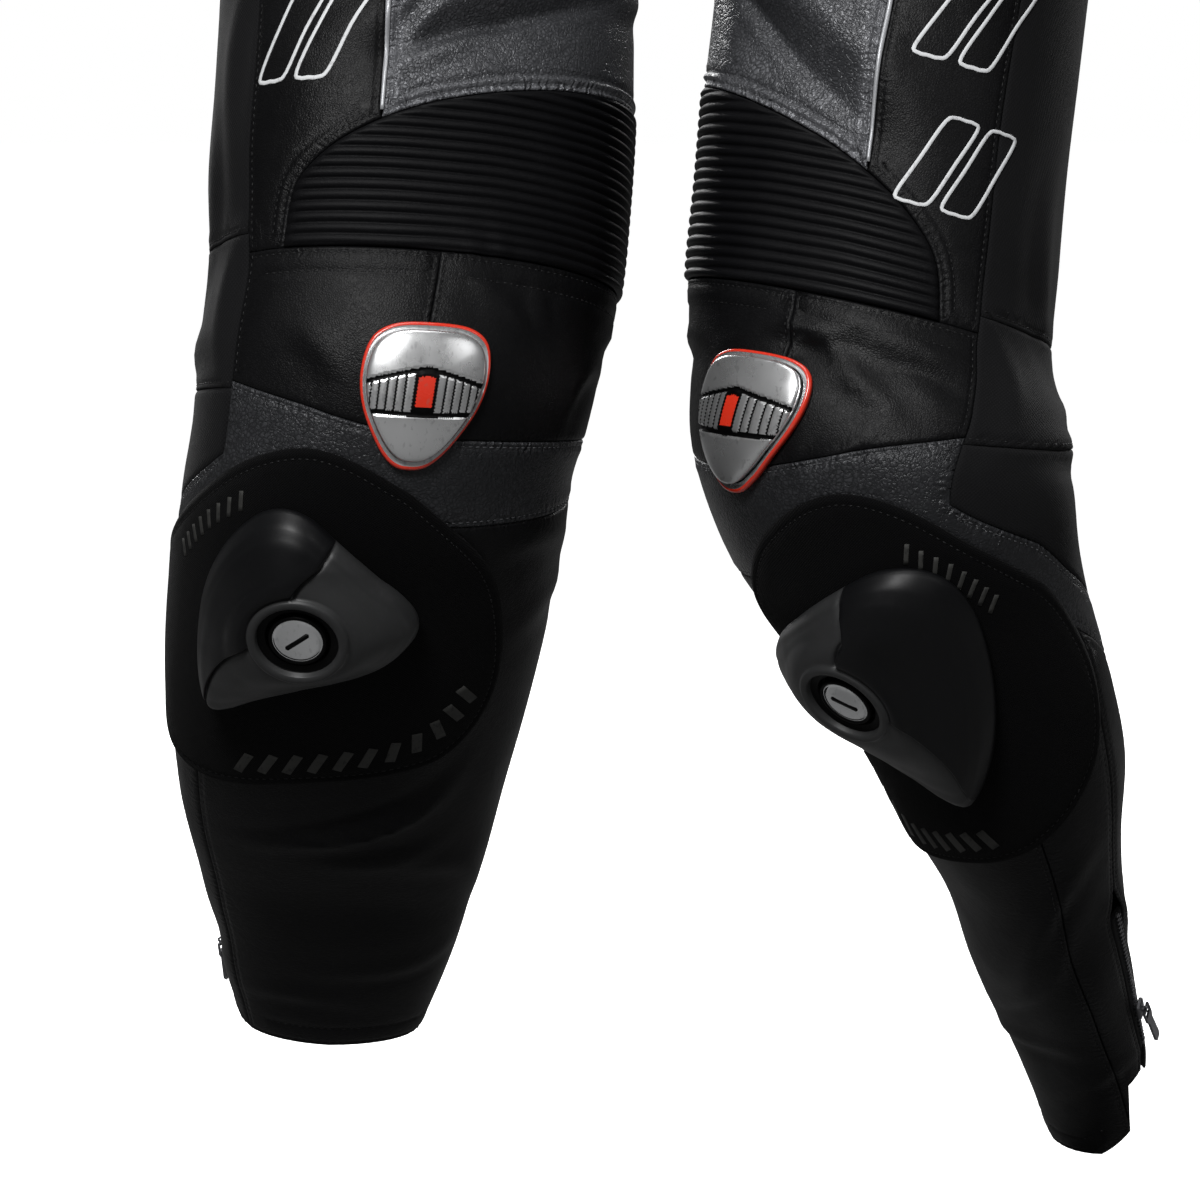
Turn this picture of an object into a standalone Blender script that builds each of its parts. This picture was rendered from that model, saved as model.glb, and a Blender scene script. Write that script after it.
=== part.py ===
"""Motorcycle race suit in leather, one piece, filled out as worn with nobody in it.

Every cloth panel is a thin closed wall cut from one smooth surface: two legs, two hip halves, a
torso, two sleeves and a collar. A panel is an outline in its surface's own coordinates (an angle
round the limb in degrees and a level along it in millimetres), so neighbours share one seam line
and stand a hair apart. Whatever is fixed on a panel is made from the same surface, moved out.

Metres, +Z up, +X to the wearer's left, the wearer faces -Y. The origin is the middle of the
shoulders at the base of the neck, where a wearer carries the suit.
"""

import math

import bmesh
import bpy
import numpy as np
from mathutils import Matrix, Vector
from mathutils.geometry import delaunay_2d_cdt

MM = 0.001
PART_NAME = "motorcycle_race_suit"

# Driving dimensions, in millimetres unless a name says otherwise.
SHOULDER_HEIGHT = 1400.0    # origin above the lower hem
LEATHER = 1.6               # wall of the leather and stretch panels
HALF_GAP = 0.17             # half the space between two panels at a seam
SEAM_STEP = 22.0            # greatest distance between two points along a leg's seam
BODY_SEAM_STEP = 31.0       # the same above the legs
ROUNDNESS = 0.92            # 1 is an ellipse, less is a fuller section
INNER_MARGIN = 0.42         # a panel's inner points keep this share of a step from its edge

# Angles round a leg: 0 is the front of the knee, + goes to the outer side.
INNER_SEAM = -100.0
OUTER_SEAM = 60.0
PIPING_ANGLE = 16.0
PIPING_HALF_TOP = 1.3
PIPING_HALF_TIP = 0.5
ACCORDION_OUTER = 45.0
KNEE_SEAM = 0.0
ANKLE_SLIT = 110.0
BACK_END = INNER_SEAM + 360.0

# Levels down a leg: 0 is the seam under the accordion, - is above it.
LEG_TOP = -350.0
PIPING_END = -60.0
ACCORDION_TOP = -84.0
ACCORDION_BOTTOM = 0.0
BACK_SEAM_UPPER = -8.0
BACK_SEAM_LOWER = 57.0
SLIT_TOP = 318.0
SLIT_LEAD = 14.0            # the two back panels part this far above the zip
SLIT_POINTS = 5

ACCORDION_RIBS = 18
RIB_HEIGHT = 1.5
ACCORDION_COLUMNS = 7
ACCORDION_TRIM = 0.37       # kept free at both ends of a rib
ACCORDION_MIDDLE = 20.0     # angle at which that trim is measured

# The hem's line in front of the ankle slit and behind it, (angle, level), for each leg.
RIGHT_HEM = ((60, 443), (0, 449), (-100, 449))
RIGHT_BACK_HEM = ((180, 444),)
LEFT_HEM = ((72, 436), (64, 456), (60, 468), (20, 479), (-40, 477), (-100, 458))
LEFT_BACK_HEM = ((136, 453), (200, 455))
SLIT_HEM = 434.0            # level of both corners of the slit

LEG_COLUMNS = ("level", "x", "y", "z", "half_width", "front", "back", "facing", "pitch", "roll")
RIGHT_LEG = (
    (-350, -107, 12, 690, 106, 98, 100, 4, 8, 0),
    (-250, -112, -4, 620, 104, 92, 96, 9, 12, 3),
    (-130, -116, -30, 544, 101.5, 85.5, 87.5, 11, 16, 5),
    (-86, -117, -45, 509, 102, 84.5, 84.5, 11, 16, 5.5),
    (-45, -119.5, -58, 468, 102, 84, 82, 11, 16, 5.8),
    (0, -121.5, -72, 421.5, 99, 82, 76, 11, 14, 5.5),
    (40, -128.5, -82, 384, 97, 84, 70, 10, 8, 4),
    (74, -133.5, -85, 353, 94.5, 84, 67, 9, 2, 2),
    (100, -138, -82, 332.5, 94, 83, 65, 8, -6, 0),
    (150, -144, -62, 293.5, 93.5, 76, 64.5, 7, -14, -2),
    (195, -150, -38, 251, 92, 69, 63, 6, -16, -3),
    (240, -155.5, -12, 209, 87.5, 56.5, 58.5, 5, -17, -3),
    (280, -160, 12, 171, 81, 49.5, 53.5, 3, -17, -2),
    (330, -162.5, 42, 126, 71, 42, 46, 1, -16, 0),
    (380, -166, 72, 84, 61, 37, 42, 0, -15, 0),
    (440, -169.5, 102, 42, 48, 32.5, 36, 0, -14, 0),
    (500, -176, 130, 0, 35, 26, 30, 0, -14, 0),
)
LEFT_LEG = (
    (-350, 107, 12, 690, 106, 98, 100, -4, 8, 2),
    (-250, 112, -4, 620, 100, 88, 92, -16, 12, 4),
    (-130, 112.5, -30, 542, 90.5, 76, 78, -26, 16, 7),
    (-86, 107, -43, 497.5, 90.5, 75, 75.5, -28, 16, 9),
    (-45, 103, -55, 452.5, 90.5, 75, 73, -29, 16, 9),
    (0, 99, -66, 404, 91.5, 75.5, 70.5, -31, 14, 8),
    (40, 104.5, -74, 371, 95.5, 81, 69, -38, 8, 6),
    (74, 107.5, -78, 339, 98.5, 85.5, 68.5, -47, 0, 3),
    (100, 116, -75, 313, 96, 83, 65, -53, -10, 0),
    (150, 136.5, -58, 265, 87.5, 69, 58, -62, -18, -2),
    (195, 158.5, -38, 217.5, 81, 57, 53, -66, -22, -3),
    (240, 174, -14, 172, 70.5, 49, 51, -66, -26, -3),
    (280, 184, 12, 135.5, 63, 38.5, 41, -65, -30, -2),
    (330, 193.5, 45, 92, 54.5, 33.5, 36, -61, -34, 0),
    (380, 206, 80, 53, 46.5, 29, 30, -55, -38, 0),
    (440, 222, 121, 8, 38, 24, 25, -49, -43, 0),
    (500, 235, 161, -40, 31, 20, 21, -42, -49, 0),
)

# Soft ridges (+) and troughs (-); the first two are the knee cup and the shin guard.
# Columns: angle, level, length, width, slant, depth.
RIGHT_FOLDS = (
    (-4, 50, 80, 40, 90, 5.0),
    (-14, 250, 130, 44, 90, 4.0),
    (-46, 100, 100, 17, 2, -3.2),
    (-20, 340, 110, 18, -8, -3.4),
    (92, 372, 80, 18, 10, -2.6),
    (190, 30, 130, 22, -5, -5.0),
    (176, 108, 120, 20, 10, -4.2),
    (172, -210, 140, 24, 16, -3.6),
    (-50, -235, 120, 22, -28, -3.2),
)
LEFT_FOLDS = (
    (-2, 50, 80, 40, 90, 5.0),
    (12, 250, 130, 40, 90, 3.6),
    (20, 28, 110, 17, 6, -3.4),
    (24, 98, 90, 17, -18, -3.0),
    (62, 334, 130, 19, -42, -3.8),
    (20, 398, 80, 18, -14, -2.6),
    (178, 28, 130, 22, 5, -5.0),
    (200, 106, 120, 20, -10, -4.2),
    (186, -206, 140, 24, -14, -3.6),
    (-56, -232, 120, 22, 26, -3.0),
)

TORSO_COLUMNS = ("level", "z", "y", "half_width", "front", "back")
TORSO = (
    (0, 972, 2, 166, 116, 104),
    (80, 1052, 0, 174, 124, 110),
    (180, 1150, -4, 190, 132, 118),
    (250, 1218, -4, 200, 132, 124),
    (315, 1280, 0, 205, 124, 124),
    (375, 1336, 8, 198, 104, 116),
    (420, 1372, 16, 176, 82, 100),
    (455, 1394, 22, 146, 68, 86),
    (495, 1410, 24, 110, 60, 74),
    (530, 1424, 22, 80, 58, 66),
)
NECK_FRONT = 500.0
NECK_BACK = 524.0
COLLAR_HEIGHT = 38.0
COLLAR_LEAN = 0.16          # forward for each millimetre up
COLLAR_TAPER = 0.0022       # share that it closes in for each millimetre up
COLLAR_MIDDLE = 20.0        # y of the neck's middle

ARMHOLE_LEVEL = 332.0
ARMHOLE_HALF_HEIGHT = 98.0
ARMHOLE_HALF_ANGLE = 33.0
ARMHOLE_TURN = 12.0         # between two points of the armhole
YOKE_FRONT_TURN = 72.0      # where the yoke seams meet the armhole, from under the arm
YOKE_BACK_TURN = 96.0

ARM_COLUMNS = ("reach", "x", "y", "z", "half_width", "half_depth")
ARM = (
    (100, 273, 0, 1200, 64, 76),
    (200, 301, -4, 1110, 58, 66),
    (300, 326, -20, 1020, 54, 58),
    (380, 343, -50, 950, 50, 53),
    (480, 361, -90, 860, 43, 45),
    (560, 373, -120, 790, 37, 39),
)
ELBOW = 300.0
CUFF = 560.0
ARM_CORNERS = 14
UNDERARM_CLEARANCE = 0.7    # the sleeve stands this far off the side under the arm
CAP_REACH = 0.65            # share of the way out, and down, of the shoulder cap's corner
CAP_DROP = 0.20

HIP_DEPTH = 285.0           # from the waist seam down to the top of the legs
HIP_FULLNESS = 0.10
WAIST_PULL = 1.5            # how far the waist's, thigh's and crotch's directions carry
THIGH_PULL = 0.8
CROTCH_PULL = 0.25
RISE_CLEARANCE = 0.1        # both halves of the seat keep this far from the middle plane
SIDE_SEAM = 90.0
RISE_LEVELS = (144.0, 200.0, 240.0)     # points of the front rise below the zip

# The arched upper edge of the accordion, (angle, level), from its inner end round to its lower
# outer corner.
ARCH = (
    (-100, -84), (-70, -84), (-45, -80.5), (-25, -76), (-6, -69), (8, -60.5),
    (20, -51.5), (30, -42), (39, -30), (43, -18), (45, 0),
)
KNEE_BOTTOM = ((-100, 76), (-74, 76), (-20, 76), (0, 74), (19, 68), (32, 63), (60, 54))
BAND_WING = ((60, 84), (86, 106), (112, 136), (141, 158))
BAND_BOTTOM = ((141, 186), (100, 158), (60, 122), (0, 112), (-100, 118))
# Common levels of the points along the leg's long seams, with every corner that meets one.
SEAM_LEVELS = (-320, -290, -260, -230, -200, -170, -140, -112, -84, -60, -34, -8, 0, 25, 54, 57,
               76, 84, 100, 118, 122, 150, 180, 210, 240, 270, 300, 330, 360, 390, 420)
BAND_AT_SLIT = (ANKLE_SLIT, 158 + 28 * (ANKLE_SLIT - 100) / 41)
SLIT_MOUTH = 7.5            # half the notch's width at the hem

# The loop patch that the knee slider sticks to, (angle, level).
PATCH_OUTLINE = (
    (24, 80), (44, 84), (62, 97), (84, 122), (102, 152), (110, 184), (104, 216), (86, 240),
    (62, 252), (38, 255), (14, 252), (-8, 249), (-26, 242), (-38, 222), (-42, 196),
    (-38, 164), (-29, 134), (-14, 110), (4, 90),
)
PATCH_LIFT = 1.3
PATCH_THICKNESS = 1.6

# Outlines round a middle, in millimetres to the leg's outer side (+) and down (+).
SLIDER_CENTRE = (20.0, 153.0)
SLIDER_OUTLINE = (
    (-47, 3), (-30, -23), (-10, -46), (4, -58), (19, -61), (33, -55), (47, -38), (57, -12),
    (59, 16), (55, 42), (46, 61), (34, 60), (16, 50), (-9, 39), (-30, 32), (-43, 20),
)
SLIDER_LIFT = 4.4
SLIDER_TURNS = {"right": 0.0, "left": 20.0}     # stuck on at its own slant on each leg
SLIDER_SIZES = {"right": 1.0, "left": 1.22}     # of the outline
SLIDER_SPOKES = 24
SLIDER_STEP_ANGLES = (-102.0, 51.0)     # the raised lobe runs between these two spokes
SLIDER_STEP_HALF = 1.6                  # half the angle over which it steps down
SLIDER_STEP = 2.4
SLIDER_STEP_SHARES = (0.22, 1.0)        # the rings between which it is raised
SLIDER_SEAT_RADIUS = 15.5
SLIDER_SEAT_WALL = 0.5
SLIDER_SEAT_MIDDLE = 0.34               # share of the seat's radius of its inner ring
SLIDER_FOOT_SHARES = (1.0, 0.66, 0.33)  # rings of the underside
SLIDER_BEND = 22.0                      # width over which the dome starts to follow the leg
SLIDER_RINGS = (
    # share of the way from the seat's wall to the edge, height over the patch
    (0.00, 24.0), (0.18, 24.5), (0.24, 22.0), (0.45, 20.5), (0.68, 16.5), (0.88, 11.5),
    (1.00, 5.0),
)
SLIDER_SEAT_HEIGHT = 17.0
BUTTON_RADIUS = 14.2
BUTTON_THICKNESS = 5.0
BUTTON_BEVEL = 0.7
BUTTON_CLEARANCE = 0.3
BUTTON_SIDES = 20

BADGE_CENTRES = {"right": (-1.0, 58.0), "left": (-7.5, 57.0)}
BADGE_OUTLINE = (
    (0, -33.5), (19.5, -32), (31, -25), (34.5, -10), (31, 6), (20.5, 22), (10, 31.5), (0, 34),
    (-10, 31.5), (-20.5, 22), (-31, 6), (-34.5, -10), (-31, -25), (-19.5, -32),
)
BADGE_LIFT = 0.8
BADGE_RIM_THICKNESS = 3.0
BADGE_PLATE_SHARE = 0.87
BADGE_PLATE_THICKNESS = 1.6
BADGE_BED = 1.3             # glue line under the plate

ZIP_OPENING = 5.0           # half the space between the two edges beside a zip
ZIP_WIDEST_ANGLE = 20.0     # that half space is within this angle of the middle
ZIP_SINK = 0.2              # the tape lies this far under the cloth's outer face
ZIP_HALF_WIDTH = 4.6
ZIP_DEPTH = 1.2
ZIP_RIDGE_HALF = 1.7
ZIP_RIDGE = 1.0
FRONT_ZIP_FOOT = 128.0      # level below the waist where the front zip ends
FRONT_RUNNER_DROP = 34.0    # the runner's place below the neckline
ANKLE_ZIP_FOOT = 422.0
ANKLE_RUNNER_RISE = 30.0    # the runner's place above the ankle zip's foot

RUNNER_LENGTH = 10.0
RUNNER_WIDTH = 7.6
RUNNER_THICKNESS = 2.2
RUNNER_LIFT = 0.4           # base plane over the teeth
RUNNER_BEVEL = 0.5
FRONT_RUNNER_LIFT = 0.9     # the same on the front zip, whose line bends more
HINGE_HEIGHT = 3.9          # the pull's axis over the runner's base plane
ARCH_RADIUS = 2.1           # middle line of the half ring that holds the pull
ARCH_WIRE = 0.6
ARCH_SINK = 0.6             # its feet end this far inside the block
ARCH_STEPS = 8
PULL_ROD_HALF = 0.7         # half the depth of the bar above the pull's window
PULL_WINDOW = (6.8, 3.9)    # width and height of the window
PULL_LENGTH = 26.0
PULL_WIDTH = 8.0
PULL_THICKNESS = 1.3
PULL_SHOULDER = -7.0        # where the tab starts to narrow
PULL_NECK = (2.6, -10.0)    # half width and place of its narrowest part
PULL_END = (3.0, 2.0)       # half widths at its lower end

MATERIALS = {
    "black_leather": ((0.012, 0.012, 0.013), 0.52, 0.0),
    "pearl_leather": ((0.060, 0.062, 0.068), 0.32, 0.25),
    "stretch_fabric": ((0.010, 0.010, 0.011), 0.90, 0.0),
    "loop_pile": ((0.003, 0.003, 0.004), 0.98, 0.0),
    "silver_piping": ((0.62, 0.63, 0.65), 0.35, 0.5),
    "slider_plastic": ((0.050, 0.052, 0.055), 0.38, 0.0),
    "red_plastic": ((0.62, 0.030, 0.018), 0.30, 0.0),
    "chrome_plate": ((0.80, 0.81, 0.82), 0.14, 1.0),
    "zip_metal": ((0.16, 0.16, 0.17), 0.34, 1.0),
    "zip_tape": ((0.010, 0.010, 0.011), 0.85, 0.0),
}


# ---------------------------------------------------------------- scene and materials
def clear_scene():
    """Remove every object, mesh, curve and material that the file came with."""
    for item in list(bpy.data.objects):
        bpy.data.objects.remove(item, do_unlink=True)
    for store in (bpy.data.meshes, bpy.data.curves, bpy.data.materials):
        for item in list(store):
            store.remove(item)


def make_collection(name):
    """A collection linked to the scene."""
    collection = bpy.data.collections.new(name)
    bpy.context.scene.collection.children.link(collection)
    return collection


def make_material(name, finish):
    """One Principled material for one sub-part."""
    colour, roughness, metallic = MATERIALS[finish]
    material = bpy.data.materials.new(f"{name}_{finish}")
    material.use_nodes = True
    shader = material.node_tree.nodes["Principled BSDF"]
    shader.inputs["Base Color"].default_value = (*colour, 1.0)
    shader.inputs["Roughness"].default_value = roughness
    shader.inputs["Metallic"].default_value = metallic
    return material


def add_object(name, mesh, finish, matrix=None):
    """Link a mesh as the sub-part `name`."""
    item = bpy.data.objects.new(name, mesh)
    item.data.materials.append(make_material(name, finish))
    PARTS.objects.link(item)
    if matrix is not None:
        item.matrix_world = matrix
    return item


# ---------------------------------------------------------------- surfaces
def table_curve(rows, column, at):
    """Smooth curve through one column of a table, read at the values `at` of its first column."""
    grid = np.array(rows, dtype=float)
    xs, ys = grid[:, 0], grid[:, column]
    at = np.clip(at, xs[0], xs[-1])
    slope = np.gradient(ys, xs)
    low = np.clip(np.searchsorted(xs, at, side="right") - 1, 0, len(xs) - 2)
    span = xs[low + 1] - xs[low]
    t = (at - xs[low]) / span
    start = (2 * t**3 - 3 * t**2 + 1) * ys[low] + (t**3 - 2 * t**2 + t) * span * slope[low]
    end = (-2 * t**3 + 3 * t**2) * ys[low + 1] + (t**3 - t**2) * span * slope[low + 1]
    return start + end


def rounded(values):
    """A sine or cosine taken to the section's roundness, with its sign kept."""
    return np.sign(values) * np.abs(values) ** ROUNDNESS


class Surface:
    """A smooth surface in two coordinates, with an outward normal."""

    turn = 1.0                  # +1 or -1, so that the normal points out
    lattice = (18.0, 30.0)      # distance between a panel's inner points, in each coordinate

    def place(self, a, b):
        """Point in millimetres above the lower hem for coordinates a and b."""
        raise NotImplementedError

    def points(self, a, b):
        """Points in millimetres from the part's origin."""
        a, b = np.broadcast_arrays(np.asarray(a, float), np.asarray(b, float))
        return self.place(a, b) - np.array((0.0, 0.0, SHOULDER_HEIGHT))

    def tangents(self, a, b):
        """Change of place for one unit of each coordinate."""
        step = 0.25
        along_a = (self.points(a + step, b) - self.points(a - step, b)) / (2 * step)
        along_b = (self.points(a, b + step) - self.points(a, b - step)) / (2 * step)
        return along_a, along_b

    def normals(self, a, b):
        """Outward unit normals."""
        along_a, along_b = self.tangents(np.asarray(a, float), np.asarray(b, float))
        cross = np.cross(along_a, along_b) * self.turn
        return cross / np.linalg.norm(cross, axis=-1, keepdims=True)

    def lifted(self, a, b, lift):
        """Points moved out along the normals."""
        return self.points(a, b) + self.normals(a, b) * np.asarray(lift, float)[..., None]

    def from_flat(self, centre, outline):
        """Coordinates of flat points in millimetres, laid on the surface round `centre`."""
        along_a, along_b = self.tangents(np.array(centre[0]), np.array(centre[1]))
        flat = np.array(outline, float)
        return np.stack([
            centre[0] + flat[:, 0] / np.linalg.norm(along_a),
            centre[1] + flat[:, 1] / np.linalg.norm(along_b),
        ], axis=-1)


class Leg(Surface):
    """A leg: angle round it in degrees, level down it in millimetres."""

    def __init__(self, rows, folds, hem, back_hem, side):
        self.rows, self.folds, self.side = rows, folds, side
        self.hem, self.back_hem = list(hem), list(back_hem)
        self.turn = -side

    def place(self, a, b):
        """Section point, with the folds added along its own direction from the middle."""
        col = {name: table_curve(self.rows, k, b) for k, name in enumerate(LEG_COLUMNS)}
        facing, pitch, roll = (np.radians(col[name]) for name in ("facing", "pitch", "roll"))
        front = np.stack([np.sin(facing) * np.cos(pitch), -np.cos(facing) * np.cos(pitch),
                          np.sin(pitch)], axis=-1)
        across = np.stack([np.cos(facing) * np.cos(roll), np.sin(facing) * np.cos(roll),
                           -np.sin(roll)], axis=-1)
        turn = np.radians(a)
        cosine, sine = np.cos(turn), np.sin(turn)
        depth = np.where(cosine > 0, col["front"], col["back"]) * rounded(cosine)
        width = col["half_width"] * rounded(sine)
        arm = front * depth[..., None] + across * (self.side * width)[..., None]
        reach = np.linalg.norm(arm, axis=-1, keepdims=True)
        middle = np.stack([col["x"], col["y"], col["z"]], axis=-1)
        return middle + arm * (1 + self.fold_depth(a, b, col)[..., None] / reach)

    def fold_depth(self, a, b, col):
        """Sum of the soft troughs and ridges of the fold table."""
        total = np.zeros_like(a)
        girth = (col["half_width"] + (col["front"] + col["back"]) / 2) * math.pi
        for angle, level, length, width, slant, depth in self.folds:
            turn = (a - angle + 180.0) % 360.0 - 180.0
            out, down = turn / 360.0 * girth, b - level
            lean = math.radians(slant)
            along = out * math.cos(lean) + down * math.sin(lean)
            beside = -out * math.sin(lean) + down * math.cos(lean)
            total = total + depth * np.exp(-(2 * along / length) ** 2 - (beside / width) ** 2)
        return total


class Torso(Surface):
    """The body above the waist: angle round it, 0 in front and + to the left, level up it."""

    lattice = (18.0, 40.0)

    def place(self, a, b):
        """Section point at a level that runs over the shoulders to the neck."""
        col = {name: table_curve(TORSO, k, b) for k, name in enumerate(TORSO_COLUMNS)}
        turn = np.radians(a)
        cosine, sine = np.cos(turn), np.sin(turn)
        depth = np.where(cosine > 0, col["front"], col["back"]) * rounded(cosine)
        return np.stack([col["half_width"] * rounded(sine), col["y"] - depth, col["z"]], axis=-1)


class Hip(Surface):
    """Half of the seat: angle 0 to 180 from front to back of the waist, level down from it."""

    lattice = (15.0, 32.0)

    def __init__(self, leg, torso):
        self.leg, self.torso, self.side = leg, torso, leg.side
        self.turn = -leg.side

    def place(self, a, b):
        """Smooth run from the torso at the waist into the leg, closing under the crotch."""
        t = (b / HIP_DEPTH)[..., None]
        top, edge = np.zeros_like(a), np.full_like(a, LEG_TOP)
        waist = self.torso.place(a * self.side, top)
        below = self.torso.place(a * self.side, top + 4.0)
        turn = a * 2.0 - 90.0
        ring, thigh = self.leg.place(turn, edge), self.leg.place(turn, edge + 4.0)
        start = (waist - below) / 4.0 * HIP_DEPTH * WAIST_PULL
        hold = CROTCH_PULL + (THIGH_PULL - CROTCH_PULL) * np.sin(np.radians(a)) ** 4
        end = (thigh - ring) / 4.0 * HIP_DEPTH * hold[..., None]
        point = (waist * (2 * t**3 - 3 * t**2 + 1) + start * (t**3 - 2 * t**2 + t)
                 + ring * (3 * t**2 - 2 * t**3) + end * (t**3 - t**2))
        full = 1 + HIP_FULLNESS * np.sin(math.pi * np.clip(t, 0, 1)) ** 2
        point = point * np.concatenate([full, full, np.ones_like(full)], axis=-1)
        aside = np.maximum(point[..., 0] * self.side, RISE_CLEARANCE) * self.side
        return np.concatenate([aside[..., None], point[..., 1:]], axis=-1)


class Sleeve(Surface):
    """A sleeve: angle 0 under the arm, 90 in front, 180 on top; reach from the armhole."""

    lattice = (36.0, 38.0)

    def __init__(self, torso, side):
        self.torso, self.side = torso, side
        self.turn = side

    def ring(self, a, b):
        """Point of the round section at a reach down the arm."""
        col = {name: table_curve(ARM, k, b) for k, name in enumerate(ARM_COLUMNS)}
        ahead = {name: table_curve(ARM, k, b + 2.0) for k, name in enumerate(ARM_COLUMNS)}
        behind = {name: table_curve(ARM, k, b - 2.0) for k, name in enumerate(ARM_COLUMNS)}
        run = np.stack([ahead[n] - behind[n] for n in ("x", "y", "z")], axis=-1)
        run = run / np.linalg.norm(run, axis=-1, keepdims=True)
        across = np.array((1.0, 0.0, 0.0)) - run * run[..., :1]
        across = across / np.linalg.norm(across, axis=-1, keepdims=True)
        back = np.cross(run, across) * -1.0
        turn = np.radians(a)
        middle = np.stack([col["x"], col["y"], col["z"]], axis=-1)
        return (middle - across * (col["half_width"] * np.cos(turn))[..., None]
                - back * (col["half_depth"] * np.sin(turn))[..., None])

    def place(self, a, b):
        """Armhole, then a rounded shoulder cap, then the arm's round sections."""
        first = ARM[0][0]
        angle, level = armhole_point(a)
        hole = self.torso.place(angle, level)
        clear = UNDERARM_CLEARANCE * np.maximum(np.cos(np.radians(a)), 0.0) ** 3
        hole = hole + clear[..., None] * np.array((1.0, 0.0, 0.0))
        ring = self.ring(a, np.maximum(b, first))
        t = np.clip(b / first, -0.1, 1.0)[..., None]
        corner = hole + (ring - hole) * np.array((CAP_REACH, 0.5, CAP_DROP))
        point = hole * (1 - t) ** 2 + corner * 2 * t * (1 - t) + ring * t**2
        return point * np.array((self.side, 1.0, 1.0))


class Collar(Surface):
    """A stand collar: angle round the neck, level up from the neckline."""

    lattice = (18.0, 19.0)

    def __init__(self, torso):
        self.torso = torso

    def place(self, a, b):
        """Neckline point raised, leaning in a little and forwards."""
        base = self.torso.place(a, neckline(a))
        rise = b[..., None] * np.array((0.0, -COLLAR_LEAN, 1.0))
        inward = base * np.array((1.0, 1.0, 0.0)) - np.array((0.0, COLLAR_MIDDLE, 0.0))
        return base + rise - inward * (b * COLLAR_TAPER)[..., None]


def armhole_point(turn):
    """Torso coordinates of the armhole at an angle round it, 0 under the arm, 90 in front."""
    turn = np.radians(turn)
    return (SIDE_SEAM - ARMHOLE_HALF_ANGLE * np.sin(turn),
            ARMHOLE_LEVEL - ARMHOLE_HALF_HEIGHT * np.cos(turn))


def neckline(angle):
    """Level of the neckline at an angle round the neck."""
    share = (1 - np.cos(np.radians(angle))) / 2
    return NECK_FRONT + (NECK_BACK - NECK_FRONT) * share


# ---------------------------------------------------------------- panels
def along_outline(surface, outline, step):
    """The outline with points added so that none are further apart than `step`.

    Along one angle the points lie at common levels, so that both sides of a seam share them.
    """
    corners = np.array(outline, float)
    result = []
    for start, end in zip(corners, np.roll(corners, -1, axis=0)):
        if isinstance(surface, Leg) and start[0] == end[0]:
            low, high = sorted((start[1], end[1]))
            levels = [level for level in SEAM_LEVELS if low < level < high]
            if start[1] > end[1]:
                levels.reverse()
            result += [start] + [np.array((start[0], level)) for level in levels]
            continue
        run = surface.points(end[0], end[1]) - surface.points(start[0], start[1])
        count = max(1, math.ceil(np.linalg.norm(run) / step))
        for k in range(count):
            result.append(start + (end - start) * k / count)
    return np.array(result)


def signed_area(outline):
    """Area of a flat outline, positive when it runs anticlockwise."""
    x, y = outline[:, 0], outline[:, 1]
    return float(np.sum(x * np.roll(y, -1) - np.roll(x, -1) * y)) / 2


def drawn_in(surface, outline, distance):
    """Move an outline inwards by a real distance measured on the surface."""
    a, b = outline[:, 0], outline[:, 1]
    along_a, along_b = surface.tangents(a, b)
    before, after = outline - np.roll(outline, 1, axis=0), np.roll(outline, -1, axis=0) - outline
    side = 1.0 if signed_area(outline) > 0 else -1.0
    up = np.cross(along_a, along_b)
    up /= np.linalg.norm(up, axis=-1, keepdims=True)
    inward = []
    for edge in (before, after):
        run = along_a * edge[:, :1] + along_b * edge[:, 1:]
        run /= np.linalg.norm(run, axis=-1, keepdims=True)
        inward.append(np.cross(up, run) * side)
    cosine = np.sum(inward[0] * inward[1], axis=-1, keepdims=True)
    move = (inward[0] + inward[1]) * distance / np.maximum(1 + cosine, 0.25)
    result = outline.copy()
    for k in range(len(outline)):
        frame = np.stack([along_a[k], along_b[k]], axis=-1)
        result[k] += np.linalg.lstsq(frame, move[k], rcond=None)[0]
    return result


def inside_distance(point, outline):
    """Distance from a point inside an outline to its edge; negative when it is outside."""
    start, end = outline, np.roll(outline, -1, axis=0)
    run = end - start
    share = np.clip(np.sum((point - start) * run, axis=1) / np.sum(run * run, axis=1), 0, 1)
    gap = np.min(np.linalg.norm(start + run * share[:, None] - point, axis=1))
    crosses = (start[:, 1] > point[1]) != (end[:, 1] > point[1])
    height = np.where(run[:, 1] == 0, 1.0, run[:, 1])
    at = start[:, 0] + (point[1] - start[:, 1]) * run[:, 0] / height
    return gap if np.count_nonzero(crosses & (at > point[0])) % 2 else -gap


def triangulate(surface, outline, divide):
    """Edge points, inner points on a common lattice, and the triangles that join them."""
    along_a, along_b = surface.tangents(outline[:, 0], outline[:, 1])
    scale = np.array([np.median(np.linalg.norm(run, axis=-1)) for run in (along_a, along_b)])
    edge = outline * scale
    spacing = np.array(surface.lattice) / divide
    margin = INNER_MARGIN * float(np.min(spacing * scale))
    first = np.floor(outline.min(axis=0) / spacing)
    last = np.ceil(outline.max(axis=0) / spacing)
    inner = [
        np.array((i, j)) * spacing * scale
        for i in np.arange(first[0], last[0] + 1)
        for j in np.arange(first[1], last[1] + 1)
    ]
    inner = [point for point in inner if inside_distance(point, edge) > margin]
    points = np.vstack([edge] + inner) if inner else edge
    ring = list(range(len(edge)))
    if signed_area(edge) < 0:
        ring.reverse()
    vectors = [Vector(point) for point in points]
    joined, _, faces, _, _, _ = delaunay_2d_cdt(vectors, [], [ring], 1, 1e-6)
    if len(joined) != len(points):
        raise ValueError("an outline crosses itself")
    return points / scale, len(edge), faces


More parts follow.
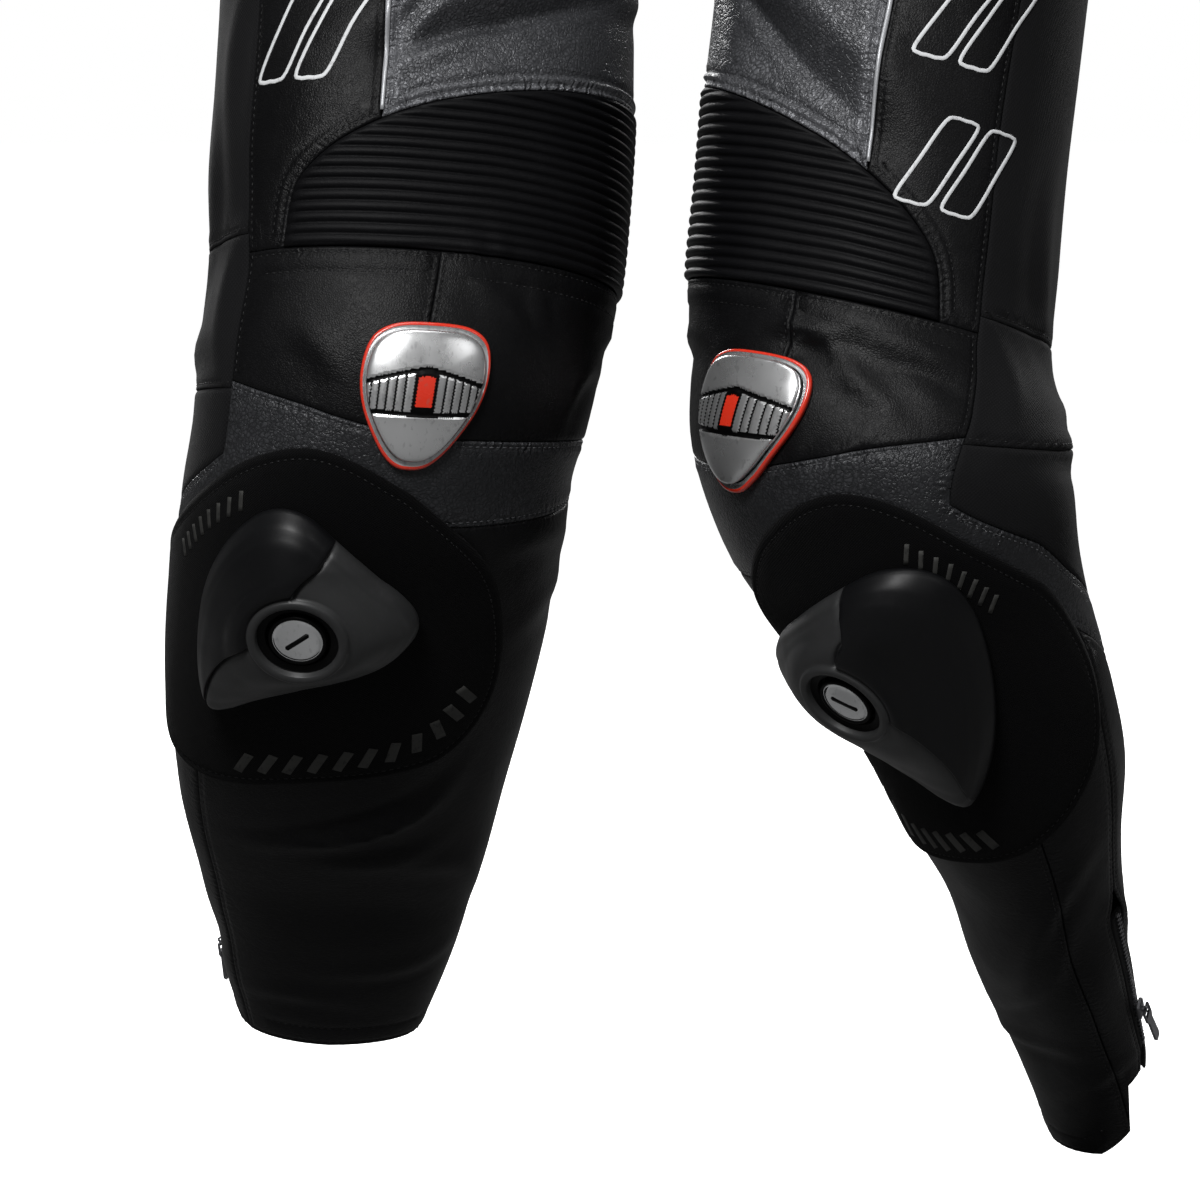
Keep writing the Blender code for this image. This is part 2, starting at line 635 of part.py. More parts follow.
def wall_mesh(name, outer, inner, edge_count, faces):
    """Closed wall between two sheets that share their triangles; the first points are the edge."""
    bm = bmesh.new()
    tops = [bm.verts.new(Vector(point) * MM) for point in outer]
    lows = [bm.verts.new(Vector(point) * MM) for point in inner]
    for face in faces:
        bm.faces.new([tops[k] for k in face])
        bm.faces.new([lows[k] for k in reversed(face)])
    for k in range(edge_count):
        m = (k + 1) % edge_count
        bm.faces.new((tops[k], tops[m], lows[m], lows[k]))
    bmesh.ops.recalc_face_normals(bm, faces=bm.faces)
    mesh = bpy.data.meshes.new(name)
    bm.to_mesh(mesh)
    bm.free()
    return mesh


def cut_panel(name, surface, outline, finish, wall=LEATHER, lift=0.0, gap=HALF_GAP,
              divide=1.0, seam_step=SEAM_STEP):
    """One cut piece: its outer face on the surface, or lifted from it, and its wall inwards."""
    edge = drawn_in(surface, along_outline(surface, outline, seam_step), gap)
    flat, edge_count, faces = triangulate(surface, edge, divide)
    a, b = flat[:, 0], flat[:, 1]
    outer = surface.lifted(a, b, np.full(len(a), lift))
    inner = surface.lifted(a, b, np.full(len(a), lift - wall))
    return add_object(name, wall_mesh(name, outer, inner, edge_count, faces), finish)


def body_panel(name, surface, outline):
    """A leather piece above the legs."""
    cut_panel(name, surface, outline, "black_leather", seam_step=BODY_SEAM_STEP)


def grid_faces(rows, columns, closed):
    """Quads of a grid of points stored row by row."""
    wrap = columns if closed else columns - 1
    return [
        (r * columns + c, r * columns + (c + 1) % columns,
         (r + 1) * columns + (c + 1) % columns, (r + 1) * columns + c)
        for r in range(rows - 1) for c in range(wrap)
    ]


def mesh_from_faces(name, points, faces):
    """A mesh from points in millimetres, with its normals turned out."""
    bm = bmesh.new()
    verts = [bm.verts.new(Vector(point) * MM) for point in points]
    for face in faces:
        bm.faces.new([verts[k] for k in face])
    bmesh.ops.recalc_face_normals(bm, faces=bm.faces)
    mesh = bpy.data.meshes.new(name)
    bm.to_mesh(mesh)
    bm.free()
    return mesh


# ---------------------------------------------------------------- leg pieces
def arch_level(angle):
    """Level of the accordion's arched edge at an angle, above its outer corner."""
    corners = np.array(ARCH, float)
    return float(np.interp(angle, corners[:, 0], corners[:, 1]))


def arch_between(low, high):
    """The arch's own points strictly between two angles."""
    return [point for point in ARCH if low < point[0] < high]


def make_accordion(name, leg):
    """Ribbed stretch insert: rows of constant level, trimmed by the arch at their outer end."""
    rows = 2 * ACCORDION_RIBS + 1
    arch = np.array(ARCH[1:], float)
    levels = np.linspace(ACCORDION_TOP + HALF_GAP, ACCORDION_BOTTOM - 2 * HALF_GAP, rows)
    share = np.linspace(0.0, 1.0, ACCORDION_COLUMNS)
    angles, heights = [], []
    for row, level in enumerate(levels):
        along_a, _ = leg.tangents(np.array(ACCORDION_MIDDLE), np.array(level))
        trim = ACCORDION_TRIM / np.linalg.norm(along_a)
        end = np.interp(level - 2 * HALF_GAP, arch[:, 1], arch[:, 0])
        angles.append(INNER_SEAM + trim + (end - trim - INNER_SEAM - trim) * share)
        heights.append(np.full(ACCORDION_COLUMNS, RIB_HEIGHT if row % 2 else 0.0))
    a, lift = np.concatenate(angles), np.concatenate(heights)
    b = np.repeat(levels, ACCORDION_COLUMNS)
    outer = leg.lifted(a, b, lift)
    inner = leg.lifted(a, b, np.full(len(a), -LEATHER))
    faces = grid_faces(rows, ACCORDION_COLUMNS, closed=False)
    count = len(a)
    last = (rows - 1) * ACCORDION_COLUMNS
    rim = ([k for k in range(ACCORDION_COLUMNS)]
           + [r * ACCORDION_COLUMNS + ACCORDION_COLUMNS - 1 for r in range(1, rows)]
           + [last + k for k in range(ACCORDION_COLUMNS - 2, -1, -1)]
           + [r * ACCORDION_COLUMNS for r in range(rows - 2, 0, -1)])
    sides = [(k, m, m + count, k + count) for k, m in zip(rim, rim[1:] + rim[:1])]
    under = [tuple(k + count for k in reversed(face)) for face in faces]
    points = np.vstack([outer, inner])
    add_object(name, mesh_from_faces(name, points, faces + under + sides), "stretch_fabric")


def leg_outlines(leg):
    """Outline and finish of every cloth panel of a leg, by name."""
    shin_hem = [point for point in leg.hem if point[0] <= OUTER_SEAM]
    outer_hem = [point for point in leg.hem if point[0] >= OUTER_SEAM]
    seam_end = leg.back_hem[-1][1]
    tip = (PIPING_ANGLE, arch_level(PIPING_ANGLE))
    piping_inner = [(PIPING_ANGLE - PIPING_HALF_TIP, PIPING_END),
                    (PIPING_ANGLE - PIPING_HALF_TOP, LEG_TOP)]
    piping_outer = [(PIPING_ANGLE + PIPING_HALF_TOP, LEG_TOP),
                    (PIPING_ANGLE + PIPING_HALF_TIP, PIPING_END)]
    arch_inner = [(INNER_SEAM, ACCORDION_TOP)] + arch_between(INNER_SEAM, PIPING_ANGLE)
    arch_outer = arch_between(PIPING_ANGLE, ACCORDION_OUTER)
    return {
        "thigh_front": ([(INNER_SEAM, LEG_TOP)] + arch_inner + [tip] + piping_inner,
                        "pearl_leather"),
        "piping": (piping_inner + piping_outer, "silver_piping"),
        "thigh_outer": (piping_outer + [tip] + arch_outer
                        + [(ACCORDION_OUTER, ACCORDION_BOTTOM), (OUTER_SEAM, ACCORDION_BOTTOM),
                           (OUTER_SEAM, LEG_TOP)], "black_leather"),
        "thigh_back": ([(OUTER_SEAM, LEG_TOP), (OUTER_SEAM, BACK_SEAM_UPPER),
                        (BACK_END, BACK_SEAM_UPPER), (BACK_END, LEG_TOP)], "stretch_fabric"),
        "knee_inner": ([(INNER_SEAM, 0.0), (KNEE_SEAM, 0.0)]
                       + [p for p in reversed(KNEE_BOTTOM) if p[0] <= KNEE_SEAM],
                       "black_leather"),
        "knee_outer": ([(KNEE_SEAM, 0.0), (OUTER_SEAM, 0.0)]
                       + [p for p in reversed(KNEE_BOTTOM) if p[0] >= KNEE_SEAM],
                       "black_leather"),
        "knee_band": (list(KNEE_BOTTOM) + list(BAND_WING) + list(BAND_BOTTOM), "pearl_leather"),
        "knee_back": ([(OUTER_SEAM, BACK_SEAM_UPPER), (OUTER_SEAM, BACK_SEAM_LOWER),
                       (BACK_END, BACK_SEAM_LOWER), (BACK_END, BACK_SEAM_UPPER)],
                      "stretch_fabric"),
        "calf_gusset": ([(OUTER_SEAM, BACK_SEAM_LOWER)] + list(BAND_WING)
                        + [(185.0, 152.0), (BACK_END, 118.0), (BACK_END, BACK_SEAM_LOWER)],
                        "stretch_fabric"),
        "shin": ([(INNER_SEAM, 118), (0, 112), (OUTER_SEAM, 122)] + shin_hem, "black_leather"),
        "calf_outer": ([(OUTER_SEAM, 122), (100, 158), BAND_AT_SLIT] + slit_edge(leg, -1.0)
                       + outer_hem, "black_leather"),
        "calf_back": ([BAND_AT_SLIT, (141, 186), (141, 158), (185, 152), (BACK_END, 118),
                       (BACK_END, seam_end)] + leg.back_hem[::-1] + slit_edge(leg, 1.0)[::-1],
                      "black_leather"),
    }


def slit_edge(leg, side):
    """Edge beside the ankle zip, from its top down to the open notch at the hem."""
    edge = [(ANKLE_SLIT, SLIT_TOP - SLIT_LEAD)]
    levels = list(np.linspace(SLIT_TOP, ANKLE_ZIP_FOOT, SLIT_POINTS)) + [SLIT_HEM]
    for level in levels:
        along_a, _ = leg.tangents(np.array(ANKLE_SLIT), np.array(level))
        opening = SLIT_MOUTH if level == SLIT_HEM else ZIP_OPENING
        edge.append((ANKLE_SLIT + side * opening / float(np.linalg.norm(along_a)), level))
    return edge


def slider_spokes():
    """Angles of the slider's spokes: even ones, and a pair at each side of its step."""
    turns = np.linspace(-180.0, 180.0, SLIDER_SPOKES, endpoint=False)
    even = [turn for turn in turns
            if all(abs(turn - step) > 2 * SLIDER_STEP_HALF for step in SLIDER_STEP_ANGLES)]
    pairs = [step + side * SLIDER_STEP_HALF for step in SLIDER_STEP_ANGLES for side in (-1, 1)]
    return np.sort(np.array(even + pairs))


def make_slider(name, leg, turn, size):
    """Domed knee slider: a polar grid round its button seat, stepped along a diagonal."""
    outline = np.array(SLIDER_OUTLINE, float) * size
    spokes = slider_spokes()
    low, high = SLIDER_STEP_ANGLES
    rims = np.array([outline_reach(outline, spoke) for spoke in spokes])
    raised = (spokes > low) & (spokes < high)
    out = np.stack([np.cos(np.radians(spokes)), np.sin(np.radians(spokes))], axis=-1)
    rings, heights = [], []
    for share in (SLIDER_SEAT_MIDDLE, 1.0):
        rings.append(out * SLIDER_SEAT_RADIUS * share)
        heights.append(np.full(len(spokes), SLIDER_SEAT_HEIGHT))
    first = SLIDER_SEAT_RADIUS + SLIDER_SEAT_WALL
    for share, height in SLIDER_RINGS:
        reach = first + (rims - first) * share
        rings.append(out * reach[:, None])
        stepped = SLIDER_STEP_SHARES[0] < share < SLIDER_STEP_SHARES[1]
        heights.append(height + np.where(raised, SLIDER_STEP, 0.0) * stepped)
    for share in SLIDER_FOOT_SHARES:
        rings.append(out * (rims * share)[:, None])
        heights.append(np.zeros(len(spokes)))
    flat = np.vstack(rings + [np.zeros((2, 2))])
    cosine, sine = math.cos(math.radians(turn)), math.sin(math.radians(turn))
    flat = flat @ np.array(((cosine, sine), (-sine, cosine)))
    lift = np.concatenate(heights + [np.array((SLIDER_SEAT_HEIGHT, 0.0))]) + SLIDER_LIFT
    coordinates = leg.from_flat(SLIDER_CENTRE, flat)
    points = slider_points(leg, coordinates, flat, lift)
    count, total = len(spokes), len(rings) * len(spokes)
    faces = grid_faces(len(rings), count, closed=True)
    faces += [(total, (k + 1) % count, k) for k in range(count)]
    base = (len(rings) - 1) * count
    faces += [(total + 1, base + k, base + (k + 1) % count) for k in range(count)]
    add_object(name, mesh_from_faces(name, points, faces), "slider_plastic")


def slider_points(leg, coordinates, flat, lift):
    """Points over the patch: the underside follows the leg, the dome follows one axis."""
    a, b = coordinates[:, 0], coordinates[:, 1]
    base = leg.lifted(a, b, np.full(len(a), SLIDER_LIFT))
    centre = np.array(SLIDER_CENTRE[0]), np.array(SLIDER_CENTRE[1])
    axis = leg.normals(*centre)
    across, down = leg.tangents(*centre)
    across = across / np.linalg.norm(across)
    down = down - axis * np.dot(down, axis) - across * np.dot(down, across)
    down = down / np.linalg.norm(down)
    height = (lift - SLIDER_LIFT)[:, None]
    # Near the middle the dome is flat round its own axis, at the edge it follows the leg.
    plane = (leg.points(*centre) + axis * SLIDER_LIFT
             + across * flat[:, :1] + down * flat[:, 1:])
    reach = np.linalg.norm(flat, axis=-1, keepdims=True) - SLIDER_SEAT_RADIUS - 1.0
    share = np.clip(reach / SLIDER_BEND, 0.0, 1.0) ** 2
    flattened = plane * (1 - share) + base * share
    return np.where(height > 0, flattened + axis * height, base)


def outline_reach(outline, degrees):
    """Distance from the middle to an outline along a direction."""
    ray = np.array((math.cos(math.radians(degrees)), math.sin(math.radians(degrees))))
    best = 0.0
    for start, end in zip(outline, np.roll(outline, -1, axis=0)):
        run = end - start
        spread = ray[0] * run[1] - ray[1] * run[0]
        if abs(spread) < 1e-9:
            continue
        reach = (start[0] * run[1] - start[1] * run[0]) / spread
        share = (start[0] * ray[1] - start[1] * ray[0]) / spread
        if reach > 0 and -1e-6 <= share <= 1 + 1e-6:
            best = max(best, reach)
    return best


def surface_frame(surface, a, b, lift, downwards):
    """Matrix with Z along the outward normal and Y against `downwards`, at a lifted point."""
    a, b = np.array(float(a)), np.array(float(b))
    normal = Vector(surface.normals(a, b))
    point = Vector(surface.points(a, b)) + normal * lift
    down = Vector(downwards)
    down = (down - normal * down.dot(normal)).normalized()
    across = (-down).cross(normal)
    matrix = Matrix((across, -down, normal)).transposed().to_4x4()
    return Matrix.Translation(point * MM) @ matrix


def make_button(name, leg):
    """Plain metal disc with a bevelled edge in the slider's seat."""
    bpy.ops.mesh.primitive_cylinder_add(vertices=BUTTON_SIDES, radius=BUTTON_RADIUS * MM,
                                        depth=BUTTON_THICKNESS * MM)
    item = bpy.context.object
    item.name = name
    mesh = item.data
    bevel = item.modifiers.new("edge", "BEVEL")
    bevel.width = BUTTON_BEVEL * MM
    bevel.segments = 1
    bevel.limit_method = "ANGLE"
    item.users_collection[0].objects.unlink(item)
    PARTS.objects.link(item)
    mesh.materials.append(make_material(name, "chrome_plate"))
    _, along_b = leg.tangents(np.array(SLIDER_CENTRE[0]), np.array(SLIDER_CENTRE[1]))
    lift = SLIDER_LIFT + SLIDER_SEAT_HEIGHT + BUTTON_CLEARANCE + BUTTON_THICKNESS / 2
    item.matrix_world = surface_frame(leg, *SLIDER_CENTRE, lift, along_b)


def make_leg(tag, leg):
    """Every piece of one leg."""
    for piece, (outline, finish) in leg_outlines(leg).items():
        cut_panel(f"{tag}_{piece}", leg, outline, finish)
    make_accordion(f"{tag}_accordion", leg)
    cut_panel(f"{tag}_slider_patch", leg, PATCH_OUTLINE, "loop_pile", wall=PATCH_THICKNESS,
              lift=PATCH_LIFT + PATCH_THICKNESS, gap=0.0, divide=1.5, seam_step=18.0)
    make_slider(f"{tag}_slider_body", leg, SLIDER_TURNS[tag], SLIDER_SIZES[tag])
    make_button(f"{tag}_slider_button", leg)
    badge = leg.from_flat(BADGE_CENTRES[tag], BADGE_OUTLINE)
    cut_panel(f"{tag}_badge_rim", leg, badge, "red_plastic", wall=BADGE_RIM_THICKNESS,
              lift=BADGE_LIFT + BADGE_RIM_THICKNESS, gap=0.0, divide=2.4, seam_step=13.0)
    plate = leg.from_flat(BADGE_CENTRES[tag], np.array(BADGE_OUTLINE) * BADGE_PLATE_SHARE)
    plate_lift = BADGE_LIFT + BADGE_RIM_THICKNESS + BADGE_PLATE_THICKNESS + BADGE_BED
    cut_panel(f"{tag}_badge_plate", leg, plate, "chrome_plate", wall=BADGE_PLATE_THICKNESS,
              lift=plate_lift, gap=0.0, divide=2.4, seam_step=13.0)


# ---------------------------------------------------------------- upper body
def zip_angle(surface, level, side):
    """Angle at which the surface stands off the centre plane by half the zip's opening."""
    low, high = 0.0, ZIP_WIDEST_ANGLE
    for _ in range(40):
        middle = (low + high) / 2
        x = abs(surface.points(np.array(middle * side), np.array(float(level)))[0])
        low, high = (middle, high) if x < ZIP_OPENING else (low, middle)
    return high * side


def zip_edge(surface, levels, side):
    """Points of the panel edge beside the front zip."""
    return [(zip_angle(surface, level, side), level) for level in levels]


def make_hip(tag, hip):
    """Front and seat halves, split at the side seam."""
    levels = np.linspace(0.0, FRONT_ZIP_FOOT, 7)
    beside = zip_edge(hip, levels, 1.0)
    rise = [(0.0, level) for level in RISE_LEVELS + (HIP_DEPTH,)]
    body_panel(f"{tag}_hip_front", hip,
               beside + rise + [(SIDE_SEAM, HIP_DEPTH), (SIDE_SEAM, 0.0)])
    body_panel(f"{tag}_seat", hip,
               [(SIDE_SEAM, 0.0), (SIDE_SEAM, HIP_DEPTH), (180.0, HIP_DEPTH), (180.0, 0.0)])


def armhole_part(first, last, side):
    """Armhole points between two angles round it, in torso coordinates on one side."""
    count = round(abs(last - first) / ARMHOLE_TURN) + 1
    angles, levels = armhole_point(np.linspace(first, last, count))
    return [(side * a, b) for a, b in zip(angles, levels)]


def make_torso(torso):
    """Chest fronts, back and yokes."""
    yoke_level = armhole_point(YOKE_FRONT_TURN)[1]
    neck = np.linspace(0.0, SIDE_SEAM, 6)
    for tag, side in (("left", 1.0), ("right", -1.0)):
        chest_levels = np.linspace(0.0, yoke_level, 9)
        chest = zip_edge(torso, chest_levels[::-1], side)
        chest += [(side * SIDE_SEAM, 0.0)]
        chest += armhole_part(0.0, YOKE_FRONT_TURN, side)
        body_panel(f"{tag}_chest_front", torso, chest)
        yoke_levels = np.linspace(yoke_level, NECK_FRONT, 6)
        yoke = zip_edge(torso, yoke_levels[::-1], side)
        yoke += armhole_part(YOKE_FRONT_TURN, 180.0, side)
        yoke += [(side * a, neckline(a)) for a in neck[:0:-1]]
        body_panel(f"{tag}_yoke_front", torso, yoke)
    right_back = [(360.0 - a, b) for a, b in armhole_part(0.0, -YOKE_BACK_TURN, 1.0)]
    left_back = armhole_part(-YOKE_BACK_TURN, 0.0, 1.0)
    body_panel("back", torso, [(SIDE_SEAM, 0.0), (180.0, 0.0), (270.0, 0.0)] + right_back
               + left_back)
    left_yoke = armhole_part(-YOKE_BACK_TURN, -180.0, 1.0)
    right_yoke = [(360.0 - a, b) for a, b in reversed(left_yoke)]
    neck_back = [(a, neckline(a)) for a in np.linspace(SIDE_SEAM, 270.0, 11)]
    body_panel("yoke_back", torso, left_yoke + neck_back + right_yoke)


def make_sleeves(torso):
    """Upper sleeve and forearm of both arms, each closed by one seam under the arm."""
    for tag, side in (("left", 1.0), ("right", -1.0)):
        sleeve = Sleeve(torso, side)
        ring = np.arange(0.0, 360.0 + ARMHOLE_TURN, ARMHOLE_TURN)
        elbow = [(a, ELBOW) for a in np.linspace(0.0, 360.0, ARM_CORNERS + 1)]
        cuff = [(a, CUFF) for a in np.linspace(0.0, 360.0, ARM_CORNERS + 1)]
        upper = [(a, 0.0) for a in ring] + elbow[::-1]
        body_panel(f"{tag}_sleeve_upper", sleeve, upper)
        body_panel(f"{tag}_forearm", sleeve, elbow + cuff[::-1])


def make_collar(torso):
    """Stand collar, open in front for the zip."""
    collar = Collar(torso)
    low = zip_angle(collar, 0.0, 1.0)
    high = zip_angle(collar, COLLAR_HEIGHT, 1.0)
    ring = np.linspace(low, 360.0 - low, 21)
    top = np.linspace(360.0 - high, high, 21)
    body_panel("collar", collar,
               [(a, 0.0) for a in ring] + [(a, COLLAR_HEIGHT) for a in top])
    return collar


# ---------------------------------------------------------------- zips
def zip_strip(name, points, normals, finish="zip_tape"):
    """Tape with a raised middle, swept along a line that lies between two panels."""
    section = ((-ZIP_HALF_WIDTH, -ZIP_DEPTH), (-ZIP_HALF_WIDTH, 0.0), (-ZIP_RIDGE_HALF, 0.0),
               (-ZIP_RIDGE_HALF, ZIP_RIDGE), (ZIP_RIDGE_HALF, ZIP_RIDGE), (ZIP_RIDGE_HALF, 0.0),
               (ZIP_HALF_WIDTH, 0.0), (ZIP_HALF_WIDTH, -ZIP_DEPTH))
    runs = np.gradient(points, axis=0)
    across = np.cross(runs, normals)
    across /= np.linalg.norm(across, axis=-1, keepdims=True)
    rows = [point + side * x + up * z
            for point, side, up in zip(points, across, normals) for x, z in section]
    faces = grid_faces(len(points), len(section), closed=True)
    last = (len(points) - 1) * len(section)
    faces += [tuple(range(len(section))), tuple(last + k for k in reversed(range(len(section))))]
    mesh = mesh_from_faces(name, rows, faces)
    bm = bmesh.new()
    bm.from_mesh(mesh)
    bmesh.ops.triangulate(bm, faces=[face for face in bm.faces if len(face.verts) > 4])
    bm.to_mesh(mesh)
    bm.free()
    add_object(name, mesh, finish)


def line_on(surface, angle, levels):
    """Points and normals along one angle of a surface, a little under it."""
    a = np.full(len(levels), float(angle))
    b = np.array(levels, float)
    normals = surface.normals(a, b)
    return surface.points(a, b) - normals * ZIP_SINK, normals


def make_runner(tag, frame):
    """Zip slider: a bevelled block with a half ring over the pull's rod."""
    bm = bmesh.new()
    bmesh.ops.create_cube(bm, size=1.0)
    bmesh.ops.scale(bm, vec=(RUNNER_WIDTH * MM, RUNNER_LENGTH * MM, RUNNER_THICKNESS * MM),
                    verts=bm.verts)
    bmesh.ops.bevel(bm, geom=bm.edges[:], offset=RUNNER_BEVEL * MM, segments=1,
                     affect="EDGES")
    body = bpy.data.meshes.new(f"{tag}_runner")
    bm.to_mesh(body)
    bm.free()
    item = add_object(f"{tag}_runner", body, "zip_metal",
                      frame @ Matrix.Translation((0, 0, (RUNNER_THICKNESS / 2) * MM)))
    ring = bpy.data.curves.new(f"{tag}_arch", "CURVE")
    ring.dimensions = "3D"
    ring.bevel_depth = ARCH_WIRE * MM
    ring.bevel_resolution = 1
    ring.use_fill_caps = True
    foot = RUNNER_THICKNESS - ARCH_SINK
    line = [(0.0, -ARCH_RADIUS, foot)]
    for k in range(ARCH_STEPS + 1):
        turn = math.pi * k / ARCH_STEPS
        top = HINGE_HEIGHT + ARCH_RADIUS * math.sin(turn)
        line.append((0.0, -ARCH_RADIUS * math.cos(turn), top))
    line.append((0.0, ARCH_RADIUS, foot))
    spline = ring.splines.new("POLY")
    spline.points.add(len(line) - 1)
    for point, place in zip(spline.points, line):
        point.co = (*(Vector(place) * MM), 1.0)
    holder = bpy.data.objects.new(f"{tag}_arch", ring)
    CUTTERS.objects.link(holder)
    holder.matrix_world = frame
    bpy.context.view_layer.update()
    solid = bpy.data.meshes.new_from_object(
        holder.evaluated_get(bpy.context.evaluated_depsgraph_get()))
    bm = bmesh.new()
    bm.from_mesh(solid)
    bmesh.ops.remove_doubles(bm, verts=bm.verts, dist=1e-6)
    bm.to_mesh(solid)
    bm.free()
    arch = bpy.data.objects.new(f"{tag}_arch_solid", solid)
    CUTTERS.objects.link(arch)
    arch.matrix_world = frame
    arch.hide_render = True
    arch.display_type = "WIRE"
    bpy.data.objects.remove(holder)
    union = item.modifiers.new("arch", "BOOLEAN")
    union.operation = "UNION"
    union.solver = "EXACT"
    union.object = arch


def make_pull(tag, frame):
    """Pull tab: a plate with a window, whose top bar is the rod under the runner's half ring."""
    neck, neck_level = PULL_NECK
    wide, narrow = PULL_END
    corners = [(-PULL_WIDTH / 2, PULL_ROD_HALF), (-PULL_WIDTH / 2, PULL_SHOULDER),
               (-neck, neck_level), (-wide, -PULL_LENGTH + narrow), (-narrow, -PULL_LENGTH)]
    corners += [(-x, y) for x, y in reversed(corners)]
    bm = bmesh.new()
    plate = bm.faces.new([bm.verts.new((x * MM, y * MM, -PULL_THICKNESS / 2 * MM))
                          for x, y in corners])
    lifted = bmesh.ops.extrude_face_region(bm, geom=[plate])
    tops = [v for v in lifted["geom"] if isinstance(v, bmesh.types.BMVert)]
    bmesh.ops.translate(bm, verts=tops, vec=(0, 0, PULL_THICKNESS * MM))
    bmesh.ops.recalc_face_normals(bm, faces=bm.faces)
    mesh = bpy.data.meshes.new(f"{tag}_pull")
    bm.to_mesh(mesh)
    bm.free()
    hinge = bpy.data.objects.new(f"{tag}_pull_hinge", None)
    PARTS.objects.link(hinge)
    # It hangs under its own weight: flat on the cloth, or free of it where the cloth leans in.
    weight = frame.to_3x3().transposed() @ Vector((0, 0, -1))
    hang = max(0.0, math.atan2(weight.z, -weight.y))
    hinge.matrix_world = (frame @ Matrix.Translation((0, 0, HINGE_HEIGHT * MM))
                          @ Matrix.Rotation(-hang, 4, "X"))
    item = add_object(f"{tag}_pull", mesh, "zip_metal")
    item.parent = hinge
    width, height = PULL_WINDOW
    bm = bmesh.new()
    bmesh.ops.create_cube(bm, size=1.0)
    bmesh.ops.scale(bm, vec=(width * MM, height * MM, PULL_WIDTH * MM),
                    verts=bm.verts)
    cutter_mesh = bpy.data.meshes.new(f"{tag}_window")
    bm.to_mesh(cutter_mesh)
    bm.free()
    cutter = bpy.data.objects.new(f"{tag}_window", cutter_mesh)
    CUTTERS.objects.link(cutter)
    cutter.hide_render = True
    cutter.display_type = "WIRE"
    cutter.parent = hinge
    cutter.location = (0, -(PULL_ROD_HALF + height / 2) * MM, 0)
    cut = item.modifiers.new("window", "BOOLEAN")
    cut.operation = "DIFFERENCE"
    cut.solver = "EXACT"
    cut.object = cutter


def make_front_zip(hips, torso, collar):
    """Strip from the rise to the top of the collar, with its runner near the top."""
    lines = [line_on(hips, 0.0, np.linspace(FRONT_ZIP_FOOT - 3.0, 12.0, 5)),
             line_on(torso, 0.0, np.linspace(4.0, NECK_FRONT - 12.0, 14)),
             line_on(collar, 0.0, np.linspace(2.0, COLLAR_HEIGHT - 1.0, 4))]
    points = np.vstack([line[0] for line in lines])
    normals = np.vstack([line[1] for line in lines])
    points[:, 0] = 0.0
    normals[:, 0] = 0.0
    normals /= np.linalg.norm(normals, axis=-1, keepdims=True)
    zip_strip("front_zip", points, normals)
    frame = surface_frame(torso, 0.0, NECK_FRONT - FRONT_RUNNER_DROP,
                          ZIP_RIDGE + FRONT_RUNNER_LIFT, (0, 0, -1))
    make_runner("front_zip", frame)
    make_pull("front_zip", frame)


def make_ankle_zip(tag, leg):
    """Strip in the slit at the outer back of the ankle, closed down to its foot."""
    points, normals = line_on(leg, ANKLE_SLIT, np.linspace(SLIT_TOP + 3.0, ANKLE_ZIP_FOOT - 2.0, 6))
    zip_strip(f"{tag}_ankle_zip", points, normals)
    level = ANKLE_ZIP_FOOT - ANKLE_RUNNER_RISE
    _, along_b = leg.tangents(np.array(ANKLE_SLIT), np.array(level))
    frame = surface_frame(leg, ANKLE_SLIT, level, ZIP_RIDGE + RUNNER_LIFT, along_b)
    make_runner(f"{tag}_ankle_zip", frame)
    make_pull(f"{tag}_ankle_zip", frame)


def build_suit():
    """The whole suit."""
    torso = Torso()
    legs = {"right": Leg(RIGHT_LEG, RIGHT_FOLDS, RIGHT_HEM, RIGHT_BACK_HEM, -1.0),
            "left": Leg(LEFT_LEG, LEFT_FOLDS, LEFT_HEM, LEFT_BACK_HEM, 1.0)}
    hips = {}
    for tag, leg in legs.items():
        make_leg(tag, leg)
        make_ankle_zip(tag, leg)
        hips[tag] = Hip(leg, torso)
        make_hip(tag, hips[tag])
    make_torso(torso)
    make_sleeves(torso)
    collar = make_collar(torso)
    make_front_zip(hips["left"], torso, collar)


clear_scene()
PARTS = make_collection(PART_NAME)
CUTTERS = make_collection("cutters")
build_suit()
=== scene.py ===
"""Dress the motorcycle race suit: cloth shells, creases, stitches, trim, light and camera."""
import logging
import math
from collections.abc import Sequence
from dataclasses import dataclass, field
from enum import Enum

import bmesh
import bpy
import numpy as np
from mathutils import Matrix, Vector
from mathutils.geometry import delaunay_2d_cdt
from mathutils.kdtree import KDTree


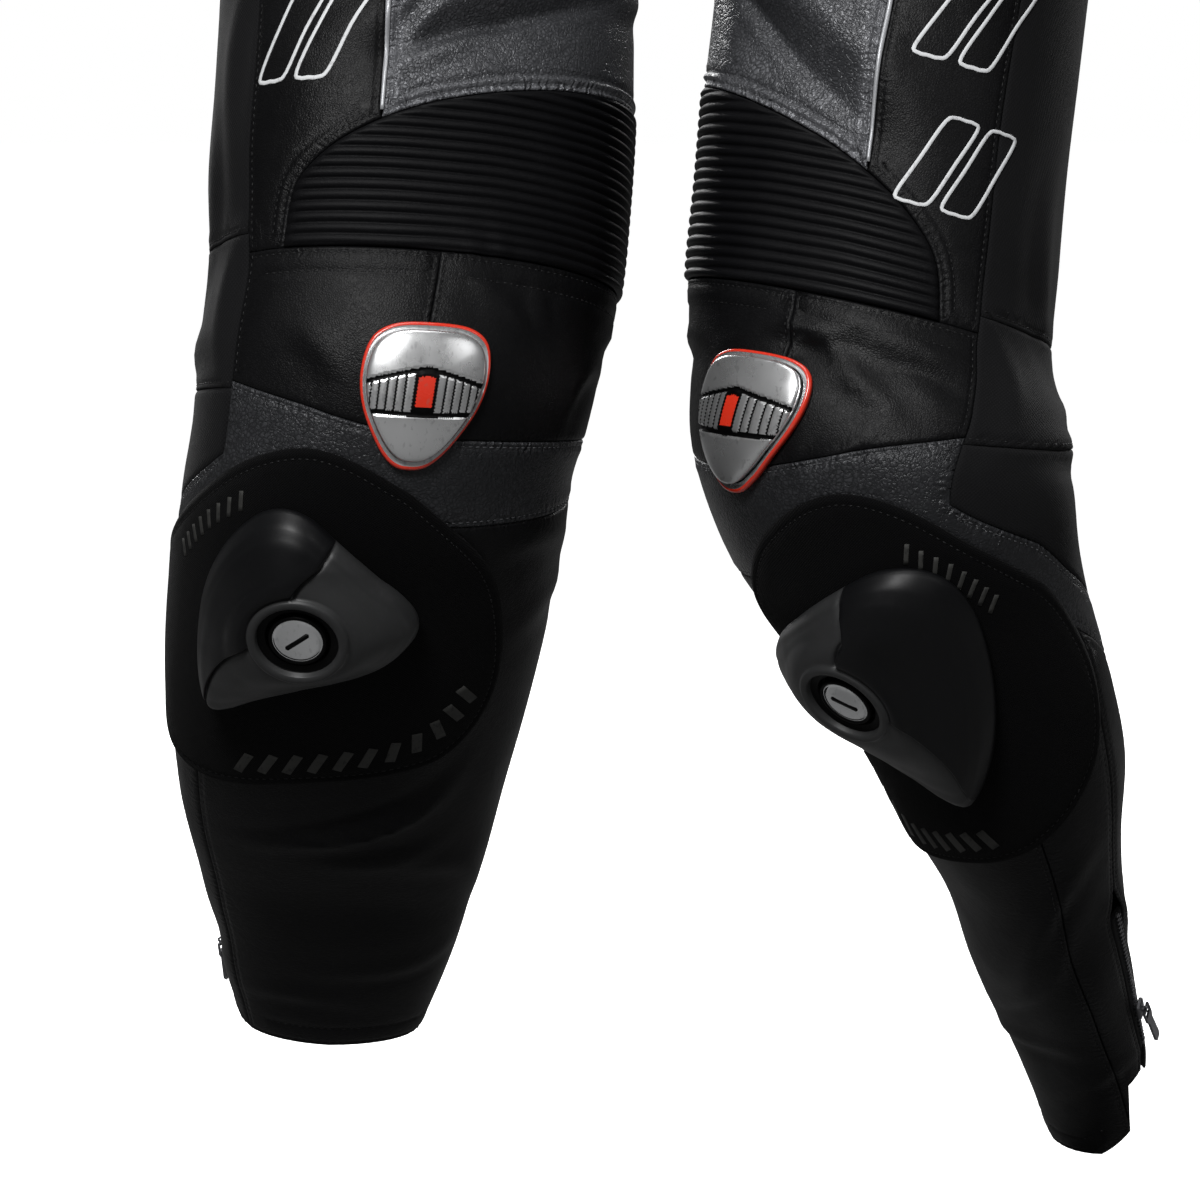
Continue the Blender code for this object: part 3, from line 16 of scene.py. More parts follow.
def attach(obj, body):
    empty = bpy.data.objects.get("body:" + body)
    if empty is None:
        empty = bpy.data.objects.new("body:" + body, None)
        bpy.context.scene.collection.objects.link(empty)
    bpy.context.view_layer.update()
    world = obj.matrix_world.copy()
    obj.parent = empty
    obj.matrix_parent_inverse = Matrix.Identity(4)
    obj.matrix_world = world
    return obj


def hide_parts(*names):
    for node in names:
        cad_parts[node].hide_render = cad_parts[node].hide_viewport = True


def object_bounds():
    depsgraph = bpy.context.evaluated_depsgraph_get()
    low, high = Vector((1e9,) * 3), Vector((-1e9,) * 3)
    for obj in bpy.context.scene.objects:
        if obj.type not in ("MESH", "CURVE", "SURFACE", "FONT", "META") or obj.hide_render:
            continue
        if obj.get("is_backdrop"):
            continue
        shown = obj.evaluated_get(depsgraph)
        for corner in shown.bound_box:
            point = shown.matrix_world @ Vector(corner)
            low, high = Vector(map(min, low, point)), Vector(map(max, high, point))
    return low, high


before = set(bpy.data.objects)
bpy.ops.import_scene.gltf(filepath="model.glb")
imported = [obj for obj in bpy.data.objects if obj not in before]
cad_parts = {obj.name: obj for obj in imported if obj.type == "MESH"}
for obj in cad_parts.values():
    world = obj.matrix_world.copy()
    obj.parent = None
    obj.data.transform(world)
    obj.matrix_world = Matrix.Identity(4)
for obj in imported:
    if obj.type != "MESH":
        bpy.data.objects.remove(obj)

LOG = logging.getLogger("race_suit")
CAD_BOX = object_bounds()
Array = np.ndarray
Point = tuple[float, float]

# ---------------------------------------------------------------- sizes shared with the solids
MM = 0.001
SHOULDER_HEIGHT = 1400.0
LEATHER = 1.6
HALF_GAP = 0.17
ROUNDNESS = 0.92

INNER_SEAM, OUTER_SEAM, BACK_END = -100.0, 60.0, 260.0
KNEE_SEAM, ANKLE_SLIT = 0.0, 110.0
PIPING_ANGLE, PIPING_HALF_TOP, PIPING_HALF_TIP = 16.0, 1.3, 0.5
LEG_TOP, PIPING_END = -350.0, -60.0
ACCORDION_TOP, ACCORDION_BOTTOM, ACCORDION_OUTER = -84.0, 0.0, 45.0
ACCORDION_RIBS = 18
BACK_SEAM_UPPER, BACK_SEAM_LOWER = -8.0, 57.0
SLIT_TOP, SLIT_HEM, SLIT_MOUTH = 318.0, 434.0, 7.5
RIGHT_HEM = ((60, 443), (0, 449), (-100, 449))
RIGHT_BACK_HEM = ((180, 444),)
LEFT_HEM = ((72, 436), (64, 456), (60, 468), (20, 479), (-40, 477), (-100, 458))
LEFT_BACK_HEM = ((136, 453), (200, 455))

LEG_COLUMNS = ("level", "x", "y", "z", "half_width", "front", "back", "facing", "pitch", "roll")
RIGHT_LEG = (
    (-350, -107, 12, 690, 106, 98, 100, 4, 8, 0),
    (-250, -112, -4, 620, 104, 92, 96, 9, 12, 3),
    (-130, -116, -30, 544, 101.5, 85.5, 87.5, 11, 16, 5),
    (-86, -117, -45, 509, 102, 84.5, 84.5, 11, 16, 5.5),
    (-45, -119.5, -58, 468, 102, 84, 82, 11, 16, 5.8),
    (0, -121.5, -72, 421.5, 99, 82, 76, 11, 14, 5.5),
    (40, -128.5, -82, 384, 97, 84, 70, 10, 8, 4),
    (74, -133.5, -85, 353, 94.5, 84, 67, 9, 2, 2),
    (100, -138, -82, 332.5, 94, 83, 65, 8, -6, 0),
    (150, -144, -62, 293.5, 93.5, 76, 64.5, 7, -14, -2),
    (195, -150, -38, 251, 92, 69, 63, 6, -16, -3),
    (240, -155.5, -12, 209, 87.5, 56.5, 58.5, 5, -17, -3),
    (280, -160, 12, 171, 81, 49.5, 53.5, 3, -17, -2),
    (330, -162.5, 42, 126, 71, 42, 46, 1, -16, 0),
    (380, -166, 72, 84, 61, 37, 42, 0, -15, 0),
    (440, -169.5, 102, 42, 48, 32.5, 36, 0, -14, 0),
    (500, -176, 130, 0, 35, 26, 30, 0, -14, 0),
)
LEFT_LEG = (
    (-350, 107, 12, 690, 106, 98, 100, -4, 8, 2),
    (-250, 112, -4, 620, 100, 88, 92, -16, 12, 4),
    (-130, 112.5, -30, 542, 90.5, 76, 78, -26, 16, 7),
    (-86, 107, -43, 497.5, 90.5, 75, 75.5, -28, 16, 9),
    (-45, 103, -55, 452.5, 90.5, 75, 73, -29, 16, 9),
    (0, 99, -66, 404, 91.5, 75.5, 70.5, -31, 14, 8),
    (40, 104.5, -74, 371, 95.5, 81, 69, -38, 8, 6),
    (74, 107.5, -78, 339, 98.5, 85.5, 68.5, -47, 0, 3),
    (100, 116, -75, 313, 96, 83, 65, -53, -10, 0),
    (150, 136.5, -58, 265, 87.5, 69, 58, -62, -18, -2),
    (195, 158.5, -38, 217.5, 81, 57, 53, -66, -22, -3),
    (240, 174, -14, 172, 70.5, 49, 51, -66, -26, -3),
    (280, 184, 12, 135.5, 63, 38.5, 41, -65, -30, -2),
    (330, 193.5, 45, 92, 54.5, 33.5, 36, -61, -34, 0),
    (380, 206, 80, 53, 46.5, 29, 30, -55, -38, 0),
    (440, 222, 121, 8, 38, 24, 25, -49, -43, 0),
    (500, 235, 161, -40, 31, 20, 21, -42, -49, 0),
)
# Soft forms of the solids: angle, level, length, width, slant, depth.
RIGHT_FOLDS = (
    (-4, 50, 80, 40, 90, 5.0), (-14, 250, 130, 44, 90, 4.0), (-46, 100, 100, 17, 2, -3.2),
    (-20, 340, 110, 18, -8, -3.4), (92, 372, 80, 18, 10, -2.6), (190, 30, 130, 22, -5, -5.0),
    (176, 108, 120, 20, 10, -4.2), (172, -210, 140, 24, 16, -3.6),
    (-50, -235, 120, 22, -28, -3.2),
)
LEFT_FOLDS = (
    (-2, 50, 80, 40, 90, 5.0), (12, 250, 130, 40, 90, 3.6), (20, 28, 110, 17, 6, -3.4),
    (24, 98, 90, 17, -18, -3.0), (62, 334, 130, 19, -42, -3.8), (20, 398, 80, 18, -14, -2.6),
    (178, 28, 130, 22, 5, -5.0), (200, 106, 120, 20, -10, -4.2), (186, -206, 140, 24, -14, -3.6),
    (-56, -232, 120, 22, 26, -3.0),
)
# Creases worn into the leather: angle, level, length, width, slant, depth, bow.
RIGHT_CREASES = (
    (-14, 17, 40, 3.8, 132, 2.6, 4), (-21, 20, 40, 3.6, 126, 2.3, 4),
    (-30, 19, 30, 3.4, 118, 1.6, 2), (-9, -127, 100, 12, 24, 7.5, 0),
    (-14, -110, 90, 4.0, 24, -3.0, 0), (10, -108, 46, 4.5, 57, -3.6, 3),
    (5, -86, 46, 4.2, 216, 2.0, 3), (-2, 287, 62, 4.6, 198, 3.4, 4),
    (-20, 276, 56, 5.0, 220, 2.4, 4), (-14, 306, 40, 4.5, 190, 1.8, 3),
    (-58, 44, 40, 7.0, 40, 1.5, 8), (-84, 18, 46, 6.0, 8, 1.3, 4), (28, 40, 34, 6.0, -38, 1.2, 3),
    (70, 12, 60, 8.0, 74, 2.0, 10), (84, -30, 80, 7.0, 80, 1.8, -8),
    (74, -92, 90, 8.0, 86, 1.6, 8), (100, 40, 64, 8.0, 20, 1.9, 6),
    (126, 66, 70, 8.0, 4, 2.1, -5), (150, 20, 80, 9.0, -8, 2.4, 8),
    (190, 52, 90, 8.0, 2, 2.6, -6), (214, 14, 80, 9.0, 14, 2.4, 7),
    (172, -20, 90, 8.0, -6, 2.0, 5), (228, 80, 70, 8.0, 18, 2.0, -6),
    (-62, 128, 60, 8.0, -14, 1.6, 6), (-70, 166, 70, 9.0, 12, 1.3, 5),
    (-52, 316, 60, 6.5, -22, 1.5, 6), (-30, 384, 56, 6.0, 10, 1.4, -4),
    (20, 404, 46, 6.0, -8, 1.1, 3), (128, 300, 70, 8.0, 64, 1.4, 6),
    (190, 330, 70, 8.0, 10, 1.8, 6), (216, 380, 60, 7.0, -8, 1.6, -5),
    (160, 250, 80, 9.0, 4, 1.6, 7), (40, -180, 110, 9.0, -62, 1.0, 9),
    (-30, -190, 110, 9.0, 50, 1.2, 8), (-76, -150, 90, 8.0, 24, 1.4, -8),
    (200, -150, 110, 10.0, 8, 1.9, 8), (150, -270, 110, 10.0, -10, 1.8, 8),
)
LEFT_CREASES = (
    (34, 14, 62, 4.6, 4, 2.8, 4), (40, 22, 56, 4.0, 8, 2.2, 4), (8, 16, 40, 5.0, -16, 1.8, -3),
    (-10, -127, 110, 15, 36, 9.0, 0), (-20, -108, 100, 4.0, 36, -3.2, 0),
    (10, 22, 44, 4.2, 30, 2.2, 4), (22, 38, 46, 4.6, 16, 1.8, 4), (8, 62, 34, 4.0, 50, 1.6, 3),
    (20, 74, 50, 4.0, 140, 1.5, 4), (-14, 26, 40, 5.0, -34, 1.6, 4),
    (-60, 30, 60, 6.0, -12, 1.8, 4), (-84, 54, 50, 6.0, 10, 1.6, 5),
    (50, 44, 50, 7.0, 24, 1.3, -5), (34, 92, 60, 5.0, -14, 1.7, 5),
    (60, 112, 54, 5.0, -28, 1.4, 4), (74, 18, 60, 7.0, 70, 1.8, 8),
    (90, -40, 80, 7.0, 84, 1.8, -7), (110, 54, 64, 8.0, 12, 2.0, 6),
    (140, 20, 80, 8.0, -6, 2.3, 7), (170, 60, 80, 8.0, 4, 2.5, -6),
    (206, 20, 80, 9.0, 10, 2.5, 6), (226, 74, 70, 8.0, -14, 2.1, 6),
    (180, -30, 90, 8.0, 6, 2.0, 5), (-60, 140, 60, 8.0, 10, 1.6, 6),
    (-66, 200, 70, 8.0, -16, 1.4, 5), (48, 300, 76, 6.0, -46, 1.9, 6),
    (30, 344, 60, 5.5, -34, 1.7, -5), (-10, 388, 60, 6.0, 12, 1.4, 4),
    (50, 420, 44, 5.0, -12, 1.3, 3), (128, 330, 60, 7.0, 50, 1.4, 6),
    (190, 300, 70, 8.0, -8, 1.8, 6), (220, 372, 60, 7.0, 10, 1.6, -5),
    (34, -170, 110, 9.0, 58, 1.1, 8), (-34, -180, 110, 9.0, -48, 1.2, 8),
    (206, -150, 110, 10.0, -8, 1.9, 8),
)

TORSO_COLUMNS = ("level", "z", "y", "half_width", "front", "back")
TORSO = (
    (0, 972, 2, 166, 116, 104), (80, 1052, 0, 174, 124, 110), (180, 1150, -4, 190, 132, 118),
    (250, 1218, -4, 200, 132, 124), (315, 1280, 0, 205, 124, 124), (375, 1336, 8, 198, 104, 116),
    (420, 1372, 16, 176, 82, 100), (455, 1394, 22, 146, 68, 86), (495, 1410, 24, 110, 60, 74),
    (530, 1424, 22, 80, 58, 66),
)
NECK_FRONT, NECK_BACK, COLLAR_HEIGHT = 500.0, 524.0, 38.0
ARMHOLE_LEVEL, ARMHOLE_HALF_HEIGHT, ARMHOLE_HALF_ANGLE = 332.0, 98.0, 33.0
YOKE_FRONT_TURN, YOKE_BACK_TURN = 72.0, 96.0
ARM_COLUMNS = ("reach", "x", "y", "z", "half_width", "half_depth")
ARM = (
    (100, 273, 0, 1200, 64, 76), (200, 301, -4, 1110, 58, 66), (300, 326, -20, 1020, 54, 58),
    (380, 343, -50, 950, 50, 53), (480, 361, -90, 860, 43, 45), (560, 373, -120, 790, 37, 39),
)
ELBOW, CUFF = 300.0, 560.0
UNDERARM_CLEARANCE = 0.7
HIP_DEPTH, HIP_FULLNESS = 285.0, 0.10
WAIST_PULL, THIGH_PULL, CROTCH_PULL, RISE_CLEARANCE = 1.5, 0.8, 0.25, 0.1
SIDE_SEAM = 90.0
# Creases above the legs, alike on both sides: angle, level, length, width, slant, depth, bow.
HIP_CREASES = (
    (20, 225, 90, 9, -34, 2.4, 8), (34, 195, 100, 10, -28, 2.0, 8), (12, 170, 60, 8, 70, 1.8, 5),
    (60, 240, 90, 10, 12, 1.8, 8), (120, 230, 100, 10, 10, 2.2, -8), (150, 190, 90, 10, 24, 2.0, 8),
    (166, 120, 80, 9, 60, 1.6, 6), (80, 60, 100, 10, 4, 1.6, 8), (130, 40, 100, 10, -6, 1.6, 8),
)
TORSO_CREASES = (
    (24, 40, 90, 10, 6, 2.0, 8), (60, 24, 90, 9, -8, 2.0, 6), (40, 96, 110, 11, 12, 1.6, 8),
    (66, 190, 80, 10, 46, 2.0, 8), (52, 230, 90, 10, 58, 1.6, -8),
    (30, 160, 100, 12, -20, 1.2, 8), (110, 40, 100, 10, -6, 2.2, 8),
    (150, 30, 110, 10, 4, 2.0, -8), (130, 110, 110, 11, -14, 1.8, 8),
    (120, 210, 90, 10, -50, 1.8, 8), (160, 180, 120, 12, 8, 1.4, 8), (40, 400, 70, 8, 30, 1.2, 6),
    (140, 400, 80, 8, -28, 1.2, 6),
)
ARM_CREASES = (
    (90, 288, 90, 7, 6, 2.6, 6), (60, 306, 80, 7, -10, 2.4, -6), (120, 316, 70, 6, 12, 2.2, 5),
    (40, 274, 70, 7, 18, 2.0, 6), (100, 258, 80, 8, -14, 2.0, 6), (300, 330, 70, 8, 40, 1.4, 6),
    (20, 60, 90, 9, 30, 2.2, 8), (330, 70, 80, 9, -24, 2.0, 8), (90, 120, 90, 9, -30, 1.8, 8),
    (180, 200, 100, 10, 60, 1.4, 8), (270, 150, 90, 9, 20, 1.6, 8), (80, 380, 80, 8, 12, 1.8, -6),
    (140, 430, 70, 7, -12, 1.5, 6), (30, 470, 60, 7, 10, 1.5, 5), (250, 480, 60, 7, -14, 1.4, 5),
)

# Width and length of each cut piece laid flat in mm, and its area in square centimetres.
FLATS = {
    "left_thigh_front": (188, 202, 365), "right_thigh_front": (201, 213, 396),
    "left_thigh_outer": (67, 270, 177), "right_thigh_outer": (71, 238, 166),
    "left_thigh_back": (312, 306, 924), "right_thigh_back": (332, 290, 943),
    "left_knee_inner": (151, 87, 130), "right_knee_inner": (154, 84, 128),
    "left_knee_outer": (94, 82, 68), "right_knee_outer": (96, 88, 76),
    "left_knee_back": (279, 60, 141), "right_knee_back": (291, 62, 177),
    "left_knee_band": (359, 175, 196), "right_knee_band": (352, 145, 155),
    "left_shin": (148, 440, 632), "right_shin": (187, 374, 682),
    "left_calf_outer": (40, 420, 134), "right_calf_outer": (50, 350, 140),
    "left_calf_gusset": (282, 97, 183), "right_calf_gusset": (288, 81, 161),
    "left_calf_back": (140, 372, 425), "right_calf_back": (170, 345, 505),
    "hip_front": (275, 315, 706), "seat": (272, 317, 755), "chest_front": (250, 298, 694),
    "yoke_front": (224, 208, 322), "back": (484, 335, 1510), "yoke_back": (393, 165, 489),
    "sleeve_upper": (403, 345, 1341), "forearm": (318, 256, 763), "collar": (473, 42, 186),
}

ARCH = (
    (-100, -84), (-70, -84), (-45, -80.5), (-25, -76), (-6, -69), (8, -60.5),
    (20, -51.5), (30, -42), (39, -30), (43, -18), (45, 0),
)
KNEE_BOTTOM = ((-100, 76), (-74, 76), (-20, 76), (0, 74), (19, 68), (32, 63), (60, 54))
BAND_WING = ((60, 84), (86, 106), (112, 136), (141, 158))
BAND_BOTTOM = ((141, 186), (100, 158), (60, 122), (0, 112), (-100, 118))
BAND_AT_SLIT = (ANKLE_SLIT, 158 + 28 * (ANKLE_SLIT - 100) / 41)
PATCH_OUTLINE = (
    (24, 80), (44, 84), (62, 97), (84, 122), (102, 152), (110, 184), (104, 216), (86, 240),
    (62, 252), (38, 255), (14, 252), (-8, 249), (-26, 242), (-38, 222), (-42, 196),
    (-38, 164), (-29, 134), (-14, 110), (4, 90),
)
PATCH_LIFT, PATCH_THICKNESS = 1.3, 1.6
SLIDER_CENTRE = (20.0, 153.0)
SLIDER_OUTLINE = (
    (-47, 3), (-30, -23), (-10, -46), (4, -58), (19, -61), (33, -55), (47, -38), (57, -12),
    (59, 16), (55, 42), (46, 61), (34, 60), (16, 50), (-9, 39), (-30, 32), (-43, 20),
)
SLIDER_LIFT, SLIDER_SEAT_RADIUS, SLIDER_SEAT_HEIGHT = 4.4, 15.5, 17.0
SLIDER_TURNS = {"right": 0.0, "left": 20.0}
SLIDER_SIZES = {"right": 1.0, "left": 1.22}
SLIDER_STEP_ANGLES, SLIDER_STEP, SLIDER_BEND = (-102.0, 51.0), 2.4, 22.0
SLIDER_RINGS = ((0.0, 24.0), (0.18, 24.5), (0.24, 22.0), (0.45, 20.5), (0.68, 16.5), (0.88, 11.5),
                (1.0, 5.0))
BADGE_CENTRES = {"right": (-1.0, 58.0), "left": (-7.5, 57.0)}
BADGE_OUTLINE = (
    (0, -33.5), (19.5, -32), (31, -25), (34.5, -10), (31, 6), (20.5, 22), (10, 31.5), (0, 34),
    (-10, 31.5), (-20.5, 22), (-31, 6), (-34.5, -10), (-31, -25), (-19.5, -32),
)
BADGE_LIFT, BADGE_RIM_THICKNESS, BADGE_PLATE_SHARE = 0.8, 3.0, 0.87
BADGE_PLATE_THICKNESS, BADGE_BED = 1.6, 1.3
ZIP_OPENING, ZIP_HALF_WIDTH, ZIP_TAPE_WIDTH = 5.0, 4.6, 15.5
FRONT_ZIP_FOOT, ANKLE_ZIP_FOOT = 128.0, 422.0


# Distances of the stitch rows from a piece's edge.
ONE_ROW, TWO_ROWS, HEM_ROWS, KNEE_ROWS = (2.7,), (2.9, 7.6), (2.8, 13.5), (2.9, 12.0)
# Spacing of a piece's points and swell of its seams: pearl leather, and all other leg cloth.
PEARL_FINENESS, LEG_FINENESS = (2.6, 2.2), (5.0, 1.0)


# ---------------------------------------------------------------- surfaces
def table_curve(rows: Sequence[Sequence[float]], column: int, at: Array) -> Array:
    """Read a smooth curve through one column of a table.

    Args:
        rows: the table; its first column rises.
        column: the column to read.
        at: values of the first column.

    Returns:
        The column's values there.
    """
    grid = np.array(rows, dtype=float)
    xs, ys = grid[:, 0], grid[:, column]
    at = np.clip(at, xs[0], xs[-1])
    slope = np.gradient(ys, xs)
    low = np.clip(np.searchsorted(xs, at, side="right") - 1, 0, len(xs) - 2)
    span = xs[low + 1] - xs[low]
    t = (at - xs[low]) / span
    start = (2 * t**3 - 3 * t**2 + 1) * ys[low] + (t**3 - 2 * t**2 + t) * span * slope[low]
    end = (-2 * t**3 + 3 * t**2) * ys[low + 1] + (t**3 - t**2) * span * slope[low + 1]
    return start + end


def rounded(values: Array) -> Array:
    """Take a sine or cosine to the section's roundness, with its sign kept."""
    return np.sign(values) * np.abs(values) ** ROUNDNESS


def unit(vectors: Array) -> Array:
    """Scale vectors to length one."""
    return vectors / np.maximum(np.linalg.norm(vectors, axis=-1, keepdims=True), 1e-12)


def leaning(out: Array, down: Array, slant: float) -> tuple[Array, Array]:
    """Distances along and beside a line that leans by a slant in degrees.

    Args:
        out: distances across in millimetres.
        down: distances down in millimetres.
        slant: the line's lean in degrees.

    Returns:
        Distances along the line and beside it.
    """
    lean = math.radians(slant)
    return (out * math.cos(lean) + down * math.sin(lean),
            -out * math.sin(lean) + down * math.cos(lean))


def spun(flat: Array, turn: float) -> Array:
    """Flat points turned by an angle in radians."""
    return flat @ np.array(((math.cos(turn), math.sin(turn)), (-math.sin(turn), math.cos(turn))))


def signed_distance(points: Array, outline: Array) -> Array:
    """Distance of flat points to a closed outline, positive inside.

    Args:
        points: flat points, one a row.
        outline: the outline's corners in order.

    Returns:
        One distance for each point.
    """
    start, run = outline, np.roll(outline, -1, axis=0) - outline
    best = np.full(len(points), np.inf)
    inside = np.zeros(len(points), dtype=bool)
    for corner, step in zip(start, run):
        offset = points - corner
        share = np.clip(offset @ step / max(step @ step, 1e-12), 0, 1)
        best = np.minimum(best, np.linalg.norm(offset - share[:, None] * step, axis=1))
        rises = (corner[1] > points[:, 1]) != (corner[1] + step[1] > points[:, 1])
        height = step[1] if step[1] else 1.0
        inside ^= rises & (corner[0] + (points[:, 1] - corner[1]) * step[0] / height > points[:, 0])
    return np.where(inside, best, -best)


class Surface:
    """A smooth surface in two coordinates, with an outward normal and worn creases."""

    turn, overlap = 1.0, 0.05
    creases: Sequence[Sequence[float]] = ()

    def place(self, a: Array, b: Array) -> Array:
        """Point in millimetres above the lower hem for coordinates a and b."""
        raise NotImplementedError

    def points(self, a: Array, b: Array) -> Array:
        """Points in millimetres from the suit's origin."""
        a, b = np.broadcast_arrays(np.asarray(a, float), np.asarray(b, float))
        return self.place(a, b) - np.array((0.0, 0.0, SHOULDER_HEIGHT))

    def tangents(self, a: Array, b: Array) -> tuple[Array, Array]:
        """Change of place for one unit of each coordinate.

        Args:
            a: first surface coordinates.
            b: second surface coordinates.

        Returns:
            The change for the first and for the second coordinate.
        """
        step = 0.25
        along_a = (self.points(a + step, b) - self.points(a - step, b)) / (2 * step)
        along_b = (self.points(a, b + step) - self.points(a, b - step)) / (2 * step)
        return along_a, along_b

    def normals(self, a: Array, b: Array) -> Array:
        """Outward unit normals."""
        along_a, along_b = self.tangents(np.asarray(a, float), np.asarray(b, float))
        return unit(np.cross(along_a, along_b) * self.turn)

    def lifted(self, a: Array, b: Array, lift: Array | float) -> Array:
        """Points moved out along the normals."""
        return self.points(a, b) + self.normals(a, b) * np.asarray(lift, float)[..., None]

    def worn(self, a: Array, b: Array, lift: Array | float) -> Array:
        """Points moved out along the normals, over the creases."""
        return self.lifted(a, b, np.asarray(lift, float) + self.relief(a, b))

    def from_flat(self, centre: Point, outline: Array) -> Array:
        """Coordinates of flat points in millimetres, laid on the surface round a centre.

        Args:
            centre: surface coordinates of the centre.
            outline: flat points in millimetres.

        Returns:
            Surface coordinates, one row for each point.
        """
        along_a, along_b = self.tangents(np.array(centre[0]), np.array(centre[1]))
        flat = np.array(outline, float)
        return np.stack([centre[0] + flat[:, 0] / np.linalg.norm(along_a),
                         centre[1] + flat[:, 1] / np.linalg.norm(along_b)], axis=-1)

    def measure(self, a: Array, b: Array) -> tuple[Array, Array]:
        """Angles that the creases are read by, and millimetres for one unit of them."""
        return np.asarray(a, float), np.full(np.shape(a), 1.0)

    def relief(self, a: Array, b: Array) -> Array:
        """Height of the worn creases, each a ridge with a trough beside it.

        Args:
            a: first surface coordinates.
            b: second surface coordinates.

        Returns:
            Heights in millimetres.
        """
        a, b = np.asarray(a, float), np.asarray(b, float)
        total = np.zeros(np.broadcast(a, b).shape)
        reading, per_unit = self.measure(a, b)
        for angle, level, length, width, slant, depth, bow in self.creases:
            turn = (reading - angle + 180.0) % 360.0 - 180.0
            out, down = turn * per_unit, b - level
            along, beside = leaning(out, down, slant)
            share = 2 * along / length
            across = (beside - bow * share**2) / width
            fade = np.exp(-share**2)
            ridge = np.exp(-across**2) - 0.62 * np.exp(-((across - 1.55) / 0.95) ** 2)
            total = total + depth * fade * ridge
        return total * self.hush(a, b)

    def hush(self, a: Array, b: Array) -> Array:
        """Share of the creases that is left, none under the hard trim."""
        return np.ones(np.broadcast(a, b).shape)


class Leg(Surface):
    """A leg: angle round it in degrees, level down it in millimetres."""

    def __init__(self, tag: str, rows: Sequence, folds: Sequence, creases: Sequence, hem: Sequence,
                 back_hem: Sequence, side: float) -> None:
        """Keep the leg's tables; side is +1 for the wearer's left leg.

        Args:
            tag: left or right.
            rows: the leg's table.
            folds: its soft forms.
            creases: its creases.
            hem: angles and levels of its hem in front.
            back_hem: angles and levels of its hem behind.
            side: +1 for the wearer's left leg, -1 for the right one.
        """
        self.tag, self.rows, self.folds, self.creases = tag, rows, folds, creases
        self.side, self.turn = side, -side
        self.hem, self.back_hem = list(hem), list(back_hem)

    def columns(self, b: Array) -> dict[str, Array]:
        """The leg table's columns at levels b."""
        return {name: table_curve(self.rows, k, b) for k, name in enumerate(LEG_COLUMNS)}

    def place(self, a: Array, b: Array) -> Array:
        """Section point, with the folds added along its own direction from the middle.

        Args:
            a: angles in degrees.
            b: levels in millimetres.

        Returns:
            Points in millimetres above the lower hem.
        """
        col = self.columns(b)
        facing, pitch, roll = (np.radians(col[name]) for name in ("facing", "pitch", "roll"))
        front = np.stack([np.sin(facing) * np.cos(pitch), -np.cos(facing) * np.cos(pitch),
                          np.sin(pitch)], axis=-1)
        across = np.stack([np.cos(facing) * np.cos(roll), np.sin(facing) * np.cos(roll),
                           -np.sin(roll)], axis=-1)
        turn = np.radians(a)
        cosine, sine = np.cos(turn), np.sin(turn)
        depth = np.where(cosine > 0, col["front"], col["back"]) * rounded(cosine)
        width = col["half_width"] * rounded(sine)
        arm = front * depth[..., None] + across * (self.side * width)[..., None]
        reach = np.linalg.norm(arm, axis=-1, keepdims=True)
        middle = np.stack([col["x"], col["y"], col["z"]], axis=-1)
        return middle + arm * (1 + self.fold_depth(a, b, col)[..., None] / reach)

    @staticmethod
    def girth(col: dict[str, Array]) -> Array:
        """Millimetres round the leg, nearly."""
        return (col["half_width"] + (col["front"] + col["back"]) / 2) * math.pi

    def fold_depth(self, a: Array, b: Array, col: dict[str, Array]) -> Array:
        """Sum of the soft troughs and ridges of the fold table.

        Args:
            a: angles in degrees.
            b: levels in millimetres.
            col: the leg table's columns at those levels.

        Returns:
            Depths in millimetres.
        """
        total, girth = np.zeros_like(a), self.girth(col)
        for angle, level, length, width, slant, depth in self.folds:
            turn = (a - angle + 180.0) % 360.0 - 180.0
            out, down = turn / 360.0 * girth, b - level
            along, beside = leaning(out, down, slant)
            total = total + depth * np.exp(-(2 * along / length) ** 2 - (beside / width) ** 2)
        return total

    def measure(self, a: Array, b: Array) -> tuple[Array, Array]:
        """Angles, and the millimetres for a degree at each level."""
        girth = self.girth(self.columns(np.asarray(b, float)))
        return np.asarray(a, float), girth / 360.0

    def hush(self, a: Array, b: Array) -> Array:
        """Fade the creases out under the slider's patch and the knee badge.

        Args:
            a: angles in degrees.
            b: levels in millimetres.

        Returns:
            Shares from 0 to 1.
        """
        shape = np.broadcast(a, b).shape
        a, b = np.broadcast_arrays(np.asarray(a, float), np.asarray(b, float))
        a, b = (a.ravel() + 180.0) % 360.0 - 180.0, b.ravel()
        share = np.ones(a.size)
        badge = self.from_flat(BADGE_CENTRES[self.tag], BADGE_OUTLINE)
        for outline, scale in ((np.array(PATCH_OUTLINE, float), (1.4, 1.0)), (badge, (1.6, 1.0))):
            gap = -signed_distance(np.stack([a, b], axis=-1) * scale, outline * scale)
            t = np.clip(gap / 9.0, 0, 1)
            share *= t * t * (3 - 2 * t)
        return share.reshape(shape)


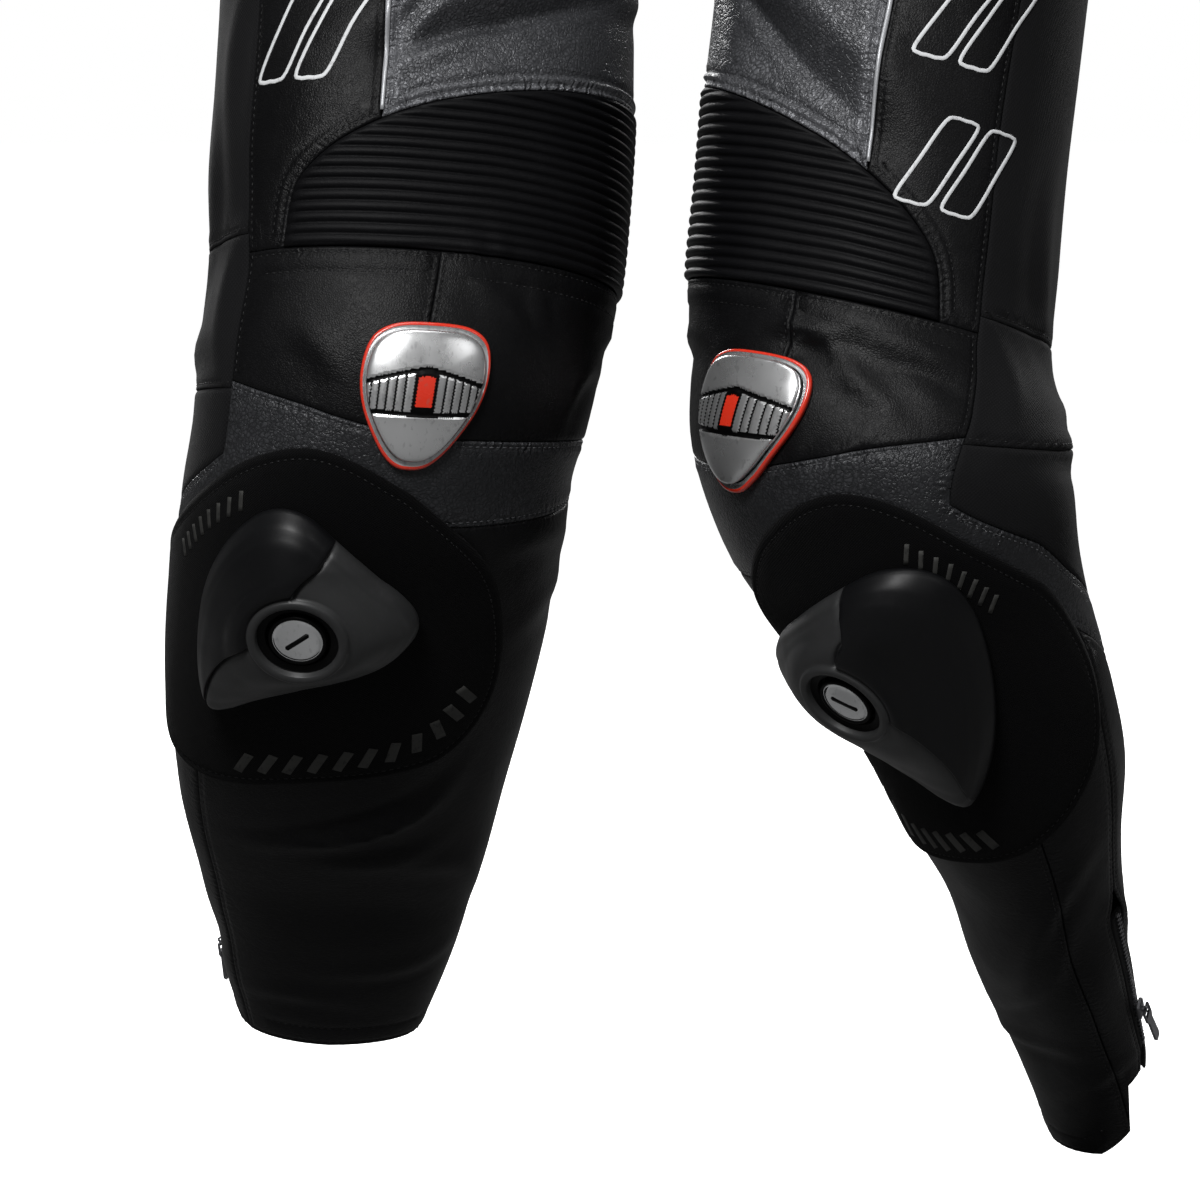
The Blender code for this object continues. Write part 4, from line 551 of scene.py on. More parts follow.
class Torso(Surface):
    """The body above the waist: angle round it, 0 in front and + to the left, level up it."""

    creases = TORSO_CREASES

    def place(self, a: Array, b: Array) -> Array:
        """Section point at a level that runs over the shoulders to the neck.

        Args:
            a: angles in degrees.
            b: levels in millimetres.

        Returns:
            Points in millimetres above the lower hem.
        """
        col = {name: table_curve(TORSO, k, b) for k, name in enumerate(TORSO_COLUMNS)}
        turn = np.radians(a)
        cosine, sine = np.cos(turn), np.sin(turn)
        depth = np.where(cosine > 0, col["front"], col["back"]) * rounded(cosine)
        return np.stack([col["half_width"] * rounded(sine), col["y"] - depth, col["z"]], axis=-1)

    def measure(self, a: Array, b: Array) -> tuple[Array, Array]:
        """Angles folded to one side, and millimetres for a degree."""
        turn = np.abs((np.asarray(a, float) + 180.0) % 360.0 - 180.0)
        return turn, np.full(np.shape(a), 2.7)


class Hip(Surface):
    """Half of the seat: angle 0 to 180 from front to back of the waist, level down from it."""

    creases = HIP_CREASES
    rise_angle, lining_side = 0.1, -1.4

    def __init__(self, leg: Leg, torso: Torso) -> None:
        """Join one leg to the torso."""
        self.leg, self.torso, self.side, self.turn = leg, torso, leg.side, -leg.side

    def place(self, a: Array, b: Array) -> Array:
        """Smooth run from the torso at the waist into the leg, closing under the crotch.

        Args:
            a: angles in degrees.
            b: levels in millimetres.

        Returns:
            Points in millimetres above the lower hem.
        """
        t = (b / HIP_DEPTH)[..., None]
        top, edge = np.zeros_like(a), np.full_like(a, LEG_TOP)
        waist = self.torso.place(a * self.side, top)
        below = self.torso.place(a * self.side, top + 4.0)
        turn = a * 2.0 - 90.0
        ring, thigh = self.leg.place(turn, edge), self.leg.place(turn, edge + 4.0)
        start = (waist - below) / 4.0 * HIP_DEPTH * WAIST_PULL
        hold = CROTCH_PULL + (THIGH_PULL - CROTCH_PULL) * np.sin(np.radians(a)) ** 4
        end = (thigh - ring) / 4.0 * HIP_DEPTH * hold[..., None]
        point = (waist * (2 * t**3 - 3 * t**2 + 1) + start * (t**3 - 2 * t**2 + t)
                 + ring * (3 * t**2 - 2 * t**3) + end * (t**3 - t**2))
        full = 1 + HIP_FULLNESS * np.sin(math.pi * np.clip(t, 0, 1)) ** 2
        point = point * np.concatenate([full, full, np.ones_like(full)], axis=-1)
        aside = np.maximum(point[..., 0] * self.side, RISE_CLEARANCE) * self.side
        return np.concatenate([aside[..., None], point[..., 1:]], axis=-1)

    def worn(self, a: Array, b: Array, lift: Array | float) -> Array:
        """Worn points; those inside the rise seam reach the middle plane.

        Args:
            a: angles in degrees.
            b: levels in millimetres.
            lift: millimetres out along the normals.

        Returns:
            Points in millimetres from the suit's origin.
        """
        point = super().worn(a, b, lift)
        rise = np.minimum(a, 180.0 - np.asarray(a, float)) < self.rise_angle
        seam = rise & (np.asarray(lift) < self.lining_side)
        point[..., 0] = np.where(seam, 0.0, point[..., 0])
        return point

    def measure(self, a: Array, b: Array) -> tuple[Array, Array]:
        """Angles, and millimetres for a degree."""
        return np.asarray(a, float), np.full(np.shape(a), 2.8)

    def hush(self, a: Array, b: Array) -> Array:
        """Creases fade at the rise and at the crotch, where both halves meet."""
        near = np.minimum(np.asarray(a, float), 180.0 - np.asarray(a, float))
        return np.clip(near / 8.0, 0, 1) * np.clip((HIP_DEPTH - np.asarray(b, float)) / 20.0, 0, 1)


class Sleeve(Surface):
    """A sleeve: angle 0 under the arm, 90 in front, 180 on top; reach from the armhole."""

    overlap = 0.9
    creases = ARM_CREASES

    def __init__(self, torso: Torso, side: float) -> None:
        """Hang a sleeve on the torso; side is +1 for the left one."""
        self.torso, self.side, self.turn = torso, side, -side

    def lifted(self, a: Array, b: Array, lift: Array | float) -> Array:
        """Points moved out; a sleeve's leather lies outside its surface."""
        return super().lifted(a, b, np.asarray(lift, float) + LEATHER)

    def ring(self, a: Array, b: Array) -> Array:
        """Point of the round section at a reach down the arm.

        Args:
            a: angles in degrees.
            b: reaches in millimetres.

        Returns:
            Points in millimetres above the lower hem.
        """
        col, ahead, behind = ({name: table_curve(ARM, k, b + move)
                               for k, name in enumerate(ARM_COLUMNS)} for move in (0.0, 2.0, -2.0))
        run = unit(np.stack([ahead[n] - behind[n] for n in ("x", "y", "z")], axis=-1))
        across = unit(np.array((1.0, 0.0, 0.0)) - run * run[..., :1])
        back = np.cross(run, across) * -1.0
        turn = np.radians(a)
        middle = np.stack([col["x"], col["y"], col["z"]], axis=-1)
        return (middle - across * (col["half_width"] * np.cos(turn))[..., None]
                - back * (col["half_depth"] * np.sin(turn))[..., None])

    def place(self, a: Array, b: Array) -> Array:
        """Armhole, then a rounded shoulder cap, then the arm's round sections.

        Args:
            a: angles in degrees.
            b: reaches in millimetres.

        Returns:
            Points in millimetres above the lower hem.
        """
        first = ARM[0][0]
        hole = self.torso.place(*armhole_point(a))
        clear = UNDERARM_CLEARANCE * np.maximum(np.cos(np.radians(a)), 0.0) ** 3
        hole = hole + clear[..., None] * np.array((1.0, 0.0, 0.0))
        ring = self.ring(a, np.maximum(b, first))
        t = np.clip(b / first, -0.1, 1.0)[..., None]
        corner = np.stack([hole[..., 0] * 0.35 + ring[..., 0] * 0.65,
                           (hole[..., 1] + ring[..., 1]) / 2,
                           hole[..., 2] * 0.80 + ring[..., 2] * 0.20], axis=-1)
        point = hole * (1 - t) ** 2 + corner * 2 * t * (1 - t) + ring * t**2
        return point * np.array((self.side, 1.0, 1.0))

    def measure(self, a: Array, b: Array) -> tuple[Array, Array]:
        """Angles, and millimetres for a degree."""
        return np.asarray(a, float), np.interp(np.asarray(b, float), (0, 560), (1.35, 0.66))

    def hush(self, a: Array, b: Array) -> Array:
        """Creases fade at the armhole."""
        return np.clip(np.asarray(b, float) / 25.0, 0, 1)


class Collar(Surface):
    """A stand collar: angle round the neck, level up from the neckline."""

    def __init__(self, torso: Torso) -> None:
        """Stand the collar on the torso's neckline."""
        self.torso = torso

    def place(self, a: Array, b: Array) -> Array:
        """Neckline point raised, leaning in a little and forwards.

        Args:
            a: angles in degrees.
            b: levels in millimetres.

        Returns:
            Points in millimetres above the lower hem.
        """
        base = self.torso.place(a, neckline(a))
        rise = b[..., None] * np.array((0.0, -0.16, 1.0))
        inward = base * np.array((1.0, 1.0, 0.0)) - np.array((0.0, 20.0, 0.0))
        return base + rise - inward * (b * 0.0022)[..., None] * np.array((1.0, 1.0, 0.0))


def armhole_point(turn: Array) -> tuple[Array, Array]:
    """Torso coordinates of the armhole at an angle round it, 0 under the arm, 90 in front.

    Args:
        turn: angles round the armhole in degrees.

    Returns:
        Angles and levels on the torso.
    """
    turn = np.radians(turn)
    return (SIDE_SEAM - ARMHOLE_HALF_ANGLE * np.sin(turn),
            ARMHOLE_LEVEL - ARMHOLE_HALF_HEIGHT * np.cos(turn))


def neckline(angle: Array) -> Array:
    """Level of the neckline at an angle round the neck."""
    return NECK_FRONT + (NECK_BACK - NECK_FRONT) * (1 - np.cos(np.radians(angle))) / 2


def soft_line(corners: Sequence[Point], steps: int = 8, closed: bool = False) -> list[Point]:
    """Round a polyline off with a smooth curve through its corners.

    Args:
        corners: the points to pass.
        steps: new points for each stretch.
        closed: whether the line returns to its start.

    Returns:
        The finer line, with its last corner when it is open.
    """
    grid = np.array(corners, float)
    count = len(grid)
    last = count if closed else count - 1
    result: list[Point] = []
    for k in range(last):
        before = grid[(k - 1) % count] if closed or k else 2 * grid[0] - grid[1]
        after = grid[(k + 2) % count] if closed or k + 2 < count else 2 * grid[-1] - grid[-2]
        start, end = grid[k], grid[(k + 1) % count]
        for t in np.arange(steps) / steps:
            point = 0.5 * (2 * start + (end - before) * t
                           + (2 * before - 5 * start + 4 * end - after) * t**2
                           + (3 * start - before - 3 * end + after) * t**3)
            result.append((float(point[0]), float(point[1])))
    return result if closed else result + [(float(grid[-1][0]), float(grid[-1][1]))]


ARCH_LINE = soft_line(ARCH, 6)


def arch_level(angle: float) -> float:
    """Level of the accordion's arched edge at an angle."""
    line = np.array(ARCH_LINE)
    return float(np.interp(angle, line[:, 0], line[:, 1]))


def arch_between(low: float, high: float) -> list[Point]:
    """The arch's own points strictly between two angles."""
    return [point for point in ARCH_LINE if low < point[0] < high]


# ---------------------------------------------------------------- cutting and sewing
@dataclass(frozen=True)
class Side:
    """One side of a cut piece: its points up to the next side's first, and its stitch rows."""

    points: Sequence[Point]
    rows: tuple[float, ...] = ()


@dataclass
class Outline:
    """A piece's fine outline on its surface, with the side and the run of every point."""

    at: Array
    side: Array
    run: Array
    place: Array


EDGE_RINGS = (0.9, 1.8, 2.7, 3.8, 5.2)
ROW_RINGS = (-1.2, 0.0, 1.2)
EDGE_ROLL = 0.95
ROLL_WIDTH, ROLL_POWER = 0.95, 1.4
ROW_DEPTH, ROW_WIDTH, ROW_PUFF = 0.42, 0.85, 0.30
# Distance from a stitch row, and width, of the puff on each side of it.
PUFF_INNER, PUFF_OUTER = (2.3, 1.5), (2.0, 1.1)


def trace(surface: Surface, sides: Sequence[Side], step: float) -> Outline:
    """Add points along a piece's sides so that none are further apart than a step.

    Args:
        surface: what the piece is cut from.
        sides: the piece's sides in order.
        step: the greatest distance in millimetres.

    Returns:
        The fine outline.
    """
    corners = [point for side in sides for point in side.points]
    owner = [k for k, side in enumerate(sides) for _ in side.points]
    at, side_of = [], []
    grid = np.array(corners, float)
    for k, (start, end) in enumerate(zip(grid, np.roll(grid, -1, axis=0))):
        length = np.linalg.norm(surface.points(end[0], end[1]) - surface.points(start[0], start[1]))
        if length < 1e-6:
            continue
        count = max(1, math.ceil(length / step))
        at += [start + (end - start) * n / count for n in range(count)]
        side_of += [owner[k]] * count
    line = np.array(at)
    place = surface.points(line[:, 0], line[:, 1])
    hops = np.linalg.norm(np.roll(place, -1, axis=0) - place, axis=1)
    return Outline(line, np.array(side_of), np.concatenate([[0.0], np.cumsum(hops)[:-1]]), place)


def signed_area(outline: Array) -> float:
    """Area of a flat outline, positive when it runs anticlockwise."""
    x, y = outline[:, 0], outline[:, 1]
    return float(np.sum(x * np.roll(y, -1) - np.roll(x, -1) * y)) / 2


def drawn_in(surface: Surface, outline: Array, distance: float) -> Array:
    """Move an outline inwards by a real distance measured on the surface.

    Args:
        surface: what the outline lies on.
        outline: surface coordinates in order.
        distance: millimetres inwards, or outwards where it is below 0.

    Returns:
        The moved outline.
    """
    along_a, along_b = surface.tangents(outline[:, 0], outline[:, 1])
    before, after = outline - np.roll(outline, 1, axis=0), np.roll(outline, -1, axis=0) - outline
    side = 1.0 if signed_area(outline) > 0 else -1.0
    up = unit(np.cross(along_a, along_b))
    inward = []
    for edge in (before, after):
        run = unit(along_a * edge[:, :1] + along_b * edge[:, 1:])
        inward.append(np.cross(up, run) * side)
    cosine = np.sum(inward[0] * inward[1], axis=-1, keepdims=True)
    move = (inward[0] + inward[1]) * distance / np.maximum(1 + cosine, 0.25)
    aa, bb = np.sum(along_a**2, axis=-1), np.sum(along_b**2, axis=-1)
    ab, am, bm = (np.sum(p * q, axis=-1) for p, q in
                  ((along_a, along_b), (along_a, move), (along_b, move)))
    spread = aa * bb - ab**2
    return outline + np.stack([(am * bb - bm * ab) / spread, (bm * aa - am * ab) / spread], axis=-1)


def nearest_edge(outline: Outline, place: Array) -> tuple[Array, Array, Array]:
    """Distance to an outline, the run at its nearest point and the side it lies on.

    Args:
        outline: the fine outline.
        place: points in millimetres.

    Returns:
        Distances, runs and side numbers.
    """
    tree = KDTree(len(outline.place))
    for k, point in enumerate(outline.place):
        tree.insert(point, k)
    tree.balance()
    near = np.array([tree.find(point)[1] for point in place])
    best = np.full(len(place), np.inf)
    run, side = np.zeros(len(place)), np.zeros(len(place), dtype=int)
    count = len(outline.place)
    for step in (-1, 0):
        start = (near + step) % count
        a, b = outline.place[start], outline.place[(start + 1) % count]
        edge = b - a
        share = np.clip(np.sum((place - a) * edge, axis=1) / np.sum(edge * edge, axis=1), 0, 1)
        gap = np.linalg.norm(a + edge * share[:, None] - place, axis=1)
        closer = gap < best
        best = np.where(closer, gap, best)
        run = np.where(closer, outline.run[start] + share * np.linalg.norm(edge, axis=1), run)
        side = np.where(closer, outline.side[start], side)
    return best, run, side


@dataclass
class Cloth:
    """A cut piece's fine triangles in surface coordinates, with what lies near its edge."""

    at: Array
    faces: list[tuple[int, int, int]]
    edge_count: int
    edge: Array
    run: Array
    side: Array
    rows: list[tuple[float, ...]]
    seam: Array

    def under(self) -> Array:
        """The points with those of the rim moved out until the seams are closed.

        Returns:
            Surface coordinates of every point.
        """
        at = self.at.copy()
        at[:self.edge_count] = self.seam
        return at


def edge_layers(surface: Surface, sides: Sequence[Side], outline: Outline, rim: Array,
                scale: Array, rings: Sequence[float]) -> list[Array]:
    """Lines of points at set distances from a piece's edge, and beside its stitch rows.

    Args:
        surface: what the piece is cut from.
        sides: its sides in order.
        outline: its fine outline.
        rim: its rim, scaled to about real size.
        scale: the scale of each coordinate.
        rings: distances from the whole edge.

    Returns:
        Surface coordinates, one array for each line.
    """
    wanted = [(ring, None) for ring in rings]
    for k, side in enumerate(sides):
        wanted += [(row + more, k) for row in side.rows for more in ROW_RINGS
                   if row + more > rings[-1] + 0.5]
    layers = []
    for ring, only in wanted:
        line = drawn_in(surface, outline.at, ring)
        line = line if only is None else line[outline.side == only]
        found = nearest_edge(outline, surface.points(line[:, 0], line[:, 1]))[0]
        inside = signed_distance(line * scale, rim) > 0.3 * min(ring, 1.0)
        layers.append(line[(np.abs(found - ring) < 0.12 * ring + 0.05) & inside])
    return layers


def triangulated(at: Array, scale: Array, rim_count: int) -> tuple[Array, list]:
    """Join points to triangles inside their rim.

    Args:
        at: surface coordinates, those of the rim first.
        scale: the scale of each coordinate.
        rim_count: how many points the rim has.

    Returns:
        The points that are used, those of the rim first, and the triangles.
    """
    ring_order = list(range(rim_count))
    if signed_area(at[:rim_count] * scale) < 0:
        ring_order.reverse()
    vectors = [Vector(point) for point in at * scale]
    _, _, faces, origin, _, _ = delaunay_2d_cdt(vectors, [], [ring_order], 1, 1e-5)
    first = [source[0] if source else -1 for source in origin]
    if min(first) < 0:
        raise ValueError("an outline crosses itself")
    order = {source: k for k, source in enumerate(first)}
    rim_now = [order.get(k) for k in range(rim_count)]
    if None in rim_now:
        raise ValueError("an outline touches itself")
    on_rim = set(rim_now)
    inner = [k for k in range(len(first)) if k not in on_rim]
    renumber = {old: new for new, old in enumerate(rim_now + inner)}
    return (at[np.array(first)[rim_now + inner]],
            [tuple(renumber[k] for k in face) for face in faces])


def lay_out(surface: Surface, sides: Sequence[Side], spacing: float, gap: float,
            rings: Sequence[float] = EDGE_RINGS) -> Cloth:
    """Cut a piece out of its surface as fine triangles.

    Args:
        surface: what the piece is cut from.
        sides: its sides in order.
        spacing: distance between its inner points in millimetres.
        gap: half the space left to its neighbours.
        rings: distances from the edge that get a line of points of their own.

    Returns:
        The piece's triangles.
    """
    outline = trace(surface, sides, spacing)
    rim = drawn_in(surface, outline.at, gap)
    along_a, along_b = surface.tangents(rim[:, 0], rim[:, 1])
    scale = np.array([np.median(np.linalg.norm(run, axis=-1)) for run in (along_a, along_b)])
    layers = [rim] + edge_layers(surface, sides, outline, rim * scale, scale, rings)
    reach = np.array([max((rings[-1] if rings else 0.0,) + tuple(r + ROW_RINGS[-1] for r in s.rows))
                      for s in sides])
    pitch = np.array((spacing, spacing * 0.87)) / scale
    low, high = np.floor(rim.min(axis=0) / pitch), np.ceil(rim.max(axis=0) / pitch)
    i, j = np.meshgrid(np.arange(low[0], high[0] + 1), np.arange(low[1], high[1] + 1))
    lattice = np.stack([(i + 0.5 * (j % 2)) * pitch[0], j * pitch[1]], axis=-1).reshape(-1, 2)
    lattice = lattice[signed_distance(lattice * scale, rim * scale) > 0.4 * spacing]
    if len(lattice):
        found, _, side = nearest_edge(outline, surface.points(lattice[:, 0], lattice[:, 1]))
        lattice = lattice[found > reach[side] + 0.55 * spacing]
    at, triangles = triangulated(np.vstack(layers + [lattice]), scale, len(rim))
    found = nearest_edge(outline, surface.points(at[:, 0], at[:, 1]))
    return Cloth(at, triangles, len(rim), found[0], found[1], found[2],
                 [s.rows for s in sides], drawn_in(surface, outline.at, -surface.overlap))


def edge_lift(cloth: Cloth, roll: float = EDGE_ROLL, swell: float = 1.0) -> Array:
    """Roll a piece's edge in, and draw its stitch rows down with a puff beside them.

    Args:
        cloth: the cut piece.
        roll: how far its edge sinks in millimetres.
        swell: factor on the relief of its stitch rows.

    Returns:
        Lift of every point in millimetres.
    """
    lift = -roll * np.exp(-((cloth.edge / ROLL_WIDTH) ** ROLL_POWER))
    for k, rows in enumerate(cloth.rows):
        mine = cloth.side == k
        for row in rows:
            groove = -ROW_DEPTH * np.exp(-((cloth.edge - row) / ROW_WIDTH) ** 2)
            puff = ROW_PUFF * (
                np.exp(-((cloth.edge - row - PUFF_INNER[0]) / PUFF_INNER[1]) ** 2)
                + np.exp(-((cloth.edge - row + PUFF_OUTER[0]) / PUFF_OUTER[1]) ** 2))
            lift = lift + np.where(mine, (groove + puff) * swell, 0.0)
    return lift


def smooth_mesh(name: str, points: Array, faces: Sequence[Sequence[int]]) -> bpy.types.Mesh:
    """Make a smooth-shaded mesh from points in millimetres.

    Args:
        name: the mesh's name.
        points: points in millimetres.
        faces: its faces.

    Returns:
        The mesh.
    """
    mesh = bpy.data.meshes.new(name)
    mesh.from_pydata((np.asarray(points) * MM).tolist(), [], [tuple(face) for face in faces])
    mesh.validate()
    mesh.shade_smooth()
    return mesh


def store(mesh: bpy.types.Mesh, name: str, values: Array) -> None:
    """Store a number or a vector for every point of a mesh.

    Args:
        mesh: the mesh.
        name: the attribute's name.
        values: one row for each point.
    """
    kind, field_name = ("FLOAT", "value") if values.ndim == 1 else ("FLOAT_VECTOR", "vector")
    attribute = mesh.attributes.new(name, kind, "POINT")
    attribute.data.foreach_set(field_name, values.astype(np.float32).ravel())


def lay_flat(mesh: bpy.types.Mesh, flat: Array) -> None:
    """Keep every point's place on the flat cloth as the layer that a weave follows.

    Args:
        mesh: the mesh.
        flat: flat places in metres, one row for each point.
    """
    layer = mesh.uv_layers.new(name="cut")
    corner = np.zeros(len(mesh.loops), dtype=np.int32)
    mesh.loops.foreach_get("vertex_index", corner)
    layer.uv.foreach_set("vector", flat[corner].ravel())


def paint_faces(mesh: bpy.types.Mesh, index: Sequence[int]) -> None:
    """Give every face the number of its material."""
    mesh.polygons.foreach_set("material_index", np.array(index, dtype=np.int32))


def wall(name: str, cloth: Cloth, surface: Surface, outer: Array, inner: Array) -> bpy.types.Mesh:
    """Close a piece's outer and inner sheets into one thin wall.

    Args:
        name: the mesh's name.
        cloth: the piece's triangles.
        surface: the surface that they lie on.
        outer: outer points in millimetres.
        inner: inner points in millimetres.

    Returns:
        The closed wall, with its cut, edge and run attributes.
    """
    count = len(outer)
    a, b, c = (outer[[face[k] for face in cloth.faces]] for k in range(3))
    middle = cloth.at[[face[0] for face in cloth.faces]]
    facing = np.sum(np.cross(b - a, c - a) * surface.normals(middle[:, 0], middle[:, 1]), axis=1)
    tops = cloth.faces if np.sum(facing) > 0 else [face[::-1] for face in cloth.faces]
    lows = [tuple(k + count for k in reversed(face)) for face in tops]
    loop = list(range(cloth.edge_count))
    edges = {(face[k], face[(k + 1) % 3]) for face in tops for k in range(3)}
    if (loop[0], loop[1]) in edges:
        rims = [(m, k, k + count, m + count) for k, m in zip(loop, loop[1:] + loop[:1])]
    else:
        rims = [(k, m, m + count, k + count) for k, m in zip(loop, loop[1:] + loop[:1])]
    mesh = smooth_mesh(name, np.vstack([outer, inner]), list(tops) + lows + rims)
    along_a, along_b = surface.tangents(*cloth.at[:cloth.edge_count].T)
    scale = [float(np.median(np.linalg.norm(run, axis=-1))) for run in (along_a, along_b)]
    lay_flat(mesh, np.tile(cloth.at * scale * MM, (2, 1)))
    for key, values in (("edge", cloth.edge), ("run", cloth.run)):
        store(mesh, key, np.tile(values, 2))
    return mesh


# ---------------------------------------------------------------- shading tools
class Graph:
    """A node tree that is wired up in a few words."""

    def __init__(self, tree: bpy.types.NodeTree) -> None:
        """Take hold of a tree."""
        self.tree = tree

    def add(self, kind: str, inputs: dict | None = None, **settings: object) -> bpy.types.Node:
        """Add a node.

        Args:
            kind: its type name.
            inputs: a value, or an output socket to link, by the input's name or number.
            settings: its own properties.

        Returns:
            The node.
        """
        node = self.tree.nodes.new(kind)
        for key, value in settings.items():
            setattr(node, key, value)
        self.feed(node, inputs or {})
        return node

    def feed(self, node: bpy.types.Node, inputs: dict) -> None:
        """Set or link a node's inputs by name or number.

        Args:
            node: the node.
            inputs: a value, or an output socket to link, by the input's name or number.
        """
        for key, value in inputs.items():
            socket = node.inputs[key]
            if isinstance(value, bpy.types.NodeSocket):
                self.tree.links.new(value, socket)
            else:
                socket.default_value = value

    def effect(self, tree: bpy.types.NodeTree, inputs: dict) -> bpy.types.Node:
        """Use one of the shared effects."""
        return self.add("ShaderNodeGroup", inputs, node_tree=tree)

    def bump(self, height: object, depth: float, inputs: dict | None = None
             ) -> bpy.types.NodeSocket:
        """Normal of a Bump node whose height of one is a depth in millimetres.

        Args:
            height: the height's socket.
            depth: millimetres for a height of one.
            inputs: what else the node is given.

        Returns:
            The normal's socket.
        """
        node = self.add("ShaderNodeBump", {"Strength": 1.0, "Distance": depth * MM,
                                           "Height": height, **(inputs or {})})
        return node.outputs[0]

    def math(self, operation: str, *values: object, clamp: bool = False) -> bpy.types.NodeSocket:
        """Result of a Math node.

        Args:
            operation: what the node does.
            values: its operands.
            clamp: whether the result is kept from 0 to 1.

        Returns:
            The result's socket.
        """
        node = self.add("ShaderNodeMath", dict(enumerate(values)), operation=operation,
                        use_clamp=clamp)
        return node.outputs[0]

    def ramp(self, value: object, low: float, high: float, to_low: float = 0.0,
             to_high: float = 1.0) -> bpy.types.NodeSocket:
        """Result of a clamped Map Range node.

        Args:
            value: what is mapped.
            low: the value that gives to_low.
            high: the value that gives to_high.
            to_low: the result at low.
            to_high: the result at high.

        Returns:
            The result's socket.
        """
        node = self.add("ShaderNodeMapRange", {"Value": value, "From Min": low, "From Max": high,
                                               "To Min": to_low, "To Max": to_high})
        return node.outputs["Result"]

    def blend(self, share: object, first: object, second: object) -> bpy.types.NodeSocket:
        """Result of a colour Mix node."""
        node = self.add("ShaderNodeMix", {0: share, 6: first, 7: second}, data_type="RGBA")
        return node.outputs[2]

    def noise(self, where: object, scale: float, detail: float = 3.0,
              roughness: float = 0.5) -> bpy.types.NodeSocket:
        """Value of a Noise texture.

        Args:
            where: the place's socket.
            scale: how fine it is.
            detail: its octaves.
            roughness: how strong the finer ones are.

        Returns:
            The value's socket.
        """
        node = self.add("ShaderNodeTexNoise", {"Vector": where, "Scale": scale, "Detail": detail,
                                               "Roughness": roughness})
        return node.outputs["Fac"]

    def even_line(self, given: bpy.types.Node) -> tuple[bpy.types.NodeSocket, ...]:
        """Even points on the incoming line; the way out, the tangent and the turn at each.

        Args:
            given: the tree's input node, with Geometry and Pitch.

        Returns:
            Sockets of the points, the way out, the tangent and the turn.
        """
        line = self.add("GeometryNodeMeshToCurve", {"Mesh": given.outputs["Geometry"]})
        even = self.add("GeometryNodeResampleCurve", {"Curve": line.outputs[0],
                                                      "Length": given.outputs["Pitch"]},
                        mode="LENGTH")
        outward = self.add("GeometryNodeInputNamedAttribute", {"Name": "outward"},
                           data_type="FLOAT_VECTOR")
        tangent = self.add("GeometryNodeInputTangent")
        turn = self.add("FunctionNodeAxesToRotation", {0: tangent.outputs[0],
                                                       1: outward.outputs[0]},
                        primary_axis="X", secondary_axis="Z")
        return tuple(node.outputs[0] for node in (even, outward, tangent, turn))

    def put_out(self, geometry: bpy.types.NodeSocket, material: bpy.types.NodeSocket) -> None:
        """End a geometry tree with plain geometry in its material.

        Args:
            geometry: what the tree has made.
            material: the material's socket.
        """
        real = self.add("GeometryNodeRealizeInstances", {0: geometry})
        dyed = self.add("GeometryNodeSetMaterial", {"Geometry": real.outputs[0],
                                                    "Material": material})
        self.add("NodeGroupOutput", {0: dyed.outputs[0]})


def geometry_group(name: str, inputs: dict[str, float | None]
                   ) -> tuple[bpy.types.NodeTree, Graph, bpy.types.Node]:
    """Start a geometry node tree with named inputs.

    Args:
        name: the tree's name.
        inputs: first value by name: a float, a whole number, or None for a material.

    Returns:
        The tree, its graph and its input node.
    """
    tree = bpy.data.node_groups.new(name, "GeometryNodeTree")
    face = tree.interface
    face.new_socket(name="Geometry", in_out="INPUT", socket_type="NodeSocketGeometry")
    for key, value in inputs.items():
        kind = {float: "NodeSocketFloat", int: "NodeSocketInt"}.get(type(value),
                                                                    "NodeSocketMaterial")
        socket = face.new_socket(name=key, in_out="INPUT", socket_type=kind)
        if value is not None:
            socket.default_value = value
    face.new_socket(name="Geometry", in_out="OUTPUT", socket_type="NodeSocketGeometry")
    graph = Graph(tree)
    return tree, graph, graph.add("NodeGroupInput")


def shader_group(name: str, inputs: dict[str, float | None],
                 outputs: Sequence[str]) -> tuple[bpy.types.NodeTree, Graph, bpy.types.Node]:
    """Start a shader node group with named sockets.

    Args:
        name: the group's name.
        inputs: first value by name, or None for a vector.
        outputs: names of its float outputs.

    Returns:
        The group, its graph and its input node.
    """
    tree = bpy.data.node_groups.new(name, "ShaderNodeTree")
    for key, value in inputs.items():
        kind = "NodeSocketVector" if value is None else "NodeSocketFloat"
        socket = tree.interface.new_socket(name=key, in_out="INPUT", socket_type=kind)
        if value is not None:
            socket.default_value = value
    for key in outputs:
        tree.interface.new_socket(name=key, in_out="OUTPUT", socket_type="NodeSocketFloat")
    graph = Graph(tree)
    return tree, graph, graph.add("NodeGroupInput")


